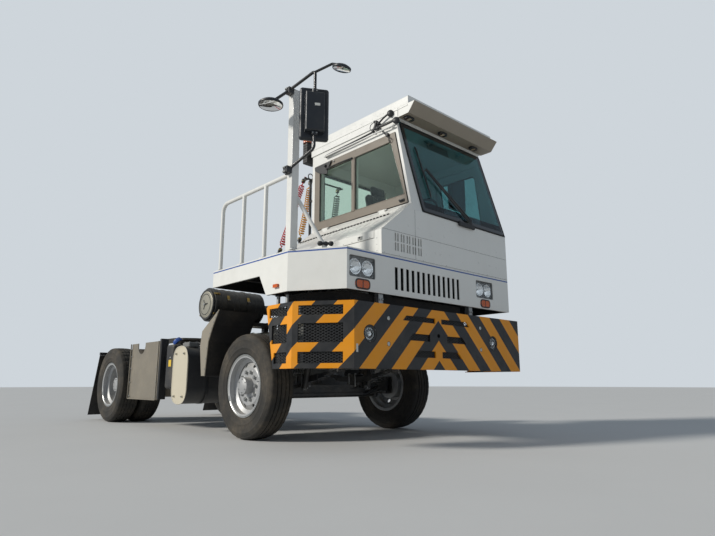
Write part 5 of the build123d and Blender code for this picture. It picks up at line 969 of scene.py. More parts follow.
# Expanded-metal panels behind the bumper's slots
def lattice(build, origin, u_dir, v_dir, width, height, cell_u=44, cell_v=23, strand=6.5, deep=3.6):
    """Diamond mesh over a rectangle; strands are thin bars from node to node."""
    u_dir, v_dir = Vector(u_dir).normalized(), Vector(v_dir).normalized()
    normal = u_dir.cross(v_dir)
    columns, rows = int(width / (cell_u / 2)), int(height / (cell_v / 2))
    du, dv = width / columns, height / rows
    for i in range(columns):
        for j in range(rows + 1):
            if (i + j) % 2:
                continue
            for step in (-1, 1):
                if not 0 <= j + step <= rows:
                    continue
                a = Vector(origin) + u_dir * (i * du) + v_dir * (j * dv)
                b = Vector(origin) + u_dir * ((i + 1) * du) + v_dir * ((j + step) * dv)
                along = (b - a).normalized()
                across = normal.cross(along) * strand / 2
                depth = normal * deep / 2
                verts = [a - across - depth, a + across - depth, a + across + depth, a - across + depth]
                verts += [b - across - depth, b + across - depth, b + across + depth, b - across + depth]
                build.add(verts, [(k, (k + 1) % 4, 4 + (k + 1) % 4, 4 + k) for k in range(4)])


mesh = Build()
BUMPER_ROWS = [(1104, 1152, 45, 472), (930, 994, 125, 395), (782, 842, 50, 325)]
SIDE_ROWS = [(1115, 1196, 2178), (885, 1045, 2222), (715, 808, 2262)]
CORNER_DIR = Vector((431, 316, 0)).normalized()
CORNER_IN = Vector((-CORNER_DIR.y, CORNER_DIR.x, 0))
for (low, high, y_in, y_out), (s_low, s_high, rear_x) in zip(BUMPER_ROWS, SIDE_ROWS):
    lean = (high - low) / 2
    for side in (1, -1):
        start = min(side * (y_in - 14), side * (y_out + lean + 12))
        lattice(mesh, (2933.7, start, low - 11), LEFT, UP, y_out - y_in + lean + 26, high - low + 22)
    lattice(mesh, (rear_x - 8, -1383.7, s_low - 11), AHEAD, UP, 2461 - rear_x + 6, s_high - s_low + 22)
    corner = Vector((2519, -1400, s_low - 11)) + CORNER_DIR * 38 + CORNER_IN * 16.3
    lattice(mesh, corner, CORNER_DIR, UP, 416, s_high - s_low + 22)
mesh.done("bumper_mesh_strands", [steel_black], "black_steel", "chassis", 60, ["bumper_mesh"])

# Bumper: bolts at the carrier arms
trim = Build()
for side in (-1, 1):
    for z in (818, 880):
        trim.bolt((2876, 459 * side, z), (0, side, 0), 19, 8)
trim.done("bumper_bolts", [zinc], "white_paint")

# Front lamps: pocket, reflectors, bulbs and clear lens; round lamps in the bumper
lamps = Build()
for side in (1, -1):
    y0 = LAMP_Y * side
    pocket = rect(y0 - 154.5, 1450.5, y0 + 154.5, 1637.5)
    lamps.ring(pocket, 6, 17, facing_x(2798), 0, 66, 0, 5, 2)
    lamps.plate(rounded(pocket, 17, 5), facing_x(2798), 0, 5)
    for place in (-1, 1):
        c = (2803, y0 + 74 * place, LAMP_Z)
        frame_x = aim(c, AHEAD)
        lamps.spin(
            [
                (0, 2), (18, 3.5), (34, 9), (48, 19), (58, 31), (64, 42), (69, 43), (69, 39), (60, 26), (40, 6),
                (0, -1)
            ],
            frame_x, 40, 1
        )
        lamps.spin([(9, 3), (9, 22), (7, 30), (0, 33)], frame_x, 20, 2)
        lamps.spin([(3, 22), (3.6, 34), (0, 37)], frame_x, 12, 1)
    lamps.slab((2803, 2838), (y0 - 3, y0 + 3), (1462, 1626), 0, 1)
    for corner_y in (-132, 132):
        for corner_z in (-72, 72):
            lamps.rivet((2851, y0 + corner_y, LAMP_Z + corner_z), AHEAD, 5, 3)
    oval = rect(y0 - 87, 1348, y0 + 87, 1438)
    lamps.ring(oval, 12, 42, facing_x(2867), 0, 8.5, 4, 7, 2)
    lamps.slab((2860, 2874.5), (y0 - 4, y0 + 4), (1355, 1431), 4, 1)
    fog = aim((2950, FOG_Y * side, FOG_Z), AHEAD)
    lamps.spin([(75.6, -12), (75.6, -5), (72, -1), (62, -1), (57, -5), (55, -14), (54, -40)], fog, 48, 4)
    lamps.spin([(54, -16), (50, -26), (38, -40), (22, -48), (0, -51)], fog, 40, 1)
    lamps.spin([(75, -12), (75, -70), (0, -70)], fog, 32, 4)
    lamps.spin([(8, -50), (8, -32), (5, -25), (0, -23)], fog, 16, 2)
    for u, v in circle(3, 67, 0.5):
        lamps.rivet((2949, FOG_Y * side + u, FOG_Z + v), AHEAD, 4, 3)
lamps.done(
    "front_lamp_units", [trim_grey, chrome, white_lens, zinc, black_plastic], "lamp_glass", "chassis", 40,
    ["front_lamps"]
)
lens = Build()
for side in (1, -1):
    y0 = LAMP_Y * side
    outline = rect(y0 - 146, 1458, y0 + 146, 1630)
    lens.plate(rounded(outline, 14, 5), facing_x(2847), 0, 5, 0, 1.5)
    fog = aim((2950, FOG_Y * side, FOG_Z), AHEAD)
    lens.spin(
        [(55, -12), (50, -7.5), (36, -3.5), (18, -1.6), (0, -1), (0, -4.5), (18, -5), (36, -7), (49, -11), (54, -15)],
        fog, 40
    )
lens.done("front_lamp_lenses", [lens_glass], "lamp_glass", "chassis", 40)

# Front: brackets up to the body, posts of the step, radiator screen behind the grille slots
front = Build()
for y in (-670, 670):
    front.slab((2836, 2846), (y - 34, y + 34), (1232, 1336.5), 1)
    front.slab((2796, 2846), (y - 34, y - 26), (1232, 1336.5), 1)
    front.slab((2796, 2846), (y + 26, y + 34), (1232, 1336.5), 1)
    for dy in (-16, 16):
        front.bolt((2846, y + dy, 1286), AHEAD, 17, 8, 1)
for x in (2150, 2292):
    front.rod((x, -1290, 1231.5), (x, -1290, 1336.5), 17, 20, 1)
    front.rod((x, -1290, 1231.5), (x, -1290, 1243), 30, 20, 2)
    front.rod((x, -1290, 1325), (x, -1290, 1336.5), 30, 20, 2)
front.slab((2792, 2800), (-560, 516), (1368, 1630), 2)
for k in range(34):
    z = 1378 + k * 7.4
    front.slab((2800, 2809), (-552, 508), (z, z + 3), 2, 0.6)
front.slab((2560, 2566), (-360, 360), (1050, 1560), 2)
front.done("front_brackets", [white_plastic, zinc, black_plastic], "black_plastic")

# Windows: rubber seals, black glass borders and the door's handle plate
seals = Build()
screen = [(-94, 2220), (1369, 2220), (left_y(3226) - 6, 3226), (-210, 3226)]
seals.ring(screen, 15, 46, on_screen, -1, 4, 0, 6, 2)
seals.ring(inset(screen, 13), 40, 38, on_screen, -0.5, 0.9, 1, 6, 0.2)
PANES = [
    rect(1420, 2392, 1990, 3012),
    [(2040, 2392), (2775, 2392), (2592, 3012), (2040, 3012)],
]
for pane in PANES:
    seals.ring(inset(pane, -4), 8, 26, on_right, 8, 15, 2, 5, 2)
    seals.ring(inset(pane, 3), 5, 18, on_right, -5.8, 1, 0, 5, 1)
window_edge = [(1330, 2300), (2815, 2300), (2650, 3100), (1330, 3100)]
seals.ring(inset(window_edge, -5), 9, 14, on_right, 0.4, 8, 0, 4, 3)
rear_pane = [(-90, 2300), (1080, 2300), (1000, 3080), (-90, 3080)]
seals.ring(inset(rear_pane, -13), 24, 40, facing_back(CAB_REAR_X), 0, 9, 0, 5, 4)
seals.ring(inset(rear_pane, 10), 30, 30, facing_back(CAB_REAR_X + 6), -0.2, 0.8, 1, 5, 0.2)
door_pane = rect(2014, 2382, 2566, 3036)
seals.done("window_seals", [seal_rubber, frit, grey_frame], "black_plastic", "chassis", 50)
door_seal = Build()
door_seal.ring(inset(door_pane, -12), 20, 66, on_left, 38, 45, 0, 8, 3)
door_seal.ring(inset(door_pane, 2), 16, 56, on_left, 26.5, 28.5, 0, 8, 0.5)
for z0, z1 in ((1776, 1786), (3134, 3139)):
    y = on_left(1940, z0, 41).y
    door_seal.slab((1940, 2640), (y - 3, y + 2), (z0, z1), 0, 1.5)
door_seal.brick(shift(2608, 1417.5, 2100), (62, 5, 210), 1)
door_seal.rod((2598, 1414, 1955), (2598, 1423, 1955), 14, 24, 2)
door_seal.slab((2590, 2606), (1421, 1425), (1953.5, 1956.5), 0, 0.5)
for x in (1964, 2012, 2568, 2616):
    for z in (1820, 2320):
        door_seal.rivet(on_left(x, z, 40), on_left(x, z, 41) - on_left(x, z, 40), 5, 1)
door_seal.done("door_trim", [seal_rubber, black_plastic, bright_steel], "black_plastic", "cab_door", 40)

# Cab's right side: sliding sash, latch, grab rod, wiper drive, cable cluster and rivets
side = Build()
side.slab((1995, 2035), (-259, -252.5), (2386, 3018), 2)
side.slab((1999, 2009), (-262, -258), (2640, 2720), 1, 1.5)
side.brick(shift(2742, -258, 2334), (66, 10, 26), 1, 3)
side.rod((2722, -262, 2334), (2722, -276, 2334), 10, 16, 1)
side.slab((2718, 2768), (-278, -270), (2326, 2338), 1, 3)
for x, z in (
    (1350, 2318), (1700, 2318), (2050, 2318), (2400, 2318), (1350, 3084), (1700, 3084), (2050, 3084), (2400, 3084),
    (1346, 2560), (1346, 2820)
):
    side.rivet((x, -252.2, z), RIGHT, 5, 2)
side.pipe(
    [
        (1569, -243, 3170), (1569, -272, 3168), (1620, -276, 3166), (2570, -276, 3166), (2622, -272, 3166),
        (2622, -243, 3166)
    ],
    8.5, 12, 0, 5
)
for x in (1569, 2622):
    side.rod((x, -240, 3168), (x, -247, 3168), 20)
side.pipe([(1530, -262, 3178), (1760, -262, 3186), (2120, -262, 3194), (2350, -262, 3204)], 10, 10, 1)
for x, z in ((1535, 3178), (1940, 3190), (2345, 3203)):
    side.brick(shift(x, -252, z), (26, 22, 22), 1, 3)
for x, z in ((2604, 3315), (2683, 3207)):
    side.spin([(24, 0), (24, 6), (36, 12), (36, 30), (24, 40), (0, 43)], aim((x, -252, z), (0.5, -1, 0)), 28, 1)
side.pipe([(2440, -280, 3255), (2520, -284, 3290), (2604, -284, 3315)], 10, 10, 1)
side.pipe([(2440, -280, 3215), (2560, -284, 3205), (2683, -284, 3207)], 10, 10, 1)
for x, z, r in ((2383, 3301, 15), (2415, 3217, 22), (2440, 3262, 17), (2352, 3206, 16)):
    side.spin([(r * 0.6, 0), (r * 0.6, 8), (r, 12), (r, 26), (r * 0.6, 32), (0, 33)], aim((x, -254, z), RIGHT), 20, 1)
side.pipe([(2383, -276, 3301), (2330, -282, 3280), (2318, -280, 3236), (2352, -276, 3206)], 4, 8, 1)
side.brick(aim((2392, -268, 3258), RIGHT, (0.35, 0, 0.94)), (104, 30, 32), 1, 5)
side.brick(aim((2472, -268, 3180), RIGHT, (0.65, 0, -0.76)), (182, 14, 16), 1, 4)
side.spin([(22, 0), (22, 18), (16, 26), (0, 27)], aim((2559, -253, 3094), RIGHT), 24, 1)
side.pipe(
    [
        (2559, -268, 3088), (2585, -276, 3058), (2619, -272, 3034), (2606, -268, 3004), (2578, -262, 3020),
        (2572, -258, 3064)
    ],
    4, 8, 1
)
side.plate(
    [(1345, 3084), (1352, 3040), (1453, 2980), (1577, 2942), (1594, 3006), (1655, 3090)], facing_right(-262), 0, 9, 1
)
side.spin([(20, 0), (20, 12), (14, 26), (10, 38), (0, 39)], aim((1556, -258, 3046), RIGHT), 28, 1)
side.pipe([(1576, -282, 3000), (1780, -280, 3006), (2015, -270, 3006)], 9, 8, 1)
for x, z in ((1430, 3070), (1684, 3071), (1559, 2982)):
    side.bolt((x, -260, z), RIGHT, 13, 6, 3)
side.slab((1262, 2840), (-256, -251.5), (3326, 3339))
for k in range(19):
    side.rivet((1300 + k * 85, -252, 3366), RIGHT, 4.5)
side.slab((2700, 2704), (-254.5, -251.5), (3255, 3350), 1, 1)
side.done("cab_side_fittings", [roof_paint, black_plastic, grey_frame, zinc], "black_plastic")

# Roof: rain rail, beacon foot, ribs pressed in the panel, vent and aerial
roof = Build()
for y in (20, 300, 580, 860):
    roof.slab((1420, 2660), (y, y + 90), (ROOF_TOP - 2, ROOF_TOP + 5), 0, 4.5)
roof.slab((1262, 2842), (1212, 1217), (3326, 3339))
roof.spin([(150, 0), (150, 20), (138, 30), (0, 34)], aim((1560, 480, ROOF_TOP), UP), 40)
roof.spin([(158, -1), (158, 6), (152, 9), (149, 6)], aim((1560, 480, ROOF_TOP), UP), 40, 1)
for u, v in circle(8, 155):
    roof.rivet((1560 + u, 480 + v, ROOF_TOP + 7), UP, 4, 1)
roof.rod((1330, 1080, ROOF_TOP), (1330, 1080, ROOF_TOP + 14), 22, 20, 1)
roof.pipe([(1330, 1080, ROOF_TOP + 12), (1324, 1080, 3516)], 2.5, 6, 1, 3)
for k in range(17):
    roof.rivet((2845, -210 + k * 86, 3366), AHEAD, 4.5)
roof.done("roof_fittings", [roof_paint, black_plastic], "white_paint")

# Visor: dark lamp hoods on the underside
visor = Build()
for place in MARKER_LAMPS_Y:
    y = place * 1000
    visor.ring(rect(2743, y - 57, 2807, y + 57), 6, 24, facing_down(3245), 0, 24, 0, 5, 3)
visor.done("marker_hoods", [black_plastic], "amber_lens")

# Windscreen wiper: blade rubber, spine and pivot cap
wiper = Build()
blade_a, blade_b = Vector((screen_x(2962) + 22, -36, 2962)), Vector((screen_x(2419) + 22, 69, 2419))
n_screen = Vector((1, 0, SCREEN_LEAN)).normalized()
mid = (blade_a + blade_b) / 2
wiper.brick(aim(mid - n_screen * 6, n_screen, blade_b - blade_a), ((blade_b - blade_a).length + 24, 5, 14), 0, 1.5)
for t in (0.12, 0.34, 0.66, 0.88):
    at = blade_a.lerp(blade_b, t) + n_screen * 4
    wiper.brick(aim(at, n_screen, blade_b - blade_a), (40, 17, 12), 0, 3)
wiper.spin([(26, 0), (26, 8), (22, 14), (14, 30), (12, 36), (0, 38)], aim((BODY_FRONT_X, 672, 2265), (1, 0, 0.1)), 28)
wiper.pipe([(2884, 672, 2262), (2886, 690, 2240), (2874, 712, 2206)], 4, 8)
arm_high = Vector((screen_x(2725) + 33, 53, 2725))
for dz in (-24, 24):
    wiper.pipe([(2889, 672, 2265 + dz), arm_high + Vector((4, 0, dz * 0.35))], 8, 8, 0, 1, False)
wiper.brick(shift(2886, 610, 2212), (28, 280, 54), 0, 9)
wiper.brick(shift(2889, 672, 2265), (26, 56, 72), 0, 10)
wiper.done("wiper_blade", [black_plastic], "black_plastic")

# Service lid: latches and rivets; panel seams on the cab and housing
lid = Build()
for x in (1500, 2040, 2580):
    lid.brick(shift(x, -678, 1900), (64, 8, 34), 0, 3)
    lid.brick(shift(x, -684, 1904), (22, 12, 16), 1, 3)
for k in range(12):
    lid.rivet((1340 + k * 125, -675, 1880), RIGHT, 4, 1)
lid.done("lid_latches", [bright_steel, black_plastic], "white_paint", "side_cover")
skin = Build()
skin.slab((1272, 2820), (-677, -674), (1712, 1720), 0, 1)
for x in (1290, 2806):
    for z in (1740, 1800, 1860):
        skin.rivet((x, -675, z), RIGHT, 4.5, 1)
for z in (1712, 1946):
    skin.slab((2866.5, 2868.4), (-672, 1372), (z, z + 2), 2, 0.5)
skin.slab((2866.5, 2868.2), (-210, -208), (1716, 2214), 2, 0.5)
for y in (-640, -440, -100, 260, 620, 980, 1330):
    skin.rivet((2867, y, 1722), AHEAD, 4, 1)
hinge_a, hinge_b = Vector((1320, -446, 2127)), Vector((2700, -379, 2181))
hinge_count = 30
for k in range(hinge_count):
    a = hinge_a.lerp(hinge_b, k / hinge_count)
    b = hinge_a.lerp(hinge_b, (k + 0.55) / hinge_count)
    skin.rod(a, b, 9, 8, 2)
skin.done("cab_seams", [white_paint, zinc, seal_rubber], "white_paint")

# Coiled lines behind the cab. Each route is the one that part.py gives its tube.
LINE_X = 1.100
LINE_TOP = 2.970
RED_ROUTE = [(LINE_X, -0.257, LINE_TOP), (LINE_X, -0.385, 2.560), (LINE_X, -0.560, 2.080)]
YELLOW_ROUTE = [(LINE_X, -0.149, LINE_TOP), (LINE_X, -0.192, 2.620), (LINE_X, -0.285, 2.259)]
BLACK_ROUTE = [(LINE_X, 0.0, LINE_TOP), (LINE_X, 0.050, 2.390), (LINE_X, 0.250, 2.390), (LINE_X, 0.300, LINE_TOP)]


def open_spline(name, points, steps):
    """A curve with one NURBS spline of order 3 that reaches both of its end points."""
    curve = bpy.data.curves.new(name, "CURVE")
    curve.dimensions = "3D"
    spline = curve.splines.new("NURBS")
    spline.points.add(len(points) - 1)
    for place, point in zip(spline.points, points):
        place.co = (*point, 1)
    spline.order_u = 3
    spline.use_endpoint_u = True
    spline.resolution_u = steps
    return curve


def centre_line(name, route, steps):
    """The route's smooth line, read back from its NURBS spline."""
    curve = open_spline(name, route, steps)
    guide = bpy.data.objects.new(name, curve)
    scene.collection.objects.link(guide)
    mesh = bpy.data.meshes.new_from_object(guide)
    line = [v.co.copy() for v in mesh.vertices]
    bpy.data.meshes.remove(mesh)
    bpy.data.objects.remove(guide)
    bpy.data.curves.remove(curve)
    return line


def point_along(line, reach):
    """The place and direction at a distance along a line of points."""
    for a, b in zip(line, line[1:]):
        step = (b - a).length
        if reach <= step or b is line[-1]:
            return a + (b - a) * min(reach / step, 1), (b - a).normalized()
        reach -= step


def coiled_line(name, route, coil_r, tube_r, turns, look, node):
    line = centre_line(name + "_guide", route, 40)
    whole = sum((b - a).length for a, b in zip(line, line[1:]))
    tail = 0.030
    per_turn = 16
    count = turns * per_turn
    coil = whole - 2 * tail
    points = [line[0], point_along(line, tail * 0.5)[0]]
    for k in range(count + 1):
        at, ahead = point_along(line, tail + coil * k / count)
        across = Vector(AHEAD)
        up = ahead.cross(across).normalized()
        near_end = min(k, count - k) / per_turn
        radius = coil_r * min(near_end, 1)
        turn = 2 * pi * k / per_turn
        points.append(at + (across * cos(turn) + up * sin(turn)) * radius)
    points += [point_along(line, whole - tail * 0.5)[0], line[-1]]
    curve = open_spline(name, points, 3)
    curve.bevel_depth = tube_r
    curve.bevel_resolution = 2
    curve.use_fill_caps = True
    curve.materials.append(look)
    obj = bpy.data.objects.new(name, curve)
    scene.collection.objects.link(obj)
    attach(obj, "chassis")
    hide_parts(node)
    spots = centre_line(name + "_measure", points, 3)
    return obj


coiled_line("red_coil", RED_ROUTE, 0.0315, 0.0060, 28, red_line, "air_line_red")
coiled_line("yellow_coil", YELLOW_ROUTE, 0.0315, 0.0060, 22, yellow_line, "air_line_yellow")
coiled_line("black_coil", BLACK_ROUTE, 0.0360, 0.0055, 38, black_line, "electric_line_black")
fittings = Build()
for route in (RED_ROUTE, YELLOW_ROUTE, BLACK_ROUTE):
    for end, inner in ((route[0], route[1]), (route[-1], route[-2])):
        out = (Vector(end) - Vector(inner)).normalized()
        start = Vector(end) * 1000 + out * 6
        place = aim(start, out)
        fittings.spin([(24.5, 4), (25.5, 6), (25.5, 14), (24.5, 16), (21, 16), (21, 4)], place, 6, 0, True)
        fittings.spin([(23.5, 24), (24.5, 25), (24.5, 32), (23.5, 33), (21, 33), (21, 24)], place, 24, 1, True)
for y, mat in ((-257, 2), (-149, 3), (0, 1), (300, 1)):
    fittings.brick(shift(1149, y, 3024), (6, 34, 12), mat, 1.5)
for z in (2080, 2720):
    for y in (-196, -184):
        fittings.rivet((1200, y, z + 10), UP, 4)
fittings.done("line_couplings", [brass, black_plastic, red_line, yellow_line], "black_steel")

# Mirror glasses
glass = Build()
big_place = shift(2650, -1300, 2950) @ turned(radians(-31))


def rear_face(y, z, h):
    """A point on the big mirror's recessed rear face, h out of it."""
    return big_place @ Vector((-71.4 - h, y, z))


glass.plate(rounded(rect(-114, -236, 114, 236), 18, 6), rear_face, 0, 3)
glass.spin([(0, -10.2), (104, -10.2), (105, -11.5), (103, -12.4), (0, -12.6)], shift(2371, -1588, 3033), 48)
tilted = shift(2855, -1157, 3358) @ Matrix.Rotation(radians(16), 4, "Y")
glass.spin([(0, -10.2), (77, -10.2), (78, -11.5), (76, -12.4), (0, -12.6)], tilted, 40)
glass.plate(rounded(rect(1420, 2792, 1679, 3198), 20, 6), facing_back(2035.4), 0, 2.4)
glass.done("mirror_glass", [mirror_glass], "chrome_rod")
rims = Build()
rims.spin(
    [
        (113.4, -6), (113.8, -3), (113.8, 5), (112, 8.6), (110.6, 8.6), (110.6, -9), (105, -13), (107, -13.4),
        (112, -10)
    ],
    shift(2371, -1588, 3033), 56, 0, True
)
rims.spin(
    [(86.4, -6), (86.8, -3), (86.8, 5), (85, 8.6), (83.6, 8.6), (83.6, -9), (78.5, -13), (80.5, -13.4), (85, -10)],
    tilted, 48, 0, True
)
rims.ring(rect(-122, -243, 122, 243), 7, 22, rear_face, 3, 7.4, 0, 6, 1.5)
for z in (-206, 206):
    rims.brick(big_place @ shift(6, 0, z), (42, 52, 40), 0, 6)
    for y in (-18, 18):
        rims.bolt(big_place @ Vector((27, y, z)), big_place.to_3x3() @ Vector(AHEAD), 9, 4, 1)
rims.brick(big_place @ shift(46.8, 20, 60), (1.2, 48, 26), 2, 0.3)
rims.ring(rect(1404, 2776, 1695, 3214), 12, 26, facing_back(2036.5), 0, 3.6, 0, 6, 1.5)
for z in (2448, 3229):
    for dz in (-20, 20):
        rims.bolt((2392, -1431, z + dz), RIGHT, 12, 6, 1)
        rims.bolt((2370, -1431, z + dz), RIGHT, 12, 6, 1)
rims.rod((2382, -1402, 2404), (2382, -1402, 2412), 15)
rims.done("mirror_rims", [mirror_plastic, zinc, white_plastic], "black_plastic")

# Post, brace foot, handrail flanges: bolts and cap
posts = Build()
for x, y in ((1100, -1320), (1530, -1320), (1930, -1320)):
    for u, v in circle(4, 38, pi / 4):
        posts.bolt((x + u, y + v, 1714.6), UP, 10, 5)
for (u, v), (wide_u, wide_v) in zip(circle(4, 35, pi / 4), circle(4, 42, pi / 4)):
    posts.bolt((2610 + u, -1120 + v, 1718.6), UP, 10, 5)
    posts.bolt((1165 + wide_u, -190 + wide_v, 1716.6), UP, 10, 5)
posts.slab((2346, 2422), (-1370, -1294), (3249, 3256), 1, 3)
for dx, dy in ((-56, 0), (56, 0), (0, 55)):
    wide = (14, 62) if dx else (62, 14)
    posts.brick(shift(2384 + dx * 0.8, -1332 + dy * 0.8, 1711), (wide[0] + 24, wide[1] + 20, 10), 1)
for x, y in ((2334, -1310), (2334, -1350), (2434, -1310), (2434, -1350)):
    posts.bolt((x, y, 1716), UP, 13, 6)
for z in (2448, 3229):
    posts.slab((2341, 2427), (-1374.6, -1372.2), (z - 34, z + 34), 0, 0.8)
posts.rod((2594, -1172, 1762), (2644, -1086, 1766), 13, 12, 2)
for ball in ((2594, -1172, 1762), (2644, -1086, 1766), (2612, -1122, 1764)):
    posts.spin([(0, -24), (18, -17), (24, 0), (18, 17), (0, 24)], Matrix.Translation(ball), 16, 2)
posts.done("post_fittings", [zinc, post_paint, black_plastic], "white_paint")

# Interior: instruments, vents, column, pedals, mat, console, lining and blind
inside = Build()
pod = aim((2600, SEAT_Y, 2286), (-0.55, 0, 0.84), LEFT)
inside.brick(pod, (420, 150, 70), 0, 26)
inside.brick(pod @ shift(0, 0, 34), (380, 118, 6), 1)
for k, r in ((-125, 44), (0, 50), (125, 44)):
    dial = pod @ shift(k, 0, 37)
    inside.spin([(r, 0), (r, 4), (r - 3, 6), (r - 5, 4), (r - 5, 1), (0, 1)], dial)
    inside.spin([(5, 1), (5, 5), (0, 6)], dial, 12, 2)
    inside.brick(dial @ shift(r * 0.28, r * 0.2, 3), (r * 0.9, 2, 1.2), 3, 0.3)
inside.brick(shift(2622, SEAT_Y, 2312), (120, 450, 14), 0, 6)
for y in (-90, 120, 1000, 1200):
    vent = aim((2544, y, 2160), (-1, 0, 0.05), LEFT)
    inside.brick(vent, (120, 74, 8), 0, 3)
    for k in range(5):
        inside.brick(vent @ shift(0, -24 + 12 * k, 5), (104, 3, 6), 1, 1)
switch = aim((2546, 245, 2210), (-1, 0, 0.05), LEFT)
for k in range(8):
    inside.brick(switch @ shift(-60 + 34 * (k % 4), -34 * (k // 4), 2), (26, 26, 9), 1, 3)
for sign in (-1, 1):
    inside.pipe(
        [(2372, SEAT_Y + 34 * sign, 2332), (2360, SEAT_Y + 120 * sign, 2356), (2352, SEAT_Y + 170 * sign, 2376)], 7,
        10, 1
    )
    inside.spin(
        [(9, -14), (11, 0), (9, 18), (0, 20)], aim((2352, SEAT_Y + 172 * sign, 2376), (-0.1, sign * 0.9, 0.3)), 14, 1
    )
inside.brick(aim((2390, SEAT_Y, 2310), (-0.6018, 0, 0.7986), LEFT), (104, 96, 190), 0, 20)
for y, w in ((420, 62), (560, 74), (720, 74)):
    pedal = aim((2500, y, 1880), (-0.72, 0, 0.69), LEFT)
    inside.brick(pedal, (w, 96, 12), 1, 4)
    for k in range(5):
        inside.brick(pedal @ shift(0, -36 + 18 * k, 7), (w - 8, 5, 4), 1, 1.2)
    inside.pipe([(2506, y, 1872), (2540, y, 1910), (2560, y, 2010)], 8, 8, 2)
inside.slab((1300, 2590), (-220, 1355), (1749.6, 1756), 4)
for k in range(30):
    inside.slab((1760 + k * 26, 1770 + k * 26), (260, 880), (1756, 1759), 4, 1)
inside.slab((1700, 2300), (20, 235), (1757, 2120), 0, 26)
inside.slab((1716, 2284), (34, 221), (2120, 2127), 1, 3)
inside.spin([(40, 0), (34, 14), (20, 40), (11, 80), (9, 120), (0, 122)], aim((2150, 130, 2124), (0.12, 0, 1)), 24, 4)
inside.spin([(12, 0), (22, 10), (26, 30), (22, 48), (0, 56)], aim((2164, 130, 2238), (0.12, 0, 1)), 20, 1)
for x in (1800, 1900, 2000):
    inside.spin([(13, 0), (13, 14), (9, 20), (9, 46), (14, 54), (12, 66), (0, 68)], aim((x, 130, 2126), UP), 16, 1)
inside.slab((1296, 2650), (-215, 1175), (3226, 3238), 5, 5)
inside.brick(aim((2450, 480, 3218), DOWN), (150, 220, 16), 3, 6)
for y in (330, 720):
    inside.rod((2560, y, 3226), (2560, y, 3205), 8, 12, 1)
inside.rod((2560, 320, 3204), (2560, 730, 3204), 7, 12, 1)
inside.brick(aim((2585, 525, 3150), (0.9, 0, 0.3), LEFT), (380, 110, 6), 2, 2.5)
inside.slab((1300, 1312), (-200, 1180), (1760, 2280), 5, 4)
inside.slab((1320, 1660), (1020, 1330), (1757, 2060), 0, 24)
for x in (1712, 1740):
    inside.rod((x, 330, 2092), (x, 810, 2092), 9, 12, 2)
inside.done(
    "cab_interior", [dash_plastic, black_plastic, trim_grey, white_lens, seal_rubber, white_plastic], "black_plastic"
)
grip = Build()
rim_place = aim((2270, SEAT_Y, 2470), (-0.6018, 0, 0.7986))
grip.spin([(44, 18), (47, 22), (47, 28), (38, 33), (0, 35)], rim_place, 36)
grip.spin([(20, 34), (19, 36.5), (0, 37)], rim_place, 24, 1)
for u, v in circle(48, 200.5):
    at = rim_place @ Vector((u, v, 0))
    grip.spin([(2, -1), (2.4, 1), (0, 2)], aim(at, rim_place.translation - at), 6)
grip.done("steering_wheel_trim", [black_plastic, trim_grey], "black_plastic", "steering_wheel")


# Seat cushions: a slightly smaller block swells as cloth, then channels and piping are sewn in
def block_mesh(name, pieces, voxel):
    build = Build()
    for place, size in pieces:
        build.brick(place, size, 0, 30)
    mesh = bpy.data.meshes.new(name)
    mesh.from_pydata([Vector(v) * MM for v in build.verts], [], build.faces)
    obj = bpy.data.objects.new(name, mesh)
    scene.collection.objects.link(obj)
    remesh = obj.modifiers.new("voxels", "REMESH")
    remesh.mode = "VOXEL"
    remesh.voxel_size = voxel
    remesh.use_smooth_shade = True
    bake(obj)
    return obj


def bake(obj):
    """Replaces the object's mesh with the one its modifiers give at this frame."""
    graph = bpy.context.evaluated_depsgraph_get()
    graph.update()
    mesh = bpy.data.meshes.new_from_object(obj.evaluated_get(graph))
    obj.modifiers.clear()
    old = obj.data
    obj.data = mesh
    bpy.data.meshes.remove(old)


def swell(obj, reach):
    """Blows the block up like a filled cover and caps how far each point may move."""
    rest = [v.co.copy() for v in obj.data.vertices]
    cloth = obj.modifiers.new("cover", "CLOTH")
    cloth.settings.quality = 5
    cloth.settings.mass = 0.3
    cloth.settings.tension_stiffness = 15
    cloth.settings.compression_stiffness = 15
    cloth.settings.bending_stiffness = 3
    cloth.settings.use_pressure = True
    cloth.settings.uniform_pressure_force = 4
    cloth.settings.effector_weights.gravity = 0
    for step in range(1, 21):
        scene.frame_set(step)
    bake(obj)
    scene.frame_set(1)
    for v, at in zip(obj.data.vertices, rest):
        move = v.co - at
        if move.length > reach:
            v.co = at + move * (reach / move.length)


def soften(obj, times):
    bm = bmesh.new()
    bm.from_mesh(obj.data)
    for _ in range(times):
        bmesh.ops.smooth_vert(bm, verts=bm.verts[:], factor=0.5, use_axis_x=True, use_axis_y=True, use_axis_z=True)
    bm.to_mesh(obj.data)
    bm.free()


def sew(obj, place, channels, depth, width, face_axis, face_sign):
    """Presses sewn channels into one face: lines where one local coordinate has a given value."""
    back = place.inverted()
    for v in obj.data.vertices:
        local = back @ v.co
        normal = back.to_3x3() @ v.normal
        facing = max(0, normal[face_axis] * face_sign)
        if facing < 0.3:
            continue
        press = max(exp(-(((local[axis] - value) / width) ** 2)) for axis, value in channels)
        v.co -= v.normal * depth * press * facing


def finish_cushion(obj):
    sub = obj.modifiers.new("fine", "SUBSURF")
    sub.levels = 1
    sub.render_levels = 1
    bake(obj)
    obj.data.materials.clear()
    obj.data.materials.append(seat_fabric)
    obj.data.polygons.foreach_set("use_smooth", [True] * len(obj.data.polygons))
    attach(obj, "chassis")
    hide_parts("seat_cushions")


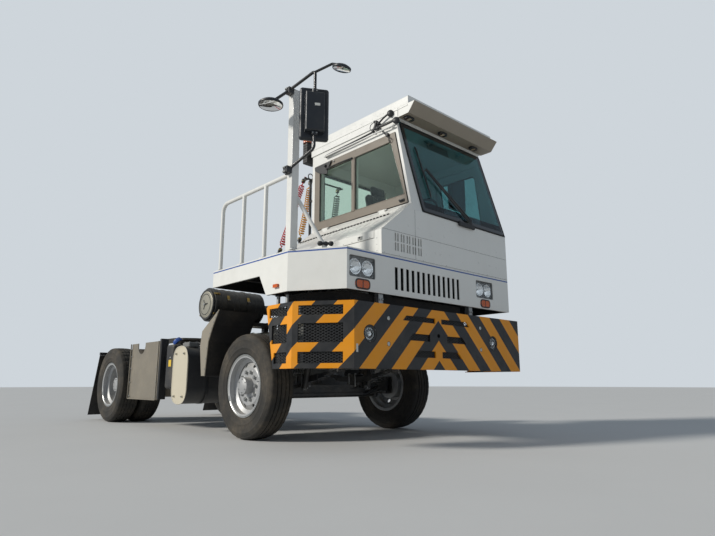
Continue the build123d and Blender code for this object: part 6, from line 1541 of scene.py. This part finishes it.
seat_mid = shift(1965, SEAT_Y, 2170)
seat_pad = block_mesh("seat_pad", [(seat_mid, (508, 498, 98))], 0.007)
soften(seat_pad, 6)
swell(seat_pad, 0.024)
seat_metres = shift(1965 * MM, SEAT_Y * MM, 2170 * MM)
sew(seat_pad, seat_metres, [(1, -0.130), (1, 0.130), (0, -0.150)], 0.007, 0.006, 2, 1)
for v in seat_pad.data.vertices:
    v.co.z = max(v.co.z, 2.1112)
    v.co.z = min(v.co.z, 2.2375)
finish_cushion(seat_pad)
lean = Matrix.Rotation(radians(-12), 4, "Y")
back_mid = shift(1650, SEAT_Y, 2540.5) @ lean
head_mid = back_mid @ shift(0, 0, 392)
seat_back = block_mesh(
    "seat_back",
    [(back_mid, (90, 478, 618)), (head_mid, (70, 250, 160)), (back_mid @ shift(0, 0, 310), (48, 120, 80))], 0.007
)
soften(seat_back, 6)
swell(seat_back, 0.024)
back_metres = shift(1650 * MM, SEAT_Y * MM, 2540.5 * MM) @ lean
sew(seat_back, back_metres, [(1, -0.125), (1, 0.125), (2, 0.120), (2, -0.080), (2, -0.200)], 0.007, 0.006, 0, 1)
finish_cushion(seat_back)
seat_trim = Build()
for side in (-1, 1):
    seat_trim.pipe(
        [(1720, SEAT_Y + 252 * side, 2226), (1965, SEAT_Y + 256 * side, 2228), (2205, SEAT_Y + 250 * side, 2222)], 4,
        8
    )
    seat_trim.brick(shift(1960, SEAT_Y + 282 * side, 2150), (220, 26, 60), 0, 10)
    seat_trim.rod((1700, SEAT_Y + 256 * side, 2190), (1700, SEAT_Y + 300 * side, 2190), 34, 28)
seat_trim.brick(shift(2190, 300, 2118), (30, 60, 16), 0, 5)
seat_trim.pipe([(1790, 812, 2170), (1800, 836, 2250), (1760, 838, 2330)], 9)
seat_trim.brick(shift(1800, 836, 2262), (28, 16, 46), 1, 5)
seat_trim.done("seat_trim", [black_plastic, red_lens], "black_plastic")

# Black sheets as painted shade: behind the bumper's openings, and round the gap below the body
SHADE_BAND_PATH = [(2190, -1236), (2452, -1236), (2788, -990), (2788, 560)]
shade_sheets = Build()
for (ax, ay), (bx, by) in zip(SHADE_BAND_PATH, SHADE_BAND_PATH[1:]):
    run = Vector((bx - ax, by - ay, 0))
    middle = Vector(((ax + bx) / 2, (ay + by) / 2, 1283))
    shade_sheets.brick(aim(middle, (run.y, -run.x, 0), run), (run.length + 6, 98, 4), 0, 1)
shade_sheets.slab((2872, 2876), (-500, 500), (766, 1168), 0, 1)
shade_sheets.slab((2210, 2470), (-1330, -1326), (700, 1205), 0, 1)
inner_side = Vector((2735, -1176, 952)) + CORNER_IN * 44
shade_sheets.brick(aim(inner_side, CORNER_IN, CORNER_DIR), (470, 500, 4), 0, 1)
shade_sheets.done("painted_shade_sheets", [seal_rubber], "black_plastic")

# Frame: bolts and rivets at the cross members, spring brackets and bumper arms
bolts = Build()
for side in (1, -1):
    face = RAIL_FACE_Y * side
    for x in (-2830, -2560, -780, 250, 2600, -900, -1700, -1300):
        for z in (800, 860, 920, 980):
            for dx in (-18, 18):
                bolts.bolt((x + dx, face, z), (0, side, 0), 15, 6)
    for x in (710, 1990):
        for z in (790, 830):
            for dx in (-20, 20):
                bolts.bolt((x + dx, face, z), (0, side, 0), 15, 6)
        bolts.brick(shift(x, 392 * side, 700), (30, 100, 74), 1, 6)
        bolts.bolt((x, 442 * side, 720), (0, side, 0), 22, 12)
    for z in (775, 1005):
        bolts.slab((-2860, 2636), (face - 3 * side, face + side), (z - 15, z + 15), 1, 1)
for side in (1, -1):
    for dx in (-52, 52):
        x = FRONT_AXLE_X + dx
        ends = [(x, (390 + 50 * k) * side, 520) for k in (-1, 1)]
        for end in ends:
            bolts.rod(end, (end[0], end[1], 664), 8, 12)
            bolts.bolt((end[0], end[1], 650), UP, 20, 12)
            bolts.bolt((end[0], end[1], 524), DOWN, 20, 12)
    for x in (FRONT_AXLE_X - 300, FRONT_AXLE_X + 300):
        bolts.slab((x - 17, x + 17), (390 * side - 47, 390 * side + 47), (578, 650), 1, 3)
    for dx in (-1, 1):
        x = FRONT_AXLE_X + 640 * dx
        bolts.rod((x, 342 * side, 720), (x, 438 * side, 720), 14, 16)
    bolts.rod((1480, 468 * side, 500), (1535, 468 * side, 690), 32, 20, 1)
    bolts.rod((1525, 468 * side, 655), (1580, 468 * side, 845), 15, 16, 2)
    bolts.rod((1522, 468 * side, 640), (1560, 468 * side, 775), 37, 20, 1)
    bolts.rod((1480, 440 * side, 500), (1480, 492 * side, 500), 24)
    bolts.rod((1580, RAIL_FACE_Y * side, 845), (1580, 492 * side, 845), 24)
    bolts.slab((1440, 1500), (RAIL_FACE_Y * side - 30, RAIL_FACE_Y * side + 16), (486, 530), 1, 4)
bolts.done("frame_hardware", [zinc, black_paint, bright_steel], "black_steel")

# Engine dress: covers, manifold, belts, fan, hoses and the exhaust to the treatment box
engine = Build()
for k in range(6):
    x = 1240 + k * 155
    engine.slab((x, x + 120), (-130, 130), (1556, 1604), 0, 12)
    for y in (-112, 112):
        engine.bolt((x + 60, y, 1604), UP, 12, 6, 1)
    engine.rod((x + 60, -300, 1330), (x + 60, -352, 1350), 26, 20, 2)
    engine.rod((x + 60, 300, 1330), (x + 60, 346, 1350), 28, 20, 3)
    for side in (1, -1):
        engine.slab((x + 10, x + 24), (300 * side - 6, 300 * side + 14), (800, 1260), 0, 4)
        engine.slab((x + 94, x + 108), (300 * side - 6, 300 * side + 14), (800, 1260), 0, 4)
engine.rod((1280, -360, 1352), (2120, -360, 1352), 36, 24, 2)
engine.rod((1280, 356, 1352), (2120, 356, 1352), 42, 24, 3)
for side in (1, -1):
    engine.slab((1130, 2190), (300 * side - 8, 300 * side + 10), (884, 902), 0, 3)
    for k in range(12):
        engine.bolt((1170 + k * 88, 310 * side, 893), (0, side, 0), 12, 5, 1)
engine.spin(
    [(40, -34), (92, -34), (96, -20), (96, 20), (92, 34), (40, 34)], aim((1560, -400, 1240), AHEAD), 36, 2, True
)
engine.rod((1500, -400, 1240), (1620, -400, 1240), 44, 28, 2)
engine.pipe(
    [
        (1500, -400, 1240), (1400, -420, 1220), (1180, -470, 1150), (900, -500, 1096), (500, -520, 1098),
        (360, -640, 1085), (330, -800, 1060), (230, -900, 1022), (190, -900, 960)
    ],
    42, 20, 4, 7
)
for at in ((900, -500, 1096), (500, -520, 1098)):
    engine.rod((at[0] - 16, at[1], at[2]), (at[0] + 16, at[1], at[2]), 50, 28, 1)
engine.pipe([(2200, -120, 1500), (2320, -140, 1530), (2420, -170, 1520), (2490, -170, 1510)], 30, 16, 3)
engine.pipe([(2190, 150, 960), (2320, 190, 1050), (2420, 250, 1080), (2490, 250, 1090)], 30, 16, 3)
engine.pipe([(2120, 356, 1352), (2280, 380, 1370), (2420, 330, 1430), (2490, 300, 1460)], 36, 18, 3)
fan = aim((2440, 0, 1280), AHEAD, LEFT)
engine.spin([(300, -40), (312, -40), (312, 34), (300, 40)], fan, 56, 3, True)
engine.spin([(60, -24), (70, -16), (70, 18), (40, 26), (0, 28)], fan, 28, 3)
for k in range(9):
    blade = fan @ turned(2 * pi * k / 9) @ shift(178, 0, 0) @ Matrix.Rotation(radians(38), 4, "X")
    engine.brick(blade, (226, 84, 5), 3)
engine.rod((2180, 0, 1280), (2420, 0, 1280), 36, 24, 1)
for y, z, r in ((0, 1280, 92), (180, 1120, 64), (-190, 1150, 48), (0, 940, 104)):
    engine.spin(
        [(r * 0.3, -18), (r, -18), (r - 5, -12), (r - 5, 12), (r, 18), (r * 0.3, 18)], aim((2210, y, z), AHEAD), 40,
        1, True
    )
engine.rod((2060, 235, 1120), (2190, 235, 1120), 70, 32, 5)
for k in range(46):
    engine.slab((2482, 2491), (-372, 372), (1042 + k * 11.6, 1045 + k * 11.6), 5, 0.6)
for y in (-384, 384):
    engine.slab((2476, 2578), (y - 10, y + 10), (1030, 1598), 3, 3)
engine.pipe([(1110, -90, 960), (900, -160, 1012), (700, -180, 1014)], 9, 8, 3, 5)
for k in range(9):
    engine.slab((660 + k * 50, 672 + k * 50), (-208, 208), (660, 990), 0, 5)
for side in (1, -1):
    for k in range(8):
        engine.bolt((690 + k * 50, 200 * side, 664), (0, side, 0), 12, 5, 1)
engine.done("engine_dress", [green_grey, zinc, oily_steel, black_plastic, cap_metal, bright_steel], "black_steel")

# Lines along the rails, to the cylinders and to the tail
lines = Build()
for z in (948, 926, 904):
    lines.pipe([(x, -452, z) for x in (620, 200, -500, -1500, -2300, -2860)], 8, 8, 0, 3)
for x in (480, 40, -400, -560, -1160, -1560, -2100, -2500):
    lines.slab((x - 9, x + 9), (-464, -430), (892, 962), 1, 3)
for side in (1, -1):
    lines.pipe(
        [(-700, 344 * side, 940), (-716, 336 * side, 850), (-730, 330 * side, 790), (-780, 326 * side, 772)], 9, 8
    )
    lines.pipe([(-1960, 300 * side, 760), (-1900, 400 * side, 720), (-1890, 470 * side, 660)], 9, 8)
    chamber = aim((-2010, 480 * side, 640), (1, 0, 0.12))
    lines.spin(
        [
            (30, -10), (78, 0), (84, 20), (84, 50), (88, 52), (88, 64), (84, 66), (82, 110), (86, 112), (86, 124),
            (78, 140), (60, 156), (0, 160)
        ],
        chamber, 36, 2
    )
    lines.rod((-2110, 480 * side, 628), (-2010, 480 * side, 640), 13, 14, 3)
    lines.slab((-2060, -2020), (RAIL_FACE_Y * side - 10, RAIL_FACE_Y * side + 50), (560, 700), 2, 4)
for u, v in circle(14, 185):
    lines.bolt((-2080 + u, 152, TYRE_R + v), LEFT, 15, 7, 4)
    lines.bolt((-2080 + u, -152, TYRE_R + v), RIGHT, 15, 7, 4)
lines.spin(
    [(208, -26), (212, -22), (212, 22), (208, 26), (200, 26), (200, -26)], aim((-2100, 0, 525), LEFT), 56, 2, True
)
for u, v in circle(8, 58):
    for x, z, out in ((-1790, TYRE_R, 1), (570, 740, -1)):
        lines.bolt((x, u, z + v), (out, 0, 0), 12, 6, 4)
lines.rod((-2820, -470, 905), (-2870, -470, 905), 26, 20, 2)
for y in (-180, -90, 90, 180):
    lines.rod((-2891, y, 800), (-2930, y, 800), 22, 24, (5 if y == -180 else 6 if y == -90 else 1))
    lines.rod((-2891, y, 800), (-2902, y, 800), 30, 24, 4)
lines.slab((-2897, -2890.5), (-222, 222), (936, 1018), 7, 3)
for y in (-190, 190):
    lines.bolt((-2897, y, 976), BACK, 10, 4, 4)
for y in (-365, 365):
    for dy in (-132, 132):
        lines.bolt((-2891, y + dy, 950), BACK, 10, 5, 4)
for y in (-480, 480):
    for z in (770, 820):
        lines.bolt((-2891, y, z), BACK, 17, 8, 4)
lines.done(
    "chassis_lines",
    [hose_black, black_plastic, black_paint, bright_steel, zinc, red_line, yellow_line, white_plastic], "black_steel"
)


# Tanks and boxes: straps, caps, flanges, bolts
def band(build, outline, radius, thick, wide, to3d, mat):
    """A strap round a rounded box."""
    build.ring(inset(outline, -thick), thick, radius + thick, to3d, 0, wide, mat, 8, 0.6)


kit = Build()
fuel_outline = rect(700, 380, 1250, 960)
for x in (-360, -180, 200):
    band(kit, fuel_outline, 90, 4, 42, facing_x(x), 1)
kit.spin([(56, 0), (60, 4), (60, 22), (54, 30), (20, 34), (0, 34)], aim((180, 1100, 984), UP), 40)
for u, v in circle(18, 59):
    kit.rod((180 + u, 1100 + v, 988), (180 + u, 1100 + v, 1005), 3.5, 8)
kit.slab((60, 300), (740, 1000), (960, 966), 3, 3)
for k in range(6):
    kit.slab((80 + 36 * k, 92 + 36 * k), (750, 990), (966, 971), 3)
urea_outline = rect(-270, 481, -70, 1005)
for y in (-1196, -840):
    kit.ring(inset(urea_outline, -3), 3, 37, facing_left(y), 0, 30, 1, 7, 0.6)
cap = aim((-158, -1146, 1028), (-0.52, -0.46, 0.72))
kit.rod((-143, -1130, 1000), (-166, -1152, 1040), 44, 32, 3)
kit.spin([(50, 0), (54, 5), (54, 38), (48, 50), (16, 56), (0, 56)], cap, 40, 2)
for k in range(20):
    kit.brick(cap @ turned(2 * pi * k / 20) @ shift(54, 0, 18), (6, 7, 28), 2, 1.5)
kit.slab((-178, -108), (-1252.2, -1249.8), (742, 822), 4, 0.6)
kit.rivet((-143, -1250, 850), RIGHT, 9, 5)
kit.pipe([(-100, -1000, 1000), (-80, -960, 1040), (40, -880, 1010), (120, -700, 985)], 8, 8, 3)
capsule_outline = rect(-62, 309, 327, 976)
kit.ring(inset(capsule_outline, 3), 12, 187, facing_right(-1250), 0, 3, 6, 12, 1.2)
for y in (-1010, -760):
    kit.ring(inset(rect(-55, 316, 320, 969), -4), 4, 184, facing_left(y), 0, 36, 1, 10, 0.8)
kit.slab((40, 210), (-1190, -1060), (962, 1016), 7, 8)
kit.slab((60, 190), (-1180, -1070), (1016, 1022), 7, 3)
for x in (70, 180):
    for y in (-1170, -1080):
        kit.bolt((x, y, 1022), UP, 9, 4, 8)
kit.pipe([(80, -1060, 990), (70, -980, 1010), (60, -860, 1020), (80, -720, 1000), (90, -560, 980)], 8, 8, 3)
kit.pipe([(170, -1060, 990), (190, -980, 1024), (260, -860, 1020), (300, -640, 1010)], 11, 10, 7)
kit.pipe([(-50, -1130, 430), (-92, -1130, 440), (-110, -1130, 470), (-110, -1130, 500)], 14, 14, 7)
kit.rod((-60, -1130, 430), (-40, -1130, 430), 24, 24, 8)
for x, z in ((30, 400), (235, 400), (30, 885), (235, 885)):
    kit.bolt((x, -1262, z), RIGHT, 16, 8, 8, False)
for x0, x1, z0, z1 in ((-1390, -1378, 340, 1065), (-492, -480, 340, 1065), (-1390, -480, 340, 352)):
    kit.slab((x0, x1), (-1262, -1249.5), (z0, z1), 9)
for x in (-1350, -520):
    for z in (380, 560, 740, 900):
        kit.bolt((x, -1250, z), RIGHT, 13, 5, 8)
kit.slab((-478, -430), (-1246, -1150), (352, 1092), 3, 6)
for x in (-1260, -780):
    kit.spin(rect(141, -18, 144, 18), aim((x, 900, 640), AHEAD), 48, 1, True)
kit.rod((-1000, 900, 500), (-1000, 900, 470), 14, 14, 10)
kit.rod((-1382, 900, 640), (-1402, 900, 640), 20, 6, 10)
kit.pipe([(-1402, 900, 640), (-1440, 890, 650), (-1470, 760, 760), (-1480, 460, 860)], 8, 8, 3)
kit.rod((-618, 900, 640), (-596, 900, 640), 20, 6, 10)
for side in (1, -1):
    guard_edge = [(981, 1320), (872, 1165), (778, 992), (734, 626), (661, 626), (602, 945), (632, 1112)]
    for (ax, az), (bx, bz) in zip(guard_edge[:3], guard_edge[1:4]):
        run = Vector((bx - ax, 0, bz - az))
        middle = Vector(((ax + bx) / 2, 1245 * side, (az + bz) / 2))
        kit.brick(aim(middle, (-run.z, 0, run.x), run), (run.length, 12, 16), 11, 3)
        for t in (0.2, 0.5, 0.8):
            kit.bolt((ax + run.x * t - 14, 1250 * side, az + run.z * t), (0, side, 0), 10, 4, 8)
    kit.slab((-2576, -2566), (side * 660, side * 1262), (950, 992), 8)
    for y in (700, 850, 1000, 1150, 1240):
        kit.bolt((-2577, y * side, 972), BACK, 13, 6, 8)
kit.done(
    "tank_and_box_trim",
    [
        black_plastic, steel_black, blue_cap, black_plastic, yellow_tag, white_plastic, beige_paint, trim_grey, zinc,
        box_paint, brass, box_paint
    ],
    "black_steel"
)

# Air filter: cap with its nut, latches, ribs, gauge and hose clamps
FILTER_X = 688
FILTER_Z = 1405
airbox = Build()
filter_end = aim((FILTER_X, -1250, FILTER_Z), RIGHT)
airbox.spin([(146, -2), (146, 1), (134, 3), (128, 9), (66, 13), (40, 13), (0, 13)], filter_end, 56)
airbox.spin([(168, -20), (168, 2), (158, 5), (148, 2), (148, -20)], filter_end, 56, 3, True)
airbox.spin([(118, 7), (118, 11), (110, 11), (110, 8)], filter_end, 48, 3, True)
for k in range(3):
    spoke = filter_end @ turned(2 * pi * k / 3 + 0.6)
    airbox.brick(spoke @ shift(30, 0, 14), (60, 16, 4), 3, 1.5)
airbox.spin([(16, 11), (16, 26), (12, 30), (0, 30)], filter_end, 6, 1)
for a in (35, 145, 215, 325):
    c, s = cos(radians(a)), sin(radians(a))
    airbox.brick(aim((FILTER_X + 192 * c, -1204, FILTER_Z + 192 * s), (c, 0, s), LEFT), (74, 24, 7), 2)
    airbox.brick(aim((FILTER_X + 198 * c, -1190, FILTER_Z + 198 * s), (c, 0, s), LEFT), (30, 16, 8), 2)
for y in (-1070, -815):
    airbox.spin(rect(181, -15, 184, 15), aim((FILTER_X, y, FILTER_Z), LEFT), 56, 3, True)
    for a in (22, 158):
        c, s = cos(radians(a)), sin(radians(a))
        latch = aim((FILTER_X + 186 * c, y, FILTER_Z + 186 * s), (c, 0, s), LEFT)
        airbox.brick(latch, (32, 62, 6), 2)
        airbox.brick(latch @ shift(0, 8, 6), (18, 34, 7), 2)
        airbox.rod(latch @ Vector((-20, -26, 5)), latch @ Vector((20, -26, 5)), 4, 8, 1)
for y in (-1150, -990, -930, -720, -650):
    airbox.spin([(179, -4), (183.5, 0), (179, 4)], aim((FILTER_X, y, FILTER_Z), LEFT), 56, 3, True)
airbox.rod((600, -700, 1560), (600, -700, 1600), 17, 20, 3)
for y in (-590, -420):
    airbox.spin(rect(56, -9, 59, 9), aim((FILTER_X, y, FILTER_Z), LEFT), 36, 1, True)
airbox.spin(rect(56, -9, 59, 9), aim((1090, -150, FILTER_Z), AHEAD), 36, 1, True)
for y in (-1100, -860, -500):
    for x in (600, 776):
        airbox.bolt((x, y, 1238), UP, 15, 7, 1)
airbox.done("air_filter_trim", [cap_metal, zinc, brass, filter_plastic], "black_plastic")

# Checker plate on the rear deck and the walking deck, step treads in the bumper
decks = Build()


def lozenges(build, x, y, z, pitch, mat, clear=()):
    """Raised bars in two directions; clear lists boxes (x0, x1, y0, y1) left plain."""
    columns = int((x[1] - x[0]) / pitch)
    rows = int((y[1] - y[0]) / pitch)
    for i in range(columns):
        for j in range(rows):
            px, py = x[0] + (i + 0.5) * pitch, y[0] + (j + 0.5) * pitch
            if any(a < px < b and c < py < d for a, b, c, d in clear):
                continue
            turn = radians(45 if (i + j) % 2 else -45)
            place = shift(px, py, z) @ turned(turn)
            verts = [(-15, 0, 0), (0, -4, 0), (15, 0, 0), (0, 4, 0), (-6, 0, 1.6), (6, 0, 1.6)]
            build.add(verts, [(0, 1, 5, 4), (1, 2, 5), (2, 3, 5), (3, 0, 4, 5)], mat, place)


lozenges(decks, (-488, 988), (-628, 628), 1045, 36, 0, [(540, 830, -540, -330)])
lozenges(decks, (1070, 1262), (-1290, 1362), DECK_Z, 34, 1, [(1040, 1160, -1380, -1260), (1090, 1240, -270, -110)])
lozenges(decks, (1290, 2320), (-1280, -700), DECK_Z, 34, 1, [(1470, 1590, -1380, -1260), (1870, 1990, -1380, -1260)])
for level in (758, 1008):
    for k in range(6):
        decks.slab((2334, 2726), (1176 + 36 * k, 1184 + 36 * k), (level - 1, level + 5), 0, 1.6)
for x in (-460, 240, 960):
    for y in (-600, 0, 600):
        decks.spin([(13, 0), (12, 2.4), (5, 2.8), (4, 1), (0, 1)], aim((x, y, 1045), UP), 16, 2)
decks.done("deck_plates", [black_paint, platform_paint_and_shade, zinc], "black_steel")

# Work light and beacon
work = Build()
for z in (3270, 3396):
    face = aim((1110, -205, z), BACK)
    work.spin([(60, -2), (60, 8), (55, 10), (52, 8), (52, 2)], face, 40)
    work.spin([(52, 2.5), (40, 6), (20, 8), (0, 8.6)], face, 40, 1)
for k in range(7):
    work.slab((1120, 1196), (-284, -279), (3230 + 32 * k, 3238 + 32 * k), 0, 1.5)
work.spin([(50, 0), (57, 0), (57, 7), (53, 9)], aim((1155, -240, 3463), UP), 40)
for u, v in circle(24, 51.4):
    work.rod((1155 + u, -240 + v, 3474), (1155 + u, -240 + v, 3506), 2, 6, 2)
work.pipe([(1160, -160, 3240), (1180, -150, 3180), (1240, -160, 3140), (1268, -160, 3130)], 5, 8)
work.done("work_light_trim", [black_plastic, white_lens, amber_lens], "lamp_glass")

# Fifth wheel: grease grooves, release handle, jaw bolts and pivot caps
coupling = Build()
for side in (1, -1):
    for r in (170, 240, 310):
        arc = []
        for k in range(13):
            a = radians(35 + 110 * k / 12) * side
            arc.append((FIFTH_WHEEL_X + r * cos(a), r * sin(a), 1216.6))
        coupling.pipe(arc, 3, 6, 0, 2)
    coupling.rod((FIFTH_WHEEL_X, 254 * side, 1120), (FIFTH_WHEEL_X, 266 * side, 1120), 34, 28, 1)
    coupling.bolt((FIFTH_WHEEL_X, 266 * side, 1120), (0, side, 0), 24, 10, 2)
    for x in (-2060, -1890):
        coupling.bolt((x, 432 * side, 1146), (0, -side, 0), 15, 6, 2)
coupling.pipe([(-1900, 60, 1160), (-1860, 180, 1162), (-1850, 420, 1166), (-1850, 520, 1166)], 9, 10, 1, 5)
coupling.rod((-1850, 520, 1166), (-1850, 600, 1166), 14, 20, 3)
for y in (-52, 52):
    for x in (-1990, -1880):
        coupling.bolt((x, y, 1146), DOWN, 15, 7, 2)
coupling.done("fifth_wheel_trim", [seal_rubber, steel_black, zinc, red_line], "black_steel", "fifth_wheel")
boom = Build()
for side in (1, -1):
    for x in (-900, -1150, -1400, -1650):
        boom.slab((x - 12, x + 12), (300 * side - 1, 300 * side + 5), (940, 1010))
    boom.pipe(
        [(-780, 306 * side, 985), (-1100, 306 * side, 990), (-1500, 306 * side, 1000), (-1880, 306 * side, 1010)], 5,
        8, 1, 4
    )
    boom.rod((-1550, 299 * side, 860), (-1550, 308 * side, 860), 36, 28, 2)
    boom.bolt((-1550, 308 * side, 860), (0, side, 0), 24, 10, 2)
    boom.rod((FIFTH_WHEEL_X, 299 * side, 1120), (FIFTH_WHEEL_X, 306 * side, 1120), 32, 28, 2)
    boom.bolt((-710, 240 * side, 1036), UP, 10, 10, 3)
boom.done("boom_trim", [black_paint, hose_black, steel_black, brass], "black_steel", "lift_boom")
for side, word in ((1, "left"), (-1, "right")):
    ram = Build()
    along = Vector((-650, 0, 220)).normalized()
    base = Vector((-900, 240 * side, 640))
    up_side = Vector((along.z, 0, -along.x))
    for reach in (90, 400):
        at = base + along * reach + up_side * 40
        ram.rod(at, at + up_side * 22, 15, 6)
    ram.pipe(
        [
            base + along * 90 + up_side * 60, base + along * 200 + up_side * 66, base + along * 330 + up_side * 66,
            base + along * 400 + up_side * 60
        ],
        7, 8, 1, 5
    )
    ram.spin([(44.5, 0), (48, 2), (48, 14), (44.5, 16)], aim(base + along * 120, along), 36, 2, True)
    ram.done(f"cylinder_ports_{word}", [zinc, bright_steel, steel_black], "black_steel", f"cylinder_barrel_{word}")


# Camera at the photograph's place, lens and tilt
camera_data = bpy.data.cameras.new("camera")
camera = bpy.data.objects.new("camera", camera_data)
scene.collection.objects.link(camera)
camera.location = (6.292, -4.130, 0.567)
camera.rotation_mode = "QUATERNION"
camera.rotation_quaternion = Vector((-0.7201, 0.6638, 0.2018)).to_track_quat("-Z", "Y")
camera_data.sensor_fit = "HORIZONTAL"
camera_data.sensor_width = 36
camera_data.lens = 27.74
camera_data.clip_end = 200
scene.camera = camera

# Light from the vehicle's right, a pale surround, and the floor
sun_data = bpy.data.lights.new("key", "SUN")
sun_data.energy = 2.95
sun_data.angle = radians(9)
sun_data.color = (1, 0.96, 0.89)
sun = bpy.data.objects.new("key", sun_data)
sun.rotation_mode = "QUATERNION"
sun.rotation_quaternion = Vector((0.36, 0.82, -0.46)).to_track_quat("-Z", "Y")
scene.collection.objects.link(sun)
fill_data = bpy.data.lights.new("fill", "AREA")
fill_data.energy = 30
fill_data.size = 6
fill_data.color = (0.90, 0.95, 1)
fill = bpy.data.objects.new("fill", fill_data)
fill.location = (9, 3, 4.5)
fill.rotation_mode = "QUATERNION"
fill.rotation_quaternion = Vector((-8, -3, -3)).to_track_quat("-Z", "Y")
scene.collection.objects.link(fill)

world = bpy.data.worlds.new("surround")
scene.world = world
world.use_nodes = True
tree = world.node_tree
tree.nodes.clear()
world_out = tree.nodes.new("ShaderNodeOutputWorld")
path = tree.nodes.new("ShaderNodeLightPath")
ambient = tree.nodes.new("ShaderNodeBackground")
ambient.inputs["Color"].default_value = (0.60, 0.70, 0.82, 1)
ambient.inputs["Strength"].default_value = 0.38
shown = tree.nodes.new("ShaderNodeBackground")
shown.inputs["Color"].default_value = (*srgb(206, 213, 219), 1)
direct = tree.nodes.new("ShaderNodeMath")
direct.operation = "MAXIMUM"
tree.links.new(path.outputs["Is Camera Ray"], direct.inputs[0])
tree.links.new(path.outputs["Is Transmission Ray"], direct.inputs[1])
either = tree.nodes.new("ShaderNodeMixShader")
tree.links.new(direct.outputs[0], either.inputs[0])
tree.links.new(ambient.outputs[0], either.inputs[1])
tree.links.new(shown.outputs[0], either.inputs[2])
tree.links.new(either.outputs[0], world_out.inputs["Surface"])
scene.view_settings.view_transform = "Standard"

floor_mesh = bpy.data.meshes.new("floor")
floor_ring = [(u, v, 0) for u, v in circle(64, 60)]
floor_mesh.from_pydata(floor_ring, [], [tuple(range(64))])
floor_look = Look("floor")
floor_tone = floor_look.mix(floor_look.noise(0.8, 3), (0.60, 0.60, 0.59), (0.64, 0.64, 0.63))
floor_mesh.materials.append(floor_look.surface(floor_tone, 0.9))
floor = bpy.data.objects.new("floor", floor_mesh)
scene.collection.objects.link(floor)
